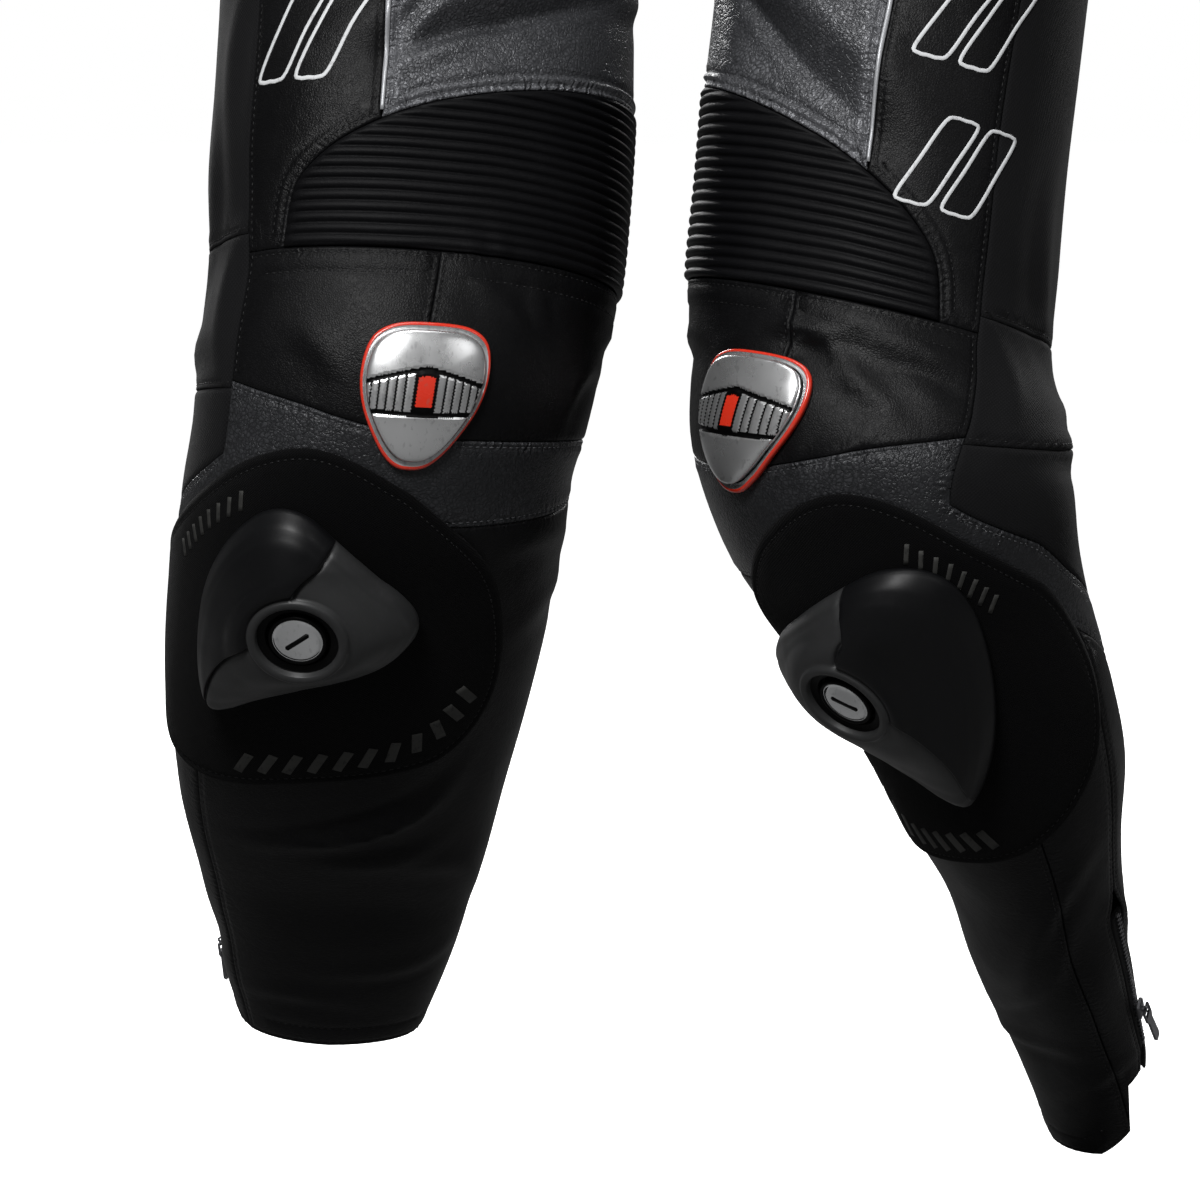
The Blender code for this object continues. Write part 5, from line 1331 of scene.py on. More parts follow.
class Effects:
    """The shader node groups that several finishes share, each built once."""

    def __init__(self) -> None:
        """Build every group."""
        self.grain = self._grain()
        self.weave = self._weave()
        self.pucker = self._pucker()
        self.wear = self._wear()

    @staticmethod
    def _finish(graph: Graph, **values: bpy.types.NodeSocket) -> None:
        """Wire a group's outputs."""
        graph.add("NodeGroupOutput", {key.title(): value for key, value in values.items()})

    def _grain(self) -> bpy.types.NodeTree:
        """Pebbled leather grain with pores and fine wrinkles.

        Returns:
            The node tree.
        """
        tree, graph, given = shader_group(
            "leather_grain",
            {"Vector": None, "Pebbles": 900.0, "Wrinkle": 0.5, "Crackle": 160.0},
            ("Height", "Pits"))
        where = given.outputs["Vector"]
        bend = graph.add("ShaderNodeTexNoise", {"Vector": where, "Scale": 60.0, "Detail": 2.0})
        shift = graph.add("ShaderNodeVectorMath", {0: bend.outputs["Color"], 1: (0.006,) * 3},
                          operation="MULTIPLY")
        moved = graph.add("ShaderNodeVectorMath", {0: where, 1: shift.outputs[0]}, operation="ADD")
        cells = graph.add("ShaderNodeTexVoronoi", {"Vector": moved.outputs[0],
                                                   "Scale": given.outputs["Pebbles"]},
                          feature="DISTANCE_TO_EDGE")
        pebble = graph.ramp(cells.outputs["Distance"], 0.0, 0.28)
        fine = graph.noise(where, 2600.0, 2.0)
        broad = graph.noise(moved.outputs[0], given.outputs["Crackle"], 3.0, 0.55)
        lines = graph.math("ABSOLUTE", graph.math("SUBTRACT", broad, 0.5))
        crack = graph.ramp(lines, 0.0, 0.06)
        height = graph.math("ADD", graph.math("MULTIPLY", pebble, 0.55),
                            graph.math("MULTIPLY", fine, 0.25))
        deep = graph.math("MULTIPLY", crack, given.outputs["Wrinkle"])
        bare = graph.math("MULTIPLY", pebble, graph.math(
            "ADD", graph.math("SUBTRACT", 1.0, given.outputs["Wrinkle"], clamp=True),
            graph.math("MULTIPLY", crack, given.outputs["Wrinkle"])), clamp=True)
        self._finish(graph, height=graph.math("ADD", height, deep),
                     pits=graph.math("SUBTRACT", 1.0, bare))
        return tree

    def _weave(self) -> bpy.types.NodeTree:
        """Plain weave in two directions.

        Returns:
            The node tree.
        """
        tree, graph, given = shader_group(
            "cloth_weave", {"Vector": None, "Threads": 1100.0}, ("Height", "Gaps"))
        split = graph.add("ShaderNodeSeparateXYZ", {0: given.outputs["Vector"]})
        waves = []
        for axis in ("X", "Y"):
            turn = graph.math("MULTIPLY", split.outputs[axis], given.outputs["Threads"])
            waves.append(graph.math("SINE", graph.math("MULTIPLY", turn, 2 * math.pi)))
        over = graph.math("MULTIPLY", waves[0], waves[1])
        fuzz = graph.noise(given.outputs["Vector"], 3000.0, 2.0)
        height = graph.math("ADD", graph.math("MULTIPLY", over, 0.4), fuzz)
        self._finish(graph, height=height, gaps=graph.ramp(over, 0.2, 0.9))
        return tree

    def _pucker(self) -> bpy.types.NodeTree:
        """Small folds that a stitched seam draws into the cloth, and a mask of the edge.

        Returns:
            The node tree.
        """
        tree, graph, given = shader_group(
            "seam_pucker",
            {"Edge": 0.0, "Run": 0.0, "Pitch": 4.5, "Reach": 9.0, "Rim Width": 1.6},
            ("Height", "Rim"))
        edge, run = given.outputs["Edge"], given.outputs["Run"]
        where = graph.add("ShaderNodeCombineXYZ", {0: run, 1: edge})
        stray = graph.noise(where.outputs[0], 0.12, 2.0)
        phase = graph.math("ADD", graph.math("DIVIDE", run, given.outputs["Pitch"]),
                           graph.math("MULTIPLY", stray, 3.0))
        wave = graph.math("SINE", graph.math("MULTIPLY", phase, 2 * math.pi))
        near = graph.math("SUBTRACT", 1.0, graph.math("DIVIDE", edge, given.outputs["Reach"]),
                          clamp=True)
        strength = graph.math("MULTIPLY", near, graph.ramp(stray, 0.35, 0.62))
        self._finish(graph, height=graph.math("MULTIPLY", wave, strength),
                     rim=graph.math("SUBTRACT", 1.0, graph.math(
                         "DIVIDE", edge, given.outputs["Rim Width"]), clamp=True))
        return tree

    def _wear(self) -> bpy.types.NodeTree:
        """Uneven handling: soft patches and fine scratches.

        Returns:
            The node tree.
        """
        tree, graph, given = shader_group(
            "handling_wear", {"Vector": None, "Patches": 18.0, "Scratches": 500.0},
            ("Patches", "Scratches"))
        where = given.outputs["Vector"]
        patch = graph.add("ShaderNodeTexNoise", {"Vector": where, "Detail": 4.0,
                                                 "Scale": given.outputs["Patches"]})
        stretch = graph.add("ShaderNodeVectorMath", {0: where, 1: (1.0, 0.16, 0.55)},
                            operation="MULTIPLY")
        line = graph.add("ShaderNodeTexNoise", {"Vector": stretch.outputs[0], "Detail": 2.0,
                                                "Scale": given.outputs["Scratches"]})
        self._finish(graph, patches=graph.ramp(patch.outputs["Fac"], 0.3, 0.7),
                     scratches=graph.ramp(line.outputs["Fac"], 0.60, 0.68))
        return tree


EFFECTS = Effects()


def new_material(name: str) -> tuple[bpy.types.Material, Graph, bpy.types.Node]:
    """Start a material; given with its graph and its Principled shader.

    Args:
        name: the material's name.

    Returns:
        The material, its graph and its shader.
    """
    material = bpy.data.materials.new(name)
    material.use_nodes = True
    shader = material.node_tree.nodes["Principled BSDF"]
    return material, Graph(material.node_tree), shader


@dataclass(frozen=True)
class LeatherFinish:
    """Grained leather, plain or with a pearl coat."""

    name: str
    colour: tuple[float, float, float]
    worn_colour: tuple[float, float, float]
    roughness: tuple[float, float]
    pebbles: float
    grain: float
    pucker: float
    metallic: float = 0.0
    specular: float = 0.5
    wrinkle: float = 0.35
    crackle: float = 160.0
    # Strength and width of the band along the edge that is mixed towards the lighter tone: edge
    # wear, and on the pearl leather a painted highlight on its rolled rim band.
    rub: tuple[float, float] = (0.55, 1.6)

    def build(self) -> bpy.types.Material:
        """Make the leather's material.

        Returns:
            The material.
        """
        material, graph, shader = new_material(self.name)
        place = graph.add("ShaderNodeTexCoord").outputs["Object"]
        edge, run = (graph.add("ShaderNodeAttribute", attribute_name=key).outputs["Fac"]
                     for key in ("edge", "run"))
        grain = graph.effect(EFFECTS.grain, {"Vector": place, "Pebbles": self.pebbles,
                                             "Wrinkle": self.wrinkle, "Crackle": self.crackle})
        wear = graph.effect(EFFECTS.wear, {"Vector": place})
        pucker = graph.effect(EFFECTS.pucker, {"Edge": edge, "Run": run,
                                               "Rim Width": self.rub[1]})
        worn = (*self.worn_colour, 1.0)
        shade = graph.math("MULTIPLY", wear.outputs["Patches"],
                           graph.math("SUBTRACT", 1.0, grain.outputs["Pits"]))
        tone = graph.blend(shade, (*self.colour, 1.0), worn)
        # The edge band is mixed towards the lighter tone: edge wear, and on the pearl leather a
        # painted highlight on the rolled rim.
        edge_wear_and_highlight_share = graph.math("MULTIPLY", pucker.outputs["Rim"], self.rub[0])
        fold = graph.bump(pucker.outputs["Height"], self.pucker)
        graph.feed(shader, {
            "Base Color": graph.blend(edge_wear_and_highlight_share, tone, worn),
            "Roughness": graph.ramp(wear.outputs["Patches"], 0.0, 1.0, *self.roughness),
            "Metallic": self.metallic, "Specular IOR Level": self.specular,
            "Normal": graph.bump(grain.outputs["Height"], self.grain, {"Normal": fold})})
        return material


@dataclass(frozen=True)
class ClothFinish:
    """Woven or knitted cloth, or loop pile."""

    name: str
    colour: tuple[float, float, float]
    high_colour: tuple[float, float, float]
    threads: float
    depth: float
    roughness: float = 0.85
    sheen: float = 0.2
    specular: float = 0.3

    def build(self) -> bpy.types.Material:
        """Make the cloth's material.

        Returns:
            The material.
        """
        material, graph, shader = new_material(self.name)
        whole = graph.add("ShaderNodeTexCoord").outputs["Object"]
        place = graph.add("ShaderNodeUVMap", uv_map="cut").outputs["UV"]
        wear = graph.effect(EFFECTS.wear, {"Vector": whole})
        weave = graph.effect(EFFECTS.weave, {"Vector": place, "Threads": self.threads})
        share = graph.math("MULTIPLY", wear.outputs["Patches"], weave.outputs["Gaps"])
        graph.feed(shader, {
            "Base Color": graph.blend(share, (*self.colour, 1.0), (*self.high_colour, 1.0)),
            "Roughness": self.roughness, "Sheen Weight": self.sheen,
            "Specular IOR Level": self.specular,
            "Normal": graph.bump(weave.outputs["Height"], self.depth)})
        return material


@dataclass(frozen=True)
class HardFinish:
    """Moulded plastic, enamel or metal, a little handled."""

    name: str
    colour: tuple[float, float, float]
    worn_colour: tuple[float, float, float]
    roughness: tuple[float, float]
    metallic: float = 0.0
    texture: float = 0.03
    specular: float = 0.5
    coat: float = 0.0

    def build(self) -> bpy.types.Material:
        """Make the hard trim's material.

        Returns:
            The material.
        """
        material, graph, shader = new_material(self.name)
        place = graph.add("ShaderNodeTexCoord").outputs["Object"]
        wear = graph.effect(EFFECTS.wear, {"Vector": place, "Patches": 60.0})
        graph.feed(shader, {
            "Base Color": graph.blend(wear.outputs["Scratches"], (*self.colour, 1.0),
                                      (*self.worn_colour, 1.0)),
            "Roughness": graph.ramp(wear.outputs["Patches"], 0.0, 1.0, *self.roughness),
            "Metallic": self.metallic, "Specular IOR Level": self.specular,
            "Coat Weight": self.coat,
            "Normal": graph.bump(graph.noise(place, 1800.0, 3.0, 0.6), self.texture)})
        return material


class Finish(Enum):
    """Every finish on the suit."""

    BLACK = LeatherFinish("black_leather", (0.0025, 0.0025, 0.0028), (0.006, 0.006, 0.0066),
                          (0.36, 0.50), 800.0, 0.12, 0.14, specular=0.11)
    # The pearl is painted lighter over 9.5 mm from its edges: a painted highlight on the rolled rim
    # band.
    PEARL = LeatherFinish("pearl_leather", (0.030, 0.031, 0.034), (0.115, 0.117, 0.126),
                          (0.28, 0.42), 480.0, 0.26, 0.70, metallic=0.35, specular=0.4,
                          wrinkle=0.7, crackle=210.0, rub=(1.0, 9.5))
    # Pearl leather painted at about half its brightness: painted shade on the knee band, where the
    # light falls off across the leg.
    PEARL_BAND_PAINTED_SHADE = LeatherFinish("pearl_band_painted_shade", (0.016, 0.0165, 0.018),
                               (0.046, 0.047, 0.051), (0.30, 0.44), 480.0, 0.22, 0.50,
                               metallic=0.3, specular=0.25, wrinkle=0.7, crackle=210.0)
    BINDING = LeatherFinish("silver_piping", (0.26, 0.265, 0.28), (0.40, 0.405, 0.42),
                            (0.34, 0.46), 900.0, 0.05, 0.0, metallic=0.3)
    STRETCH = ClothFinish("stretch_fabric", (0.003, 0.003, 0.0035), (0.008, 0.008, 0.009),
                          520.0, 0.16, sheen=0.02, specular=0.15)
    ACCORDION = LeatherFinish("accordion_leather", (0.0025, 0.0025, 0.003),
                              (0.006, 0.006, 0.0066), (0.46, 0.60), 900.0, 0.07, 0.0,
                              specular=0.085)
    PILE = ClothFinish("loop_pile", (0.0012, 0.0012, 0.0014), (0.0034, 0.0034, 0.0038),
                       760.0, 0.35, roughness=0.95, sheen=0.02, specular=0.08)
    TAPE = ClothFinish("zip_tape", (0.004, 0.004, 0.0045), (0.01, 0.01, 0.011), 900.0, 0.12,
                       sheen=0.02, specular=0.2)
    LINING = ClothFinish("mesh_lining", (0.008, 0.008, 0.009), (0.02, 0.02, 0.022), 420.0, 0.3,
                         sheen=0.02, specular=0.15)
    GREY_LOBE = HardFinish("slider_grey", (0.024, 0.0245, 0.025), (0.027, 0.027, 0.028),
                           (0.40, 0.52), specular=0.3)
    DARK_LOBE = HardFinish("slider_dark", (0.0030, 0.0031, 0.0036), (0.0036, 0.0037, 0.0042),
                           (0.36, 0.48), specular=0.2)
    BLACK_PLASTIC = HardFinish("black_plastic", (0.0012, 0.0012, 0.0013),
                               (0.0020, 0.0020, 0.0021), (0.36, 0.48), specular=0.08)
    SATIN = HardFinish("satin_silver", (0.66, 0.665, 0.67), (0.52, 0.525, 0.53), (0.24, 0.34),
                       metallic=0.86, texture=0.006)
    CHROME = HardFinish("chrome_plate", (0.80, 0.81, 0.82), (0.66, 0.67, 0.68), (0.08, 0.18),
                        metallic=1.0, texture=0.004)
    RED = HardFinish("red_enamel", (0.62, 0.030, 0.012), (0.50, 0.05, 0.03), (0.22, 0.32),
                     coat=0.4)
    METAL = HardFinish("zip_metal", (0.16, 0.16, 0.17), (0.30, 0.30, 0.31), (0.28, 0.42),
                       metallic=1.0, texture=0.01)
    BLACK_THREAD = HardFinish("black_thread", (0.0045, 0.0045, 0.005), (0.008, 0.008, 0.0085),
                              (0.5, 0.65), texture=0.05, specular=0.3)
    GREY_THREAD = HardFinish("grey_thread", (0.055, 0.056, 0.060), (0.09, 0.09, 0.095),
                             (0.5, 0.65), texture=0.05, specular=0.3)
    PRINT = HardFinish("silver_print", (0.55, 0.56, 0.57), (0.42, 0.42, 0.43), (0.45, 0.6),
                       texture=0.02)
    DULL_PRINT = HardFinish("grey_print", (0.034, 0.034, 0.032), (0.02, 0.02, 0.02), (0.6, 0.75),
                            texture=0.05, specular=0.2)


class Wardrobe:
    """Materials by finish, built when first asked for."""

    def __init__(self) -> None:
        """Start with none."""
        self._made: dict[Finish, bpy.types.Material] = {}

    def get(self, finish: Finish) -> bpy.types.Material:
        """The material of a finish.

        Args:
            finish: the finish.

        Returns:
            The material.
        """
        if finish not in self._made:
            self._made[finish] = finish.value.build()
        return self._made[finish]


WARDROBE = Wardrobe()


def add_piece(name: str, mesh: bpy.types.Mesh, finishes: Sequence[Finish], slot: str,
              nodes: Sequence[str] = (), body: str = "suit") -> bpy.types.Object:
    """Link a finished mesh as one piece of the suit.

    Args:
        name: the piece's name.
        mesh: its mesh, placed in metres.
        finishes: one for each material slot.
        slot: the record's material slot; not used.
        nodes: the CAD nodes that it stands for.
        body: the body that it rides on.

    Returns:
        The piece.
    """
    piece = bpy.data.objects.new(name, mesh)
    bpy.context.scene.collection.objects.link(piece)
    mesh.materials.clear()
    for finish in finishes:
        mesh.materials.append(WARDROBE.get(finish))
    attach(piece, body)
    if nodes:
        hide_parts(*nodes)
    LOG.info("%s: %d faces", name, len(mesh.polygons))
    return piece


# ---------------------------------------------------------------- stitches
@dataclass
class StitchRow:
    """A line of stitches: its points, the way out at each, and its thread."""

    points: Array
    outward: Array
    thread: Finish


@dataclass
class Sewing:
    """Rows of stitches, laid by one node tree for each thread."""

    length: float = 2.7
    pitch: float = 3.7
    radius: float = 0.36
    rows: list[StitchRow] = field(default_factory=list)

    def follow(self, surface: Surface, at: Array, lift: Array | float, thread: Finish) -> None:
        """Add a row along surface coordinates.

        Args:
            surface: what is sewn.
            at: surface coordinates in order.
            lift: millimetres out along the normals.
            thread: the thread's finish.
        """
        if len(at) > 2:
            a, b = at[:, 0], at[:, 1]
            self.rows.append(StitchRow(surface.worn(a, b, lift), surface.normals(a, b), thread))

    def tree(self) -> bpy.types.NodeTree:
        """Node tree that puts a stitch at every pitch of a line.

        Returns:
            The node tree.
        """
        tree, graph, given = geometry_group("stitch_row", {
            "Length": self.length * MM, "Pitch": self.pitch * MM, "Radius": self.radius * MM,
            "Seed": 7, "Thread": None})
        even, _, _, turn = graph.even_line(given)
        thread = graph.add("GeometryNodeMeshIcoSphere", {"Radius": 1.0, "Subdivisions": 1})
        size = graph.add("ShaderNodeCombineXYZ", {
            0: graph.math("MULTIPLY", given.outputs["Length"], 0.5),
            1: given.outputs["Radius"], 2: given.outputs["Radius"]})
        stitch = graph.add("GeometryNodeTransform", {"Geometry": thread.outputs["Mesh"],
                                                     "Scale": size.outputs[0]})
        soft = graph.add("GeometryNodeSetShadeSmooth", {0: stitch.outputs[0]})
        vary = graph.add("FunctionNodeRandomValue", {2: 0.88, 3: 1.1,
                                                     "Seed": given.outputs["Seed"]})
        laid = graph.add("GeometryNodeInstanceOnPoints", {
            "Points": even, "Instance": soft.outputs[0], "Rotation": turn,
            "Scale": vary.outputs[1]})
        graph.put_out(laid.outputs[0], given.outputs["Thread"])
        return tree

    def build(self, name: str) -> None:
        """Lay every row; one piece for each thread.

        Args:
            name: start of the pieces' names.
        """
        tree = self.tree()
        for thread in dict.fromkeys(row.thread for row in self.rows):
            mine = [row for row in self.rows if row.thread is thread]
            mesh = bpy.data.meshes.new(f"{name}_rows")
            points = np.vstack([row.points for row in mine])
            starts = np.cumsum([0] + [len(row.points) for row in mine])
            edges = [(k, k + 1) for low, high in zip(starts, starts[1:])
                     for k in range(low, high - 1)]
            mesh.from_pydata((points * MM).tolist(), edges, [])
            store(mesh, "outward", np.vstack([row.outward for row in mine]))
            result = run_tree(mesh, tree, {"Thread": WARDROBE.get(thread)})
            add_piece(f"{name}_{thread.value.name}", result, [thread], "black_leather")
        self.rows = []


def run_tree(mesh: bpy.types.Mesh, tree: bpy.types.NodeTree,
             values: dict[str, object]) -> bpy.types.Mesh:
    """Run a geometry node tree on a mesh and keep the plain result.

    Args:
        mesh: what goes in.
        tree: the node tree.
        values: inputs by their socket's name.

    Returns:
        The evaluated mesh.
    """
    holder = bpy.data.objects.new("tree_holder", mesh)
    bpy.context.scene.collection.objects.link(holder)
    modifier = holder.modifiers.new("tree", "NODES")
    modifier.node_group = tree
    for item in tree.interface.items_tree:
        if item.item_type == "SOCKET" and item.in_out == "INPUT" and item.name in values:
            modifier[item.identifier] = values[item.name]
    graph = bpy.context.evaluated_depsgraph_get()
    result = bpy.data.meshes.new_from_object(holder.evaluated_get(graph))
    holder.modifiers.remove(modifier)
    bpy.data.objects.remove(holder)
    bpy.data.meshes.remove(mesh)
    return result


SEWING = Sewing()
THREADS = {Finish.PEARL: Finish.GREY_THREAD, Finish.PEARL_BAND_PAINTED_SHADE: Finish.GREY_THREAD}


@dataclass
class Panel:
    """One cut piece of the suit's cloth."""

    name: str
    surface: Surface
    sides: Sequence[Side]
    finish: Finish
    slot: str
    flat: tuple[float, float, float]
    spacing: float = 5.0
    swell: float = 1.0

    def build(self) -> bpy.types.Object:
        """Returns:
            The piece.
        """
        cloth = lay_out(self.surface, self.sides, self.spacing, HALF_GAP)
        a, b = cloth.at.T
        outer = self.surface.worn(a, b, edge_lift(cloth, swell=self.swell))
        inner = self.surface.worn(*cloth.under().T, np.full(len(a), -LEATHER))
        mesh = wall(self.name, cloth, self.surface, outer, inner)
        layers = np.zeros(len(mesh.polygons), dtype=np.int32)
        layers[len(cloth.faces):2 * len(cloth.faces)] = 1
        piece = add_piece(f"{self.name}_cloth", mesh, [self.finish, Finish.LINING], self.slot,
                          [self.name])
        paint_faces(mesh, layers)
        self.sew()
        width, length, area = self.flat
        return piece

    def sew(self) -> None:
        """Lay stitches along every row of every side."""
        outline = trace(self.surface, self.sides, self.spacing)
        for k, side in enumerate(self.sides):
            for row in side.rows:
                line = drawn_in(self.surface, outline.at, row)[outline.side == k]
                found = nearest_edge(outline, self.surface.points(line[:, 0], line[:, 1]))[0]
                good = np.abs(found - row) < 0.15 * row + 0.1
                for part in np.split(np.arange(len(line)), np.flatnonzero(~good)):
                    part = part[good[part]]
                    SEWING.follow(self.surface, line[part], -ROW_DEPTH * self.swell + 0.12,
                                  THREADS.get(self.finish, Finish.BLACK_THREAD))


# ---------------------------------------------------------------- trim on the legs
def grid_faces(rows: int, columns: int, closed: bool) -> list[tuple[int, ...]]:
    """Quads of a grid of points stored row by row.

    Args:
        rows: how many rows.
        columns: points in a row.
        closed: whether a row's last point joins its first.

    Returns:
        The faces.
    """
    span = columns if closed else columns - 1
    return [(r * columns + c, r * columns + (c + 1) % columns,
             (r + 1) * columns + (c + 1) % columns, (r + 1) * columns + c)
            for r in range(rows - 1) for c in range(span)]


def swept_faces(rows: int, columns: int, ring: bool = False) -> list[tuple[int, ...]]:
    """Faces of a closed section swept row by row, round a ring or with a cap at each end.

    Args:
        rows: how many rows.
        columns: points in a row.
        ring: whether the last row joins the first.

    Returns:
        The faces.
    """
    last = (rows - 1) * columns
    ends = [tuple(range(columns)), tuple(last + k for k in reversed(range(columns)))]
    if ring:
        ends = [(last + c, last + (c + 1) % columns, (c + 1) % columns, c)
                for c in range(columns)]
    return grid_faces(rows, columns, closed=True) + ends


def turned_out(name: str, points: Array, faces: Sequence[Sequence[int]]) -> bpy.types.Mesh:
    """Smooth mesh whose closed shell has its faces turned outwards.

    Args:
        name: the mesh's name.
        points: points in millimetres.
        faces: its faces.

    Returns:
        The mesh.
    """
    mesh = smooth_mesh(name, points, faces)
    shell = bmesh.new()
    shell.from_mesh(mesh)
    bmesh.ops.recalc_face_normals(shell, faces=shell.faces)
    shell.to_mesh(mesh)
    shell.free()
    mesh.shade_smooth()
    return mesh


@dataclass
class Ribbon:
    """A flat strip laid on the suit along a line, such as a printed bar or an outline."""

    surface: Surface
    centre: Point
    line: Sequence[Point]
    half_width: float
    low: float
    high: float
    closed: bool = False
    sunk: bool = False

    def shape(self) -> tuple[Array, list[tuple[int, ...]]]:
        """Points in millimetres and faces of the strip.

        Returns:
            The points and the faces.
        """
        line = np.array(self.line, float)
        if self.closed:
            back, ahead = np.roll(line, 1, axis=0), np.roll(line, -1, axis=0)
            run, before, after = ahead - back, unit(line - back), unit(ahead - line)
        else:
            run = np.gradient(line, axis=0)
            before = after = unit(run)
        across = unit(run)[:, ::-1] * (1.0, -1.0)
        miter = 1.0 / np.sqrt(np.clip((1 + np.sum(before * after, axis=1)) / 2, 0.3, 1.0))
        offset = across * (self.half_width * miter)[:, None]
        stations = ((-1.0, self.low), (-1.0, self.high - 0.08), (-0.93, self.high),
                    (0.93, self.high), (1.0, self.high - 0.08), (1.0, self.low))
        layers = []
        for share, lift in stations:
            at = self.surface.from_flat(self.centre, line + offset * share)
            cover = self.surface.lifted if self.sunk else self.surface.worn
            layers.append(cover(at[:, 0], at[:, 1], np.full(len(at), lift)))
        points = np.stack(layers, axis=1).reshape(-1, 3)
        return points, swept_faces(len(line), len(stations), self.closed)


def join_shapes(name: str, shapes: Sequence[tuple[Array, list]]) -> bpy.types.Mesh:
    """One mesh of several closed shapes, turned outwards.

    Args:
        name: the mesh's name.
        shapes: points and faces of every shape.

    Returns:
        The mesh.
    """
    points, faces, start = [], [], 0
    for more, polygons in shapes:
        points.append(more)
        faces += [tuple(k + start for k in face) for face in polygons]
        start += len(more)
    return turned_out(name, np.vstack(points), faces)


@dataclass
class Accordion:
    """Ribbed stretch insert over the knee."""

    leg: Leg
    flat: tuple[float, float, float] = (295.0, 84.0, 21000.0)
    rib_height: float = 2.0
    rows_per_rib: int = 8
    columns: int = 84

    def tree(self) -> bpy.types.NodeTree:
        """Node tree that raises soft ribs on the sheet.

        Returns:
            The node tree.
        """
        tree, graph, given = geometry_group("rib_relief", {
            "Rib Height": self.rib_height * MM, "Roundness": 2.4, "Waver": 0.55, "Leather": None})
        names = {key: graph.add("GeometryNodeInputNamedAttribute", {"Name": key}, data_type=kind)
                 for key, kind in (("rib", "FLOAT"), ("rise", "FLOAT"),
                                   ("outward", "FLOAT_VECTOR"))}
        place = graph.add("GeometryNodeInputPosition")
        stray = graph.math("SUBTRACT", graph.noise(place.outputs[0], 14.0, 1.0), 0.5)
        level = graph.math("ADD", names["rib"].outputs[0],
                           graph.math("MULTIPLY", stray, given.outputs["Waver"]))
        part = graph.math("FRACT", level)
        side = graph.math("ABSOLUTE", graph.math(
            "SUBTRACT", graph.math("MULTIPLY", part, 2.0), 1.0))
        crown = graph.math("SUBTRACT", 1.0, graph.math("POWER", side, given.outputs["Roundness"]))
        height = graph.math("MULTIPLY", graph.math("MULTIPLY", crown, given.outputs["Rib Height"]),
                            names["rise"].outputs[0])
        move = graph.add("ShaderNodeVectorMath", {0: names["outward"].outputs[0], "Scale": height},
                         operation="SCALE")
        raised = graph.add("GeometryNodeSetPosition", {"Geometry": given.outputs["Geometry"],
                                                       "Offset": move.outputs[0]})
        graph.put_out(raised.outputs[0], given.outputs["Leather"])
        return tree

    def grid(self, rows: int) -> tuple[Array, Array, Array, Array]:
        """Spread the sheet's points between the inner seam and the arch.

        Args:
            rows: how many rows of points.

        Returns:
            Angles, levels, distances to the outer end, and the share that the ribs rise by.
        """
        arch = np.array([p for p in ARCH_LINE if p[0] >= -70.0])
        arch[:, 1] = np.maximum.accumulate(arch[:, 1])
        levels = np.linspace(ACCORDION_TOP + HALF_GAP, ACCORDION_BOTTOM - 2 * HALF_GAP, rows)
        trim = HALF_GAP * 1.6 / self.leg.measure(np.zeros(1), levels)[1]
        ends = np.interp(levels - 2 * HALF_GAP, arch[:, 1], arch[:, 0]) - trim
        start = INNER_SEAM + trim
        share = np.linspace(0.0, 1.0, self.columns)
        a = (start[:, None] + (ends - start)[:, None] * share).ravel()
        b = np.repeat(levels, self.columns)
        places = self.leg.points(a, b).reshape(rows, self.columns, 3)
        length = np.linalg.norm(places[:, 1:] - places[:, :-1], axis=-1).sum(axis=1)
        from_end = ((1 - share)[None, :] * length[:, None]).ravel()
        from_start = (share[None, :] * length[:, None]).ravel()
        top = np.interp(a, arch[:, 0], arch[:, 1])
        near = np.minimum.reduce([from_end, from_start + 3.0, np.maximum(b - top, 0) + 0.6,
                                  0.4 - b + 2.0])
        return a, b, from_end, np.clip(near / 3.4, 0.12, 1.0)

    def build(self) -> bpy.types.Object:
        """Make the sheet and raise its ribs.

        Returns:
            The piece.
        """
        leg, rows = self.leg, ACCORDION_RIBS * self.rows_per_rib + 1
        a, b, from_end, rise = self.grid(rows)
        rib = np.repeat(np.linspace(0.0, ACCORDION_RIBS, rows), self.columns)
        count = len(a)
        outer = leg.worn(a, b, np.zeros(count))
        inner = leg.worn(a, b, np.full(count, -LEATHER))
        faces = grid_faces(rows, self.columns, closed=False)
        last = (rows - 1) * self.columns
        rim = (list(range(self.columns))
               + [r * self.columns + self.columns - 1 for r in range(1, rows)]
               + [last + k for k in range(self.columns - 2, -1, -1)]
               + [r * self.columns for r in range(rows - 2, 0, -1)])
        sides = [(k, m, m + count, k + count) for k, m in zip(rim, rim[1:] + rim[:1])]
        under = [tuple(k + count for k in reversed(face)) for face in faces]
        name = f"{leg.tag}_accordion"
        mesh = turned_out(name, np.vstack([outer, inner]), faces + under + sides)
        out = np.tile(leg.normals(a, b), (2, 1))
        zeros = np.zeros(count)
        for key, values in (("rib", np.tile(rib, 2)), ("rise", np.concatenate([rise, zeros])),
                            ("edge", np.tile(from_end, 2)), ("run", np.tile(b, 2)),
                            ("outward", out)):
            store(mesh, key, values)
        result = run_tree(mesh, self.tree(), {"Leather": WARDROBE.get(Finish.ACCORDION)})
        result.shade_smooth()
        piece = add_piece(f"{name}_cloth", result, [Finish.ACCORDION], "stretch_fabric", [name])
        width, length_mm, area = self.flat
        return piece


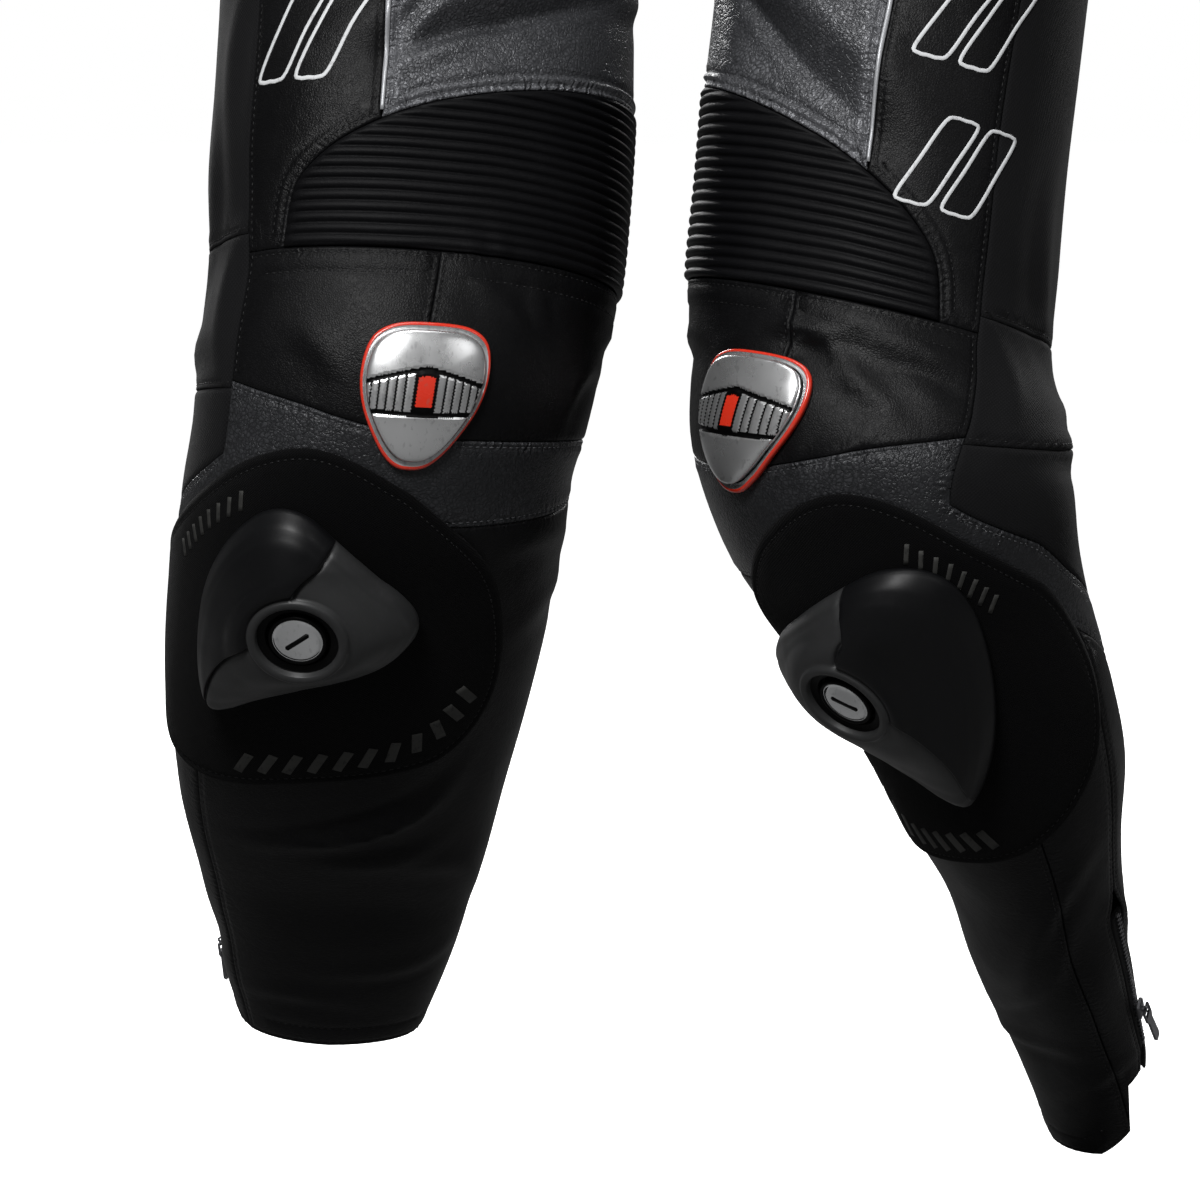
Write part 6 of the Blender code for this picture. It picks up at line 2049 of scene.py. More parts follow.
@dataclass
class Piping:
    """Silver piping let in between the front and the outer thigh."""

    leg: Leg
    rows: int = 130
    crown: float = 1.7
    foot: float = -1.0

    def build(self) -> bpy.types.Object:
        """Sweep the piping's rounded section down its seam.

        Returns:
            The piece.
        """
        b = np.linspace(LEG_TOP + 0.4, PIPING_END + 1.5, self.rows)
        per_degree = self.leg.measure(np.zeros(1), b)[1]
        share = (b - LEG_TOP) / (PIPING_END - LEG_TOP)
        half = (PIPING_HALF_TOP + (PIPING_HALF_TIP - PIPING_HALF_TOP) * share) * per_degree + 0.1
        turns = np.radians(np.arange(0, 360, 30) + 15.0)
        rows = []
        for turn in turns:
            out, up = math.cos(turn), math.sin(turn)
            lift = np.full(len(b), self.crown * up if up > 0 else -self.foot * up)
            rows.append(self.leg.worn(PIPING_ANGLE + out * half / per_degree, b,
                                      lift * np.clip(half / 2.0, 0.5, 1.0)))
        points = np.stack(rows, axis=1).reshape(-1, 3)
        name = f"{self.leg.tag}_piping"
        mesh = turned_out(name, points, swept_faces(len(b), len(turns)))
        return add_piece(f"{name}_trim", mesh, [Finish.BINDING], "silver_piping", [name])


@dataclass
class Patch:
    """Hook and loop patch under the knee slider, with a row of plain slanted dashes."""

    leg: Leg
    flat: tuple[float, float, float] = (235.0, 175.0, 36000.0)
    spacing: float = 4.0

    def build(self) -> bpy.types.Object:
        """Cut the patch, stitch it down and print its dashes.

        Returns:
            The piece.
        """
        outline = soft_line(PATCH_OUTLINE, 5, closed=True)
        cloth = lay_out(self.leg, [Side(outline, (5.0,))], self.spacing, 0.0)
        a, b = cloth.at.T
        lift = PATCH_LIFT + PATCH_THICKNESS + edge_lift(cloth, 1.1)
        mesh = wall(f"{self.leg.tag}_patch", cloth, self.leg, self.leg.lifted(a, b, lift),
                    self.leg.lifted(a, b, np.full(len(a), PATCH_LIFT)))
        node = f"{self.leg.tag}_slider_patch"
        piece = add_piece(f"{node}_pile", mesh, [Finish.PILE], "loop_pile", [node])
        width, length, area = self.flat
        line = drawn_in(self.leg, trace(self.leg, [Side(outline)], self.spacing).at, 5.0)
        line = np.vstack([line, line[:1]])
        SEWING.follow(self.leg, line, PATCH_LIFT + PATCH_THICKNESS - ROW_DEPTH + 0.1,
                      Finish.BLACK_THREAD)
        self.dashes()
        return piece

    def dashes(self) -> bpy.types.Object:
        """Print two rows of slanted dashes on the pile.

        Returns:
            The piece.
        """
        top = PATCH_LIFT + PATCH_THICKNESS
        shapes = []
        for corners, count, width, length in (
                (((40, 241), (14, 239), (-8, 234), (-22, 222), (-31, 200)), 11, 2.5, 14.0),
                (((44, 100), (60, 114), (74, 136)), 8, 1.1, 10.0)):
            line = np.array(soft_line(corners, 12))
            at = self.leg.points(line[:, 0], line[:, 1])
            run = np.concatenate([[0.0], np.cumsum(np.linalg.norm(np.diff(at, axis=0), axis=1))])
            for k in range(count):
                here = run[-1] * (k + 0.5) / count
                centre = tuple(float(np.interp(here, run, line[:, j])) for j in range(2))
                ahead = tuple(float(np.interp(here + 2.0, run, line[:, j])) for j in range(2))
                unit_flat = self.leg.from_flat(centre, ((1.0, 1.0),))[0] - np.array(centre)
                way = unit((np.array(ahead) - np.array(centre)) / unit_flat)
                across = np.array((-way[1], way[0])) * 0.9 + way * 0.44
                ends = np.linspace(-length / 2, length / 2, 5)[:, None] * across
                shapes.append(Ribbon(self.leg, centre, ends, width, top - 0.2, top + 0.25,
                                     sunk=True).shape())
        name = f"{self.leg.tag}_patch_dashes"
        return add_piece(name, join_shapes(name, shapes), [Finish.DULL_PRINT], "loop_pile")


def slanted_bar(width: float, length: float, slant: float) -> list[Point]:
    """Outline of a slanted bar with rounded corners, round its middle.

    Args:
        width: its width in millimetres.
        length: its length in millimetres.
        slant: how far its foot stands beside its top, in millimetres.

    Returns:
        Points round the bar's middle.
    """
    corner = min(width, length) * 0.22
    half, tall, lean = width / 2, length / 2, slant / 2
    corners = np.array(((-half + lean, -tall), (half + lean, -tall), (half - lean, tall),
                        (-half - lean, tall)))
    line = []
    for start, end in zip(corners, np.roll(corners, -1, axis=0)):
        run = unit(end - start)
        line += [tuple(start + run * corner), tuple((start + end) / 2), tuple(end - run * corner)]
    return soft_line(line, 4, closed=True)


@dataclass
class ThighBars:
    """Column of plain slanted bars outlined in silver on the outer thigh."""

    leg: Leg
    angles: tuple[float, float] = (38.0, 46.0)
    lowest: tuple[float, float] = (-100.0, -66.0)
    pitch: float = 66.0
    count: int = 4
    size: tuple[float, float, float] = (16.0, 46.0, 22.0)
    line: float = 0.85
    rise: float = 0.55

    def build(self) -> bpy.types.Object:
        """Lay two outlined bars at every level.

        Returns:
            The piece.
        """
        width, length, slant = self.size
        outline = np.array(slanted_bar(width, length, slant * self.leg.side))
        shapes = []
        for step in range(self.count):
            which = int(self.leg.side > 0)
            level = self.lowest[which] - step * self.pitch
            for aside in (-0.68, 0.68):
                place = outline + np.array((aside * width, 0.0))
                shapes.append(Ribbon(self.leg, (self.angles[which], level), place, self.line, -0.3,
                                     self.rise, closed=True).shape())
        name = f"{self.leg.tag}_thigh_bars"
        return add_piece(name, join_shapes(name, shapes), [Finish.PRINT], "silver_piping")


@dataclass
class Slider:
    """Knee slider: a two-tone moulded dome on its patch, with a seat for the button."""

    leg: Leg
    spokes: int = 144
    crest: tuple[float, float] = (19.6, 24.2)
    recess: float = 20.6
    groove: float = 2.0
    groove_half: float = 1.2
    lobe_top: float = 22.6
    twist: tuple[tuple[float, float], ...] = ((-180, 0), (-102, 16), (51, -38), (130, 0), (180, 0))
    fan_reach: float = 5.2
    FAN = (-4.5, -3.2, -2.2, -1.4, -0.7, 0.0, 0.7, 1.4, 2.2, 3.2, 4.5)
    SEAT = ((0.01, 17.0), (8.0, 17.0), (14.9, 17.0), (15.5, 17.4), (15.6, 20.4))
    SLOT = ((-6.6, -1.2), (6.6, -1.2), (7.4, 0.0), (6.6, 1.2), (-6.6, 1.2), (-7.4, 0.0))
    SLOT_HEIGHTS = (4.9, 5.62)
    UNDERSIDE = ((1.0, 2.6), (0.99, 0.7), (0.975, 0.0), (0.66, 0.0), (0.33, 0.0), (0.001, 0.0))

    def frame(self) -> tuple[Array, Array, Array, Array]:
        """Middle, direction across, direction down and axis of the dome.

        Returns:
            The middle in millimetres, and three unit vectors.
        """
        centre = np.array(SLIDER_CENTRE[0]), np.array(SLIDER_CENTRE[1])
        axis = self.leg.normals(*centre)
        across, down = self.leg.tangents(*centre)
        across = unit(across)
        down = unit(down - axis * np.dot(down, axis) - across * np.dot(down, across))
        return self.leg.points(*centre) + axis * SLIDER_LIFT, across, down, axis

    def place(self, flat: Array, height: Array) -> Array:
        """Points over the patch: the underside follows the leg, the dome follows one axis.

        Args:
            flat: flat points in millimetres round the middle.
            height: their heights in millimetres.

        Returns:
            Points in millimetres from the suit's origin.
        """
        at = self.leg.from_flat(SLIDER_CENTRE, flat)
        base = self.leg.lifted(at[:, 0], at[:, 1], np.full(len(at), SLIDER_LIFT))
        middle, across, down, axis = self.frame()
        plane = middle + across * flat[:, :1] + down * flat[:, 1:]
        reach = np.linalg.norm(flat, axis=-1, keepdims=True) - SLIDER_SEAT_RADIUS - 1.0
        share = np.clip(reach / SLIDER_BEND, 0.0, 1.0) ** 2
        rise = np.clip(height[:, None] / 2.0, 0.0, 1.0)
        flattened = plane * (1 - share) + base * share
        return (flattened * rise + base * (1 - rise)) + axis * height[:, None]

    def dome(self, share: Array) -> Array:
        """Height of the dome at a share of the way to its edge."""
        return table_curve(SLIDER_RINGS[2:], 1, share)

    def directions(self) -> Array:
        """Directions of the dome's points in degrees, closer together beside the two steps.

        Returns:
            Angles in rising order.
        """
        even = np.linspace(-180.0, 180.0, self.spokes, endpoint=False)
        far = [min(abs(e - t) for t in SLIDER_STEP_ANGLES) > self.fan_reach for e in even]
        near = [t + more for t in SLIDER_STEP_ANGLES for more in self.FAN]
        return np.sort(np.concatenate([even[far], near]))

    def rings(self, rims: Array) -> list[tuple[Array, Array]]:
        """Radius and height of every ring of points, from the seat over the dome to below.

        Args:
            rims: distance to the outline in every direction.

        Returns:
            Radii and heights of one ring after the other.
        """
        inner, outer = self.crest
        ones = np.ones(len(rims))
        rings = [(ones * radius, ones * height) for radius, height in (
            *self.SEAT, (16.2, self.recess), (inner - 0.7, self.recess),
            (inner, self.recess + 0.6), (inner + 0.3, 23.6), (inner + 1.0, 24.4),
            (outer - 1.0, 24.5), (outer - 0.2, 23.9), (outer + 0.4, self.lobe_top))]
        start = outer + 0.9
        for share in np.concatenate([np.linspace(0.0, 0.9, 22), (0.93, 0.955, 0.975, 0.99, 1.0)]):
            reach = start + (rims - start) * share
            way = (reach - SLIDER_SEAT_RADIUS - 0.5) / (rims - SLIDER_SEAT_RADIUS - 0.5)
            edge = 11.5 - 6.5 * ((way - 0.88) / 0.12) ** 2.2
            rings.append((reach, np.minimum(np.where(way > 0.88, edge, self.dome(way)),
                                            self.lobe_top)))
        return rings + [(rims * share, ones * height) for share, height in self.UNDERSIDE]

    def relief(self, spokes: Array, rims: Array, reach: Array) -> tuple[Array, Array]:
        """Height of the raised lobe over the dome with its grooves, and the tone of each point.

        Args:
            spokes: directions in degrees.
            rims: distance to the outline in each.
            reach: the ring's radii.

        Returns:
            Heights in millimetres, and material numbers.
        """
        inner, outer = self.crest
        aside = np.minimum.reduce([
            np.abs(reach * np.sin(np.radians(spokes - t))) + np.where(
                np.cos(np.radians(spokes - t)) > 0, 0, 99) for t in SLIDER_STEP_ANGLES])
        raised = (spokes > SLIDER_STEP_ANGLES[0]) & (spokes < SLIDER_STEP_ANGLES[1])
        lobe = reach > outer + 0.4
        step = np.where(raised, SLIDER_STEP, 0.0) * np.clip((1.0 - (reach / rims)) / 0.12, 0, 1)
        cut = self.groove * np.exp(-(aside / self.groove_half) ** 2)
        ring = np.where(raised, 1.8 * np.exp(-(((reach - outer - 1.5) / 1.1) ** 2)), 0.0)
        tone = np.where(raised & lobe, 1, np.where(reach > inner + 0.2, 0, 2))
        return np.where(lobe, step - cut - ring, 0.0), tone

    def build(self) -> list[bpy.types.Object]:
        """Mould the slider in its grey and dark halves, and set its button.

        Returns:
            The dome and the button.
        """
        outline = np.array(soft_line(SLIDER_OUTLINE, 6, closed=True)) * SLIDER_SIZES[self.leg.tag]
        spokes = self.directions()
        rims = np.array([self.reach(outline, spoke) for spoke in spokes])
        turned = np.interp(spokes, *zip(*self.twist))
        rings, outer = self.rings(rims), self.crest[1]
        flats, heights, tones = [], [], []
        for k, (reach, height) in enumerate(rings):
            relief, tone = self.relief(spokes, rims, reach)
            settled = np.clip((reach - outer) / (rims - outer), 0.0, 1.0)
            turn = np.radians(spokes + turned * (1.0 - settled))
            flats.append(np.stack([np.cos(turn), np.sin(turn)], axis=-1) * reach[:, None])
            heights.append(height + relief if k < len(rings) - len(self.UNDERSIDE) else height)
            tones.append(tone)
        flat = spun(np.vstack(flats), math.radians(SLIDER_TURNS[self.leg.tag]))
        points = self.place(flat, np.concatenate(heights))
        faces = swept_faces(len(rings), len(spokes))
        name = f"{self.leg.tag}_slider_body"
        mesh = turned_out(name, points, faces)
        tone = np.concatenate(tones)
        piece = add_piece(f"{name}_dome", mesh,
                          [Finish.GREY_LOBE, Finish.DARK_LOBE, Finish.BLACK_PLASTIC],
                          "slider_plastic", [name])
        paint_faces(mesh, [int(tone[face[3]]) if len(face) == 4 else 2 for face in faces])
        return [piece, self.button()]

    @staticmethod
    def reach(outline: Array, degrees: float) -> float:
        """Distance from the middle to an outline along a direction.

        Args:
            outline: the outline's corners in order.
            degrees: the direction in degrees.

        Returns:
            The distance in millimetres.
        """
        ray = np.array((math.cos(math.radians(degrees)), math.sin(math.radians(degrees))))
        run = np.roll(outline, -1, axis=0) - outline
        spread = ray[0] * run[:, 1] - ray[1] * run[:, 0]
        spread = np.where(np.abs(spread) < 1e-9, 1e-9, spread)
        reach = (outline[:, 0] * run[:, 1] - outline[:, 1] * run[:, 0]) / spread
        share = (outline[:, 0] * ray[1] - outline[:, 1] * ray[0]) / spread
        good = (reach > 0) & (share >= -1e-6) & (share <= 1 + 1e-6)
        return float(reach[good].max())

    def button(self) -> bpy.types.Object:
        """Turn the button: a domed silver disc in a dark collar, with one slot.

        Returns:
            The piece.
        """
        middle, across, down, axis = self.frame()
        foot = SLIDER_SEAT_HEIGHT + 0.3
        profile = ((0.01, 0.0, 1), (13.6, 0.0, 1), (14.2, 0.7, 1), (14.2, 4.2, 1), (13.5, 5.0, 1),
                   (12.5, 5.0, 1), (12.1, 4.3, 1), (11.7, 4.2, 0), (11.3, 4.7, 0), (10.0, 5.0, 0),
                   (7.0, 5.3, 0), (4.0, 5.45, 0), (0.01, 5.5, 0))
        count = 72
        turns = np.radians(np.arange(count) * 360.0 / count)
        rows, tones = [], []
        slot = math.radians(38.0)
        for radius, height, tone in profile:
            x, y = radius * np.cos(turns), radius * np.sin(turns)
            rows.append(middle + x[:, None] * across + y[:, None] * down
                        + axis * (foot + height))
            tones.append(tone)
        faces = swept_faces(len(profile), count)
        index = [tones[face[3] // count] if len(face) == 4 else 0 for face in faces]
        bar = spun(np.array(self.SLOT), slot)
        start = len(profile) * count
        for height in self.SLOT_HEIGHTS:
            rows.append(middle + bar[:, :1] * across + bar[:, 1:] * down + axis * (foot + height))
        points = np.vstack(rows)
        around = range(start, start + len(bar))
        faces += [tuple(start + k for k in face) for face in grid_faces(2, len(bar), closed=True)]
        faces += [tuple(k + len(bar) for k in around), tuple(reversed(around))]
        index += [1] * (len(bar) + 2)
        name = f"{self.leg.tag}_slider_button"
        mesh = turned_out(name, points, faces)
        piece = add_piece(f"{name}_disc", mesh, [Finish.CHROME, Finish.BLACK_PLASTIC],
                          "chrome_plate", [name])
        paint_faces(mesh, index)
        return piece


@dataclass
class Badge:
    """Plain rounded shield on the knee: a red rim round a domed silver plate."""

    leg: Leg
    spacing: float = 0.9
    dome: float = 1.6

    @property
    def centre(self) -> Point:
        """The shield's middle on its leg."""
        return BADGE_CENTRES[self.leg.tag]

    def rim(self) -> bpy.types.Object:
        """Sweep the rim's rounded section round the shield.

        Returns:
            The piece.
        """
        line = np.array(soft_line(BADGE_OUTLINE, 10, closed=True))
        top = BADGE_LIFT + BADGE_RIM_THICKNESS
        section = ((1.0, BADGE_LIFT), (1.0, top - 1.1), (0.985, top - 0.3), (0.965, top),
                   (0.945, top), (0.93, top - 0.5), (0.893, top - 0.7), (0.885, top - 1.2),
                   (0.885, BADGE_LIFT))
        rows = []
        for share, lift in section:
            at = self.leg.from_flat(self.centre, line * share)
            rows.append(self.leg.lifted(at[:, 0], at[:, 1], np.full(len(at), lift)))
        points = np.stack(rows, axis=1).reshape(-1, 3)
        columns = len(section)
        faces = swept_faces(len(line), columns, ring=True)
        name = f"{self.leg.tag}_badge_rim"
        mesh = turned_out(name, points, faces)
        piece = add_piece(f"{name}_ring", mesh, [Finish.RED, Finish.SATIN], "red_plastic", [name])
        paint_faces(mesh, [min(k % columns for k in face) >= 4 for face in faces])
        return piece

    @staticmethod
    def pattern(x: Array, y: Array) -> tuple[Array, Array]:
        """Depth of the plate's grooves and which paint fills them, 0 for bare metal.

        Args:
            x: places across in millimetres.
            y: places down in millimetres.

        Returns:
            Depths in millimetres, and paint numbers.
        """
        depth, paint = np.zeros(len(x)), np.zeros(len(x), dtype=int)
        upper = y - (-11.5 + 0.22 * np.abs(x))
        lower = y - (9.0 + 0.22 * np.abs(x) - 0.5 * np.abs(x) * 0.5)
        for line in (upper, lower):
            cut = np.abs(line) < 1.1
            depth = np.maximum(depth, np.where(cut, 0.8, 0.0))
            paint = np.where(cut, 1, paint)
        between = (upper > 1.1) & (lower < -1.1)
        slat = (np.abs((np.abs(x) - 9.0) % 4.4 - 2.2) > 1.75) & (np.abs(x) > 7.5) & between
        depth = np.maximum(depth, np.where(slat, 0.5, 0.0))
        paint = np.where(slat, 1, paint)
        block = (np.abs(x) < 5.2) & between
        paint = np.where(block, 1, paint)
        bar = (np.abs(x) < 3.6) & (upper > 3.2) & (lower < -3.2)
        return np.where(bar, 0.0, depth), np.where(bar, 2, paint)

    def plate(self) -> bpy.types.Object:
        """Dome the plate and cut its grooves.

        Returns:
            The piece.
        """
        flat_line = np.array(soft_line(BADGE_OUTLINE, 8, closed=True)) * BADGE_PLATE_SHARE
        line = self.leg.from_flat(self.centre, flat_line)
        cloth = lay_out(self.leg, [Side([tuple(p) for p in line])], self.spacing, 0.0, (0.5, 1.1))
        a, b = cloth.at.T
        one_flat = self.leg.from_flat(self.centre, ((1.0, 1.0),))[0] - self.centre
        depth, _ = self.pattern(*((cloth.at - self.centre) / one_flat).T)
        foot = BADGE_LIFT + BADGE_RIM_THICKNESS + BADGE_BED
        crown = self.dome * (1 - np.exp(-cloth.edge / 7.0))
        lift = foot + BADGE_PLATE_THICKNESS - 0.9 * np.exp(-cloth.edge / 0.6) + crown - depth
        mesh = wall(f"{self.leg.tag}_plate", cloth, self.leg, self.leg.lifted(a, b, lift),
                    self.leg.lifted(a, b, np.full(len(a), BADGE_LIFT + 0.4)))
        centres = np.array([cloth.at[list(face)].mean(axis=0) for face in cloth.faces])
        _, paint = self.pattern(*((centres - self.centre) / one_flat).T)
        index = np.zeros(len(mesh.polygons), dtype=np.int32)
        index[:len(paint)] = paint
        name = f"{self.leg.tag}_badge_plate"
        piece = add_piece(f"{name}_shield", mesh,
                          [Finish.SATIN, Finish.BLACK_PLASTIC, Finish.RED], "chrome_plate", [name])
        paint_faces(mesh, index)
        return piece

    def build(self) -> list[bpy.types.Object]:
        """Make the rim and the plate."""
        return [self.rim(), self.plate()]


# ---------------------------------------------------------------- the legs' cloth
class LegCloth:
    """Every cut piece of one leg."""

    def __init__(self, leg: Leg) -> None:
        """Take the leg whose cloth is cut."""
        self.leg = leg

    def slit_edge(self, side: float) -> list[Point]:
        """Edge beside the ankle zip, from its top down to the open notch at the hem.

        Args:
            side: -1 in front of the zip, +1 behind it.

        Returns:
            Angles and levels down the edge.
        """
        edge = [(ANKLE_SLIT, SLIT_TOP - 14.0)]
        for level in list(np.linspace(SLIT_TOP, ANKLE_ZIP_FOOT, 5)) + [SLIT_HEM]:
            along_a, _ = self.leg.tangents(np.array(ANKLE_SLIT), np.array(level))
            opening = SLIT_MOUTH if level == SLIT_HEM else ZIP_OPENING
            edge.append((ANKLE_SLIT + side * opening / float(np.linalg.norm(along_a)), level))
        return edge

    def cuts(self) -> dict[str, tuple[list[Side], Finish, str]]:
        """Sides, finish and slot of every piece by name.

        Returns:
            One entry for each piece.
        """
        leg = self.leg
        one, two, hem = ONE_ROW, TWO_ROWS, HEM_ROWS
        shin_hem = [point for point in leg.hem if point[0] <= OUTER_SEAM]
        outer_hem = [point for point in leg.hem if point[0] >= OUTER_SEAM]
        seam_end = leg.back_hem[-1][1]
        tip = (PIPING_ANGLE, arch_level(PIPING_ANGLE))
        inner_top = (PIPING_ANGLE - PIPING_HALF_TOP, LEG_TOP)
        inner_tip = (PIPING_ANGLE - PIPING_HALF_TIP, PIPING_END)
        outer_top = (PIPING_ANGLE + PIPING_HALF_TOP, LEG_TOP)
        outer_tip = (PIPING_ANGLE + PIPING_HALF_TIP, PIPING_END)
        knee = soft_line(KNEE_BOTTOM, 5)
        wing = soft_line(BAND_WING, 5)
        slit_front, slit_back = self.slit_edge(-1.0), self.slit_edge(1.0)[::-1]
        black = (Finish.BLACK, "black_leather")
        pearl = (Finish.PEARL, "pearl_leather")
        stretch = (Finish.STRETCH, "stretch_fabric")
        return {
            "thigh_front": ([Side([(INNER_SEAM, LEG_TOP)], one),
                             Side([(INNER_SEAM, ACCORDION_TOP)]
                                  + arch_between(INNER_SEAM, PIPING_ANGLE), two),
                             Side([tip, inner_tip], one), Side([inner_top])], *pearl),
            "thigh_outer": ([Side([outer_top, outer_tip], one),
                             Side([tip] + arch_between(PIPING_ANGLE, ACCORDION_OUTER), two),
                             Side([(ACCORDION_OUTER, ACCORDION_BOTTOM)]),
                             Side([(OUTER_SEAM, ACCORDION_BOTTOM)], one),
                             Side([(OUTER_SEAM, LEG_TOP)])], *black),
            "thigh_back": ([Side([(OUTER_SEAM, LEG_TOP)]),
                            Side([(OUTER_SEAM, BACK_SEAM_UPPER)], one),
                            Side([(BACK_END, BACK_SEAM_UPPER)]),
                            Side([(BACK_END, LEG_TOP)])], *stretch),
            "knee_inner": ([Side([(INNER_SEAM, 0.0)], KNEE_ROWS), Side([(KNEE_SEAM, 0.0)], one),
                            Side([p for p in reversed(knee) if p[0] <= KNEE_SEAM][:-1]),
                            Side([knee[0]])], *black),
            "knee_outer": ([Side([(KNEE_SEAM, 0.0)], KNEE_ROWS),
                            Side([(OUTER_SEAM, 0.0)], one),
                            Side([p for p in reversed(knee) if p[0] >= KNEE_SEAM][:-1]),
                            Side([(KNEE_SEAM, 74.0)], one)], *black),
            "knee_band": ([Side(knee[:-1], one), Side([knee[-1]]), Side(wing[:-1], one),
                           Side([wing[-1]], one), Side(list(BAND_BOTTOM)[:-1], one),
                           Side([BAND_BOTTOM[-1]])], Finish.PEARL_BAND_PAINTED_SHADE, "pearl_leather"),
            "knee_back": ([Side([(OUTER_SEAM, BACK_SEAM_UPPER)]),
                           Side([(OUTER_SEAM, BACK_SEAM_LOWER)], one),
                           Side([(BACK_END, BACK_SEAM_LOWER)]),
                           Side([(BACK_END, BACK_SEAM_UPPER)])], *stretch),
            "calf_gusset": ([Side([(OUTER_SEAM, BACK_SEAM_LOWER)]), Side(wing),
                             Side([(185.0, 152.0)]), Side([(BACK_END, 118.0)]),
                             Side([(BACK_END, BACK_SEAM_LOWER)])], *stretch),
            "shin": ([Side([(INNER_SEAM, 118), (0, 112)]), Side([(OUTER_SEAM, 122)], one),
                      Side(shin_hem[:-1], hem), Side([shin_hem[-1]])], *black),
            "calf_outer": ([Side([(OUTER_SEAM, 122), (100, 158)]),
                            Side([BAND_AT_SLIT] + slit_front[:-1], one),
                            Side([slit_front[-1]] + outer_hem[:-1], hem),
                            Side([outer_hem[-1]])], *black),
            "calf_back": ([Side([BAND_AT_SLIT, (141, 186), (141, 158)]), Side([(185, 152)], one),
                           Side([(BACK_END, 118)]),
                           Side([(BACK_END, seam_end)] + leg.back_hem[::-1][1:]
                                if leg.back_hem[-1][0] == BACK_END else
                                [(BACK_END, seam_end)] + leg.back_hem[::-1], hem),
                           Side(slit_back, one)], *black),
        }

    def build(self) -> None:
        """Cut and sew the leg."""
        for key, (sides, finish, slot) in self.cuts().items():
            name = f"{self.leg.tag}_{key}"
            fine = PEARL_FINENESS if finish is Finish.PEARL else LEG_FINENESS
            Panel(name, self.leg, sides, finish, slot, FLATS[name], *fine).build()
        Accordion(self.leg).build()
        Piping(self.leg).build()
        ThighBars(self.leg).build()
        Patch(self.leg).build()
        Slider(self.leg).build()
        Badge(self.leg).build()


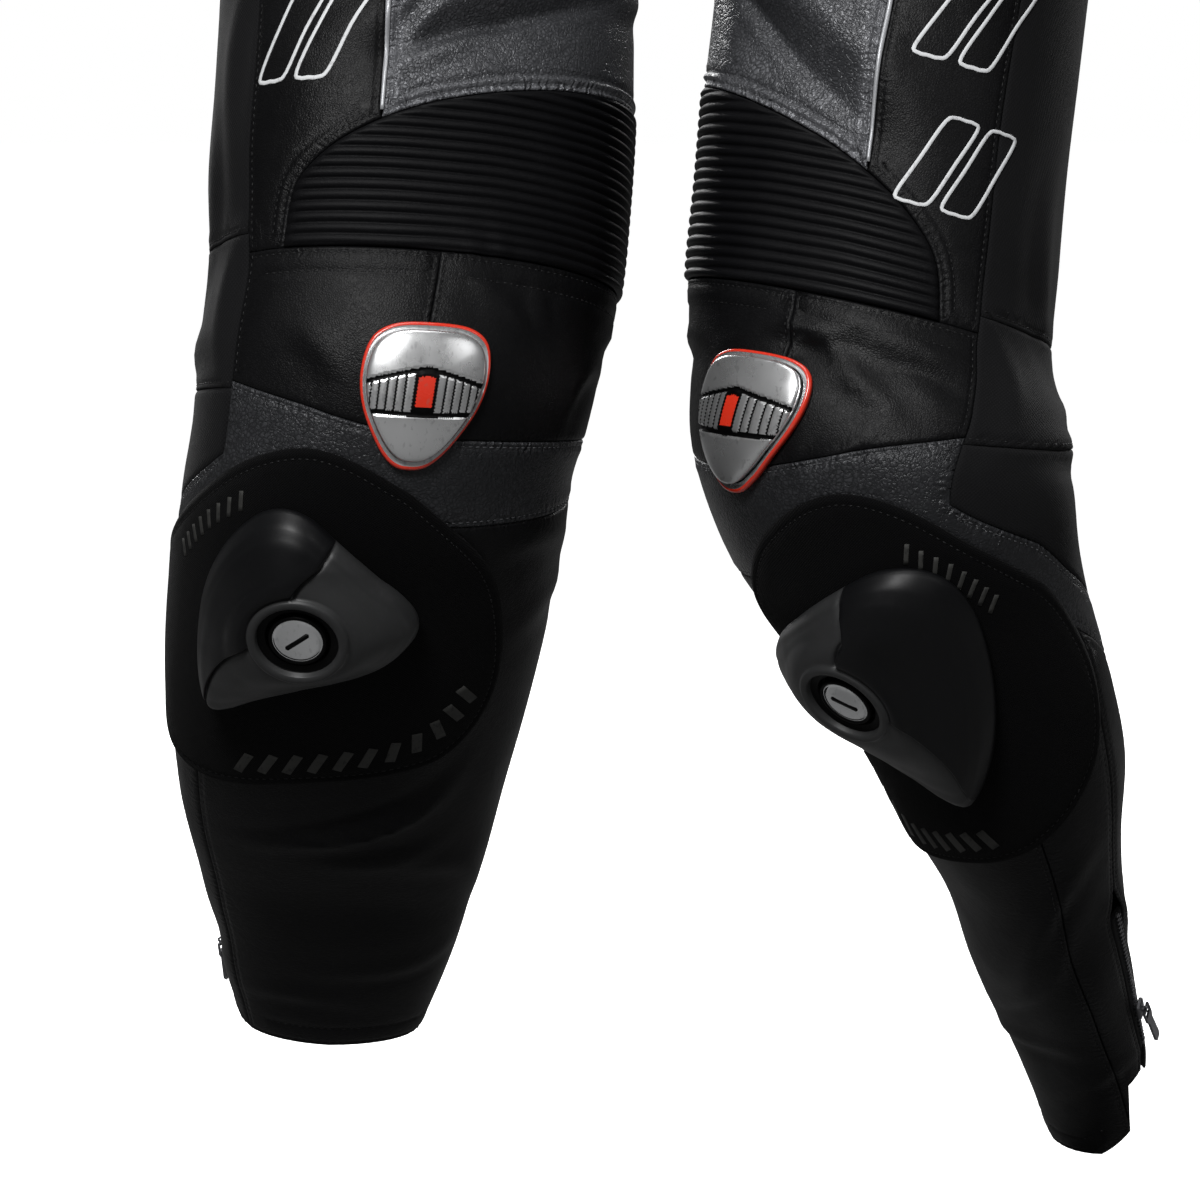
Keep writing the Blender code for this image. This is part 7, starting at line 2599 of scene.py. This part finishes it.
# ---------------------------------------------------------------- above the legs
class BodyCloth:
    """The seat, the trunk, the sleeves and the collar."""

    spacing = 8.0

    def __init__(self, legs: dict[str, Leg], torso: Torso) -> None:
        """Take the legs and the torso that the cloth joins.

        Args:
            legs: the legs by their tag.
            torso: the torso.
        """
        self.legs, self.torso = legs, torso
        self.hips = {tag: Hip(leg, torso) for tag, leg in legs.items()}
        self.collar = Collar(torso)

    def panel(self, name: str, surface: Surface, sides: list[Side]) -> None:
        """Cut and sew one leather piece above the legs.

        Args:
            name: the piece's name.
            surface: what it is cut from.
            sides: its sides in order.
        """
        key = name.replace("left_", "").replace("right_", "")
        Panel(name, surface, sides, Finish.BLACK, "black_leather", FLATS[key],
              self.spacing).build()

    @staticmethod
    def zip_angle(surface: Surface, level: float, side: float) -> float:
        """Angle at which the surface stands off the centre plane by half the zip's opening.

        Args:
            surface: what the zip closes.
            level: a level on it.
            side: +1 for the wearer's left.

        Returns:
            The angle in degrees.
        """
        low, high = 0.0, 20.0
        for _ in range(40):
            middle = (low + high) / 2
            x = abs(surface.points(np.array(middle * side), np.array(float(level)))[0])
            low, high = (middle, high) if x < ZIP_OPENING else (low, middle)
        return high * side

    def zip_edge(self, surface: Surface, levels: Array, side: float) -> list[Point]:
        """Points of the panel edge beside the front zip."""
        return [(self.zip_angle(surface, level, side), float(level)) for level in levels]

    def make_hips(self) -> None:
        """Front and seat halves, split at the side seam."""
        one = ONE_ROW
        for tag, hip in self.hips.items():
            beside = self.zip_edge(hip, np.linspace(0.0, FRONT_ZIP_FOOT, 7), 1.0)
            rise = [(0.0, FRONT_ZIP_FOOT + 16.0), (0.0, 200.0), (0.0, 240.0)]
            self.panel(f"{tag}_hip_front", hip,
                       [Side(beside, one), Side(rise, one), Side([(0.0, HIP_DEPTH)]),
                        Side([(SIDE_SEAM, HIP_DEPTH)], one), Side([(SIDE_SEAM, 0.0)])])
            self.panel(f"{tag}_seat", hip,
                       [Side([(SIDE_SEAM, 0.0)]), Side([(SIDE_SEAM, HIP_DEPTH)]),
                        Side([(180.0, HIP_DEPTH)], one), Side([(180.0, 0.0)], one)])

    @staticmethod
    def hole(first: float, last: float, side: float) -> list[Point]:
        """Armhole points between two angles round it, in torso coordinates on one side.

        Args:
            first: angle of the first point.
            last: angle of the last point.
            side: +1 for the wearer's left.

        Returns:
            Angles and levels on the torso.
        """
        count = round(abs(last - first) / 6.0) + 1
        angles, levels = armhole_point(np.linspace(first, last, count))
        return [(float(side * a), float(b)) for a, b in zip(angles, levels)]

    def make_trunk(self) -> None:
        """Chest fronts, back and yokes."""
        torso, one = self.torso, ONE_ROW
        yoke_level = float(armhole_point(YOKE_FRONT_TURN)[1])
        neck = np.linspace(0.0, SIDE_SEAM, 12)
        for tag, side in (("left", 1.0), ("right", -1.0)):
            chest = self.zip_edge(torso, np.linspace(0.0, yoke_level, 9)[::-1], side)
            self.panel(f"{tag}_chest_front", torso,
                       [Side(chest, one), Side([(side * SIDE_SEAM, 0.0)], one),
                        Side(self.hole(0.0, YOKE_FRONT_TURN, side)[:-1], one),
                        Side(self.hole(0.0, YOKE_FRONT_TURN, side)[-1:], one)])
            yoke = self.zip_edge(torso, np.linspace(yoke_level, NECK_FRONT, 6)[::-1], side)
            rim = self.hole(YOKE_FRONT_TURN, 180.0, side)
            self.panel(f"{tag}_yoke_front", torso,
                       [Side(yoke), Side(rim[:-1], one), Side(rim[-1:], one),
                        Side([(side * a, float(neckline(a))) for a in neck[:0:-1]])])
        hole = self.hole(-YOKE_BACK_TURN, 0.0, 1.0)
        right = [(360.0 - a, b) for a, b in reversed(hole)]
        self.panel("back", torso, [Side([(SIDE_SEAM, 0.0), (180.0, 0.0)], one),
                                   Side([(270.0, 0.0)]), Side(right[:-1], one),
                                   Side([right[-1]], TWO_ROWS), Side(hole, one)])
        left = self.hole(-YOKE_BACK_TURN, -180.0, 1.0)
        other = [(360.0 - a, b) for a, b in reversed(left)]
        back = [(float(a), float(neckline(a))) for a in np.linspace(SIDE_SEAM, 270.0, 22)]
        self.panel("yoke_back", torso, [Side(left[:-1], one), Side(left[-1:], one),
                                        Side(back[:-1]), Side([back[-1]], one),
                                        Side(other, one)])

    def make_sleeves(self) -> None:
        """Upper sleeve and forearm of both arms, each closed by one seam under the arm."""
        turns = [float(a) for a in np.linspace(0.0, 360.0, 41)]
        for tag, side in (("left", 1.0), ("right", -1.0)):
            sleeve = Sleeve(self.torso, side)
            for name, low, high, rows in (("sleeve_upper", 0.0, ELBOW, ONE_ROW),
                                          ("forearm", ELBOW, CUFF, HEM_ROWS)):
                self.panel(f"{tag}_{name}", sleeve,
                           [Side([(a, low) for a in turns[:-1]], ONE_ROW), Side([(360.0, low)]),
                            Side([(a, high) for a in turns[::-1]][:-1], rows),
                            Side([(0.0, high)])])

    def make_collar(self) -> None:
        """Stand collar, open in front for the zip."""
        low = self.zip_angle(self.collar, 0.0, 1.0)
        high = self.zip_angle(self.collar, COLLAR_HEIGHT, 1.0)
        self.panel("collar", self.collar,
                   [Side([(float(a), 0.0) for a in np.linspace(low, 360.0 - low, 41)][:-1],
                         ONE_ROW),
                    Side([(360.0 - low, 0.0)]),
                    Side([(float(a), COLLAR_HEIGHT)
                          for a in np.linspace(360.0 - high, high, 41)][:-1], (3.0,)),
                    Side([(high, COLLAR_HEIGHT)])])

    def build(self) -> None:
        """Cut and sew everything above the legs."""
        self.make_hips()
        self.make_trunk()
        self.make_sleeves()
        self.make_collar()


# ---------------------------------------------------------------- zips
@dataclass
class Zip:
    """Zip tape with a row of metal teeth on each side of its middle."""

    name: str
    points: Array
    normals: Array

    def tree(self) -> bpy.types.NodeTree:
        """Node tree that sets a tooth at every pitch, on both sides in turn.

        Returns:
            The node tree.
        """
        tree, graph, given = geometry_group("zip_teeth", {
            "Pitch": 1.55 * MM, "Tooth Length": 2.3 * MM, "Tooth Width": 0.95 * MM,
            "Tooth Height": 1.5 * MM, "Side Step": 0.75 * MM, "Metal": None})
        even, outward, tangent, turn = graph.even_line(given)
        index = graph.add("GeometryNodeInputIndex")
        parity = graph.math("SUBTRACT", graph.math("MULTIPLY", graph.math(
            "MODULO", index.outputs[0], 2.0), 2.0), 1.0)
        across = graph.add("ShaderNodeVectorMath", {0: outward, 1: tangent},
                           operation="CROSS_PRODUCT")
        move = graph.add("ShaderNodeVectorMath", {
            0: across.outputs[0], "Scale": graph.math("MULTIPLY", parity,
                                                      given.outputs["Side Step"])},
            operation="SCALE")
        size = graph.add("ShaderNodeCombineXYZ", {0: given.outputs["Tooth Width"],
                                                  1: given.outputs["Tooth Length"],
                                                  2: given.outputs["Tooth Height"]})
        block = graph.add("GeometryNodeMeshCube", {"Size": size.outputs[0]})
        stepped = graph.add("GeometryNodeSetPosition", {"Geometry": even,
                                                        "Offset": move.outputs[0]})
        laid = graph.add("GeometryNodeInstanceOnPoints", {
            "Points": stepped.outputs[0], "Instance": block.outputs["Mesh"], "Rotation": turn})
        graph.put_out(laid.outputs[0], given.outputs["Metal"])
        return tree

    def build(self) -> list[bpy.types.Object]:
        """Lay the tape and its teeth.

        Returns:
            The tape and the teeth.
        """
        hops = np.linalg.norm(np.diff(self.points, axis=0), axis=1)
        run = np.concatenate([[0.0], np.cumsum(hops)])
        at = np.linspace(0.0, run[-1], max(8, int(run[-1] / 5.0)))
        points = np.stack([np.interp(at, run, self.points[:, k]) for k in range(3)], axis=-1)
        normals = unit(np.stack([np.interp(at, run, self.normals[:, k]) for k in range(3)], -1))
        across = unit(np.cross(np.gradient(points, axis=0), normals))
        section = ((-1.35, -2.4), (-1.35, -1.9), (-1.0, -1.9), (-1.0, -0.35), (-0.9, -0.1),
                   (-0.25, 0.0), (0.25, 0.0), (0.9, -0.1), (1.0, -0.35), (1.0, -1.9),
                   (1.35, -1.9), (1.35, -2.4))
        rows = [points + across * (x * ZIP_HALF_WIDTH) + normals * z for x, z in section]
        grid = np.stack(rows, axis=1).reshape(-1, 3)
        columns = len(section)
        tape = turned_out(f"{self.name}_tape", grid, swept_faces(len(points), columns))
        lay_flat(tape, np.stack([np.tile([x * ZIP_HALF_WIDTH for x, _ in section], len(points)),
                                 np.repeat(at, columns)], axis=-1) * MM)
        pieces = [add_piece(f"{self.name}_tape", tape, [Finish.TAPE], "zip_tape", [self.name])]
        line = bpy.data.meshes.new(f"{self.name}_line")
        raised = points + normals * 0.35
        line.from_pydata((raised * MM).tolist(), [(k, k + 1) for k in range(len(points) - 1)], [])
        store(line, "outward", normals)
        teeth = run_tree(line, self.tree(), {"Metal": WARDROBE.get(Finish.METAL)})
        pieces.append(add_piece(f"{self.name}_teeth", teeth, [Finish.METAL], "zip_metal"))
        return pieces


def line_on(surface: Surface, angle: float, levels: Array) -> tuple[Array, Array]:
    """Points and normals along one angle of a surface, a little under it.

    Args:
        surface: what the line lies on.
        angle: its angle.
        levels: its levels in order.

    Returns:
        Points in millimetres, and normals.
    """
    a, b = np.full(len(levels), float(angle)), np.array(levels, float)
    normals = surface.normals(a, b)
    return surface.points(a, b) - normals * 0.2, normals


class Zips:
    """The front zip, the ankle zips and the finishes of their runners and pulls."""

    def __init__(self, body: BodyCloth) -> None:
        """Take the surfaces that the zips close."""
        self.body = body

    def build(self) -> None:
        """Lay every zip."""
        hip = self.body.hips["left"]
        lines = [line_on(hip, 0.0, np.linspace(FRONT_ZIP_FOOT - 3.0, 12.0, 9)),
                 line_on(self.body.torso, 0.0, np.linspace(4.0, NECK_FRONT - 12.0, 40)),
                 line_on(self.body.collar, 0.0, np.linspace(2.0, COLLAR_HEIGHT - 1.0, 6))]
        points, normals = (np.vstack([line[k] for line in lines]) for k in range(2))
        points[:, 0] = 0.0
        normals[:, 0] = 0.0
        Zip("front_zip", points, unit(normals)).build()
        for tag, leg in self.body.legs.items():
            points, normals = line_on(leg, ANKLE_SLIT,
                                      np.linspace(SLIT_TOP + 3.0, ANKLE_ZIP_FOOT - 2.0, 16))
            Zip(f"{tag}_ankle_zip", points, normals).build()
        for tag in ("front", "left_ankle", "right_ankle"):
            for piece in ("runner", "pull"):
                node = bpy.data.objects[f"{tag}_zip_{piece}"]
                node.data.materials.clear()
                node.data.materials.append(WARDROBE.get(Finish.METAL))


# ---------------------------------------------------------------- studio
class Studio:
    """Floor, air, lights and the camera."""

    target = (-0.0317, -0.05, -1.1317)
    distance, rise = 3.0, 5.0
    lens = 184.5
    reach, glow, spill, air = 40.0, 0.9, 0.12, 0.12
    legs_middle, seat_middle = (0.0, -0.05, -1.1), (0.0, 0.0, -0.7)
    # Name, place, aim, size and power of every soft box.
    lamps = (
        ("key", (-0.7, -2.2, 0.7), legs_middle, 0.8, 76.0),
        ("fill", (1.5, -1.8, 0.2), legs_middle, 0.9, 5.0),
        ("top", (-0.2, -0.4, 1.5), legs_middle, 1.2, 24.0),
        ("back_left", (1.5, 2.0, 0.5), seat_middle, 1.0, 60.0),
        ("back_right", (-1.2, 2.3, 0.3), seat_middle, 1.0, 60.0),
    )

    def camera(self) -> None:
        """Set the camera in front of the legs."""
        data = bpy.data.cameras.new("front_camera")
        data.lens, data.sensor_width, data.clip_end = self.lens, 36.0, 60.0
        item = bpy.data.objects.new("front_camera", data)
        bpy.context.scene.collection.objects.link(item)
        tilt = math.radians(self.rise)
        item.location = Vector(self.target) + self.distance * Vector((0, -math.cos(tilt),
                                                                      math.sin(tilt)))
        look = Vector(self.target) - item.location
        item.rotation_euler = look.to_track_quat("-Z", "Y").to_euler()
        bpy.context.scene.camera = item

    def floor(self, level: float) -> None:
        """Lay a plain pale floor that throws little light back on the dark leather.

        Args:
            level: the floor's height in metres.
        """
        reach = self.reach
        mesh = bpy.data.meshes.new("studio_floor")
        mesh.from_pydata([(-reach, -reach, level), (reach, -reach, level), (reach, reach, level),
                          (-reach, reach, level)], [], [(0, 1, 2, 3)])
        item = bpy.data.objects.new("studio_floor", mesh)
        bpy.context.scene.collection.objects.link(item)
        material, graph, shader = new_material("studio_white")
        seen = graph.add("ShaderNodeLightPath").outputs["Is Camera Ray"]
        grey = (self.spill, self.spill, self.spill, 1.0)
        graph.feed(shader, {
            "Base Color": graph.blend(seen, grey, (0.9, 0.9, 0.9, 1.0)), "Roughness": 0.9,
            "Emission Color": graph.blend(seen, (0.0, 0.0, 0.0, 1.0), (1.0, 1.0, 1.0, 1.0)),
            "Emission Strength": self.glow})
        mesh.materials.append(material)
        item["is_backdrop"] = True

    @staticmethod
    def lamp(name: str, place: Sequence[float], aim: Sequence[float], size: float,
             power: float) -> None:
        """Hang one soft box.

        Args:
            name: the lamp's name.
            place: where it hangs, in metres.
            aim: the point that it faces, in metres.
            size: its width in metres.
            power: its power in watts.
        """
        data = bpy.data.lights.new(name, "AREA")
        data.shape, data.size, data.energy = "SQUARE", size, power
        item = bpy.data.objects.new(name, data)
        bpy.context.scene.collection.objects.link(item)
        item.location = place
        item.rotation_euler = (Vector(aim) - Vector(place)).to_track_quat("-Z", "Y").to_euler()

    def build(self, level: float) -> None:
        """Set everything up.

        Args:
            level: the floor's height in metres.
        """
        world = bpy.data.worlds.new("studio_air")
        bpy.context.scene.world = world
        world.use_nodes = True
        graph = Graph(world.node_tree)
        seen = graph.add("ShaderNodeLightPath").outputs["Is Camera Ray"]
        graph.feed(world.node_tree.nodes["Background"], {
            "Color": (1.0, 1.0, 1.0, 1.0), "Strength": graph.ramp(seen, 0.0, 1.0, self.air, 1.0)})
        bpy.context.scene.view_settings.view_transform = "Standard"
        self.floor(level)
        for name, place, aim, size, power in self.lamps:
            self.lamp(name, place, aim, size, power)
        self.camera()


# ---------------------------------------------------------------- making
def main() -> None:
    """Dress the whole suit."""
    logging.basicConfig(level=logging.INFO, format="%(name)s: %(message)s")
    torso = Torso()
    legs = {
        "right": Leg("right", RIGHT_LEG, RIGHT_FOLDS, RIGHT_CREASES, RIGHT_HEM, RIGHT_BACK_HEM,
                     -1.0),
        "left": Leg("left", LEFT_LEG, LEFT_FOLDS, LEFT_CREASES, LEFT_HEM, LEFT_BACK_HEM, 1.0),
    }
    for leg in legs.values():
        LegCloth(leg).build()
    body = BodyCloth(legs, torso)
    body.build()
    Zips(body).build()
    SEWING.build("stitches")
    Studio().build(CAD_BOX[0][2] - 0.0005)
    [[list(map(float, corner)) for corner in box] for box in (CAD_BOX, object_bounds())]


if __name__ == "__main__":
    main()
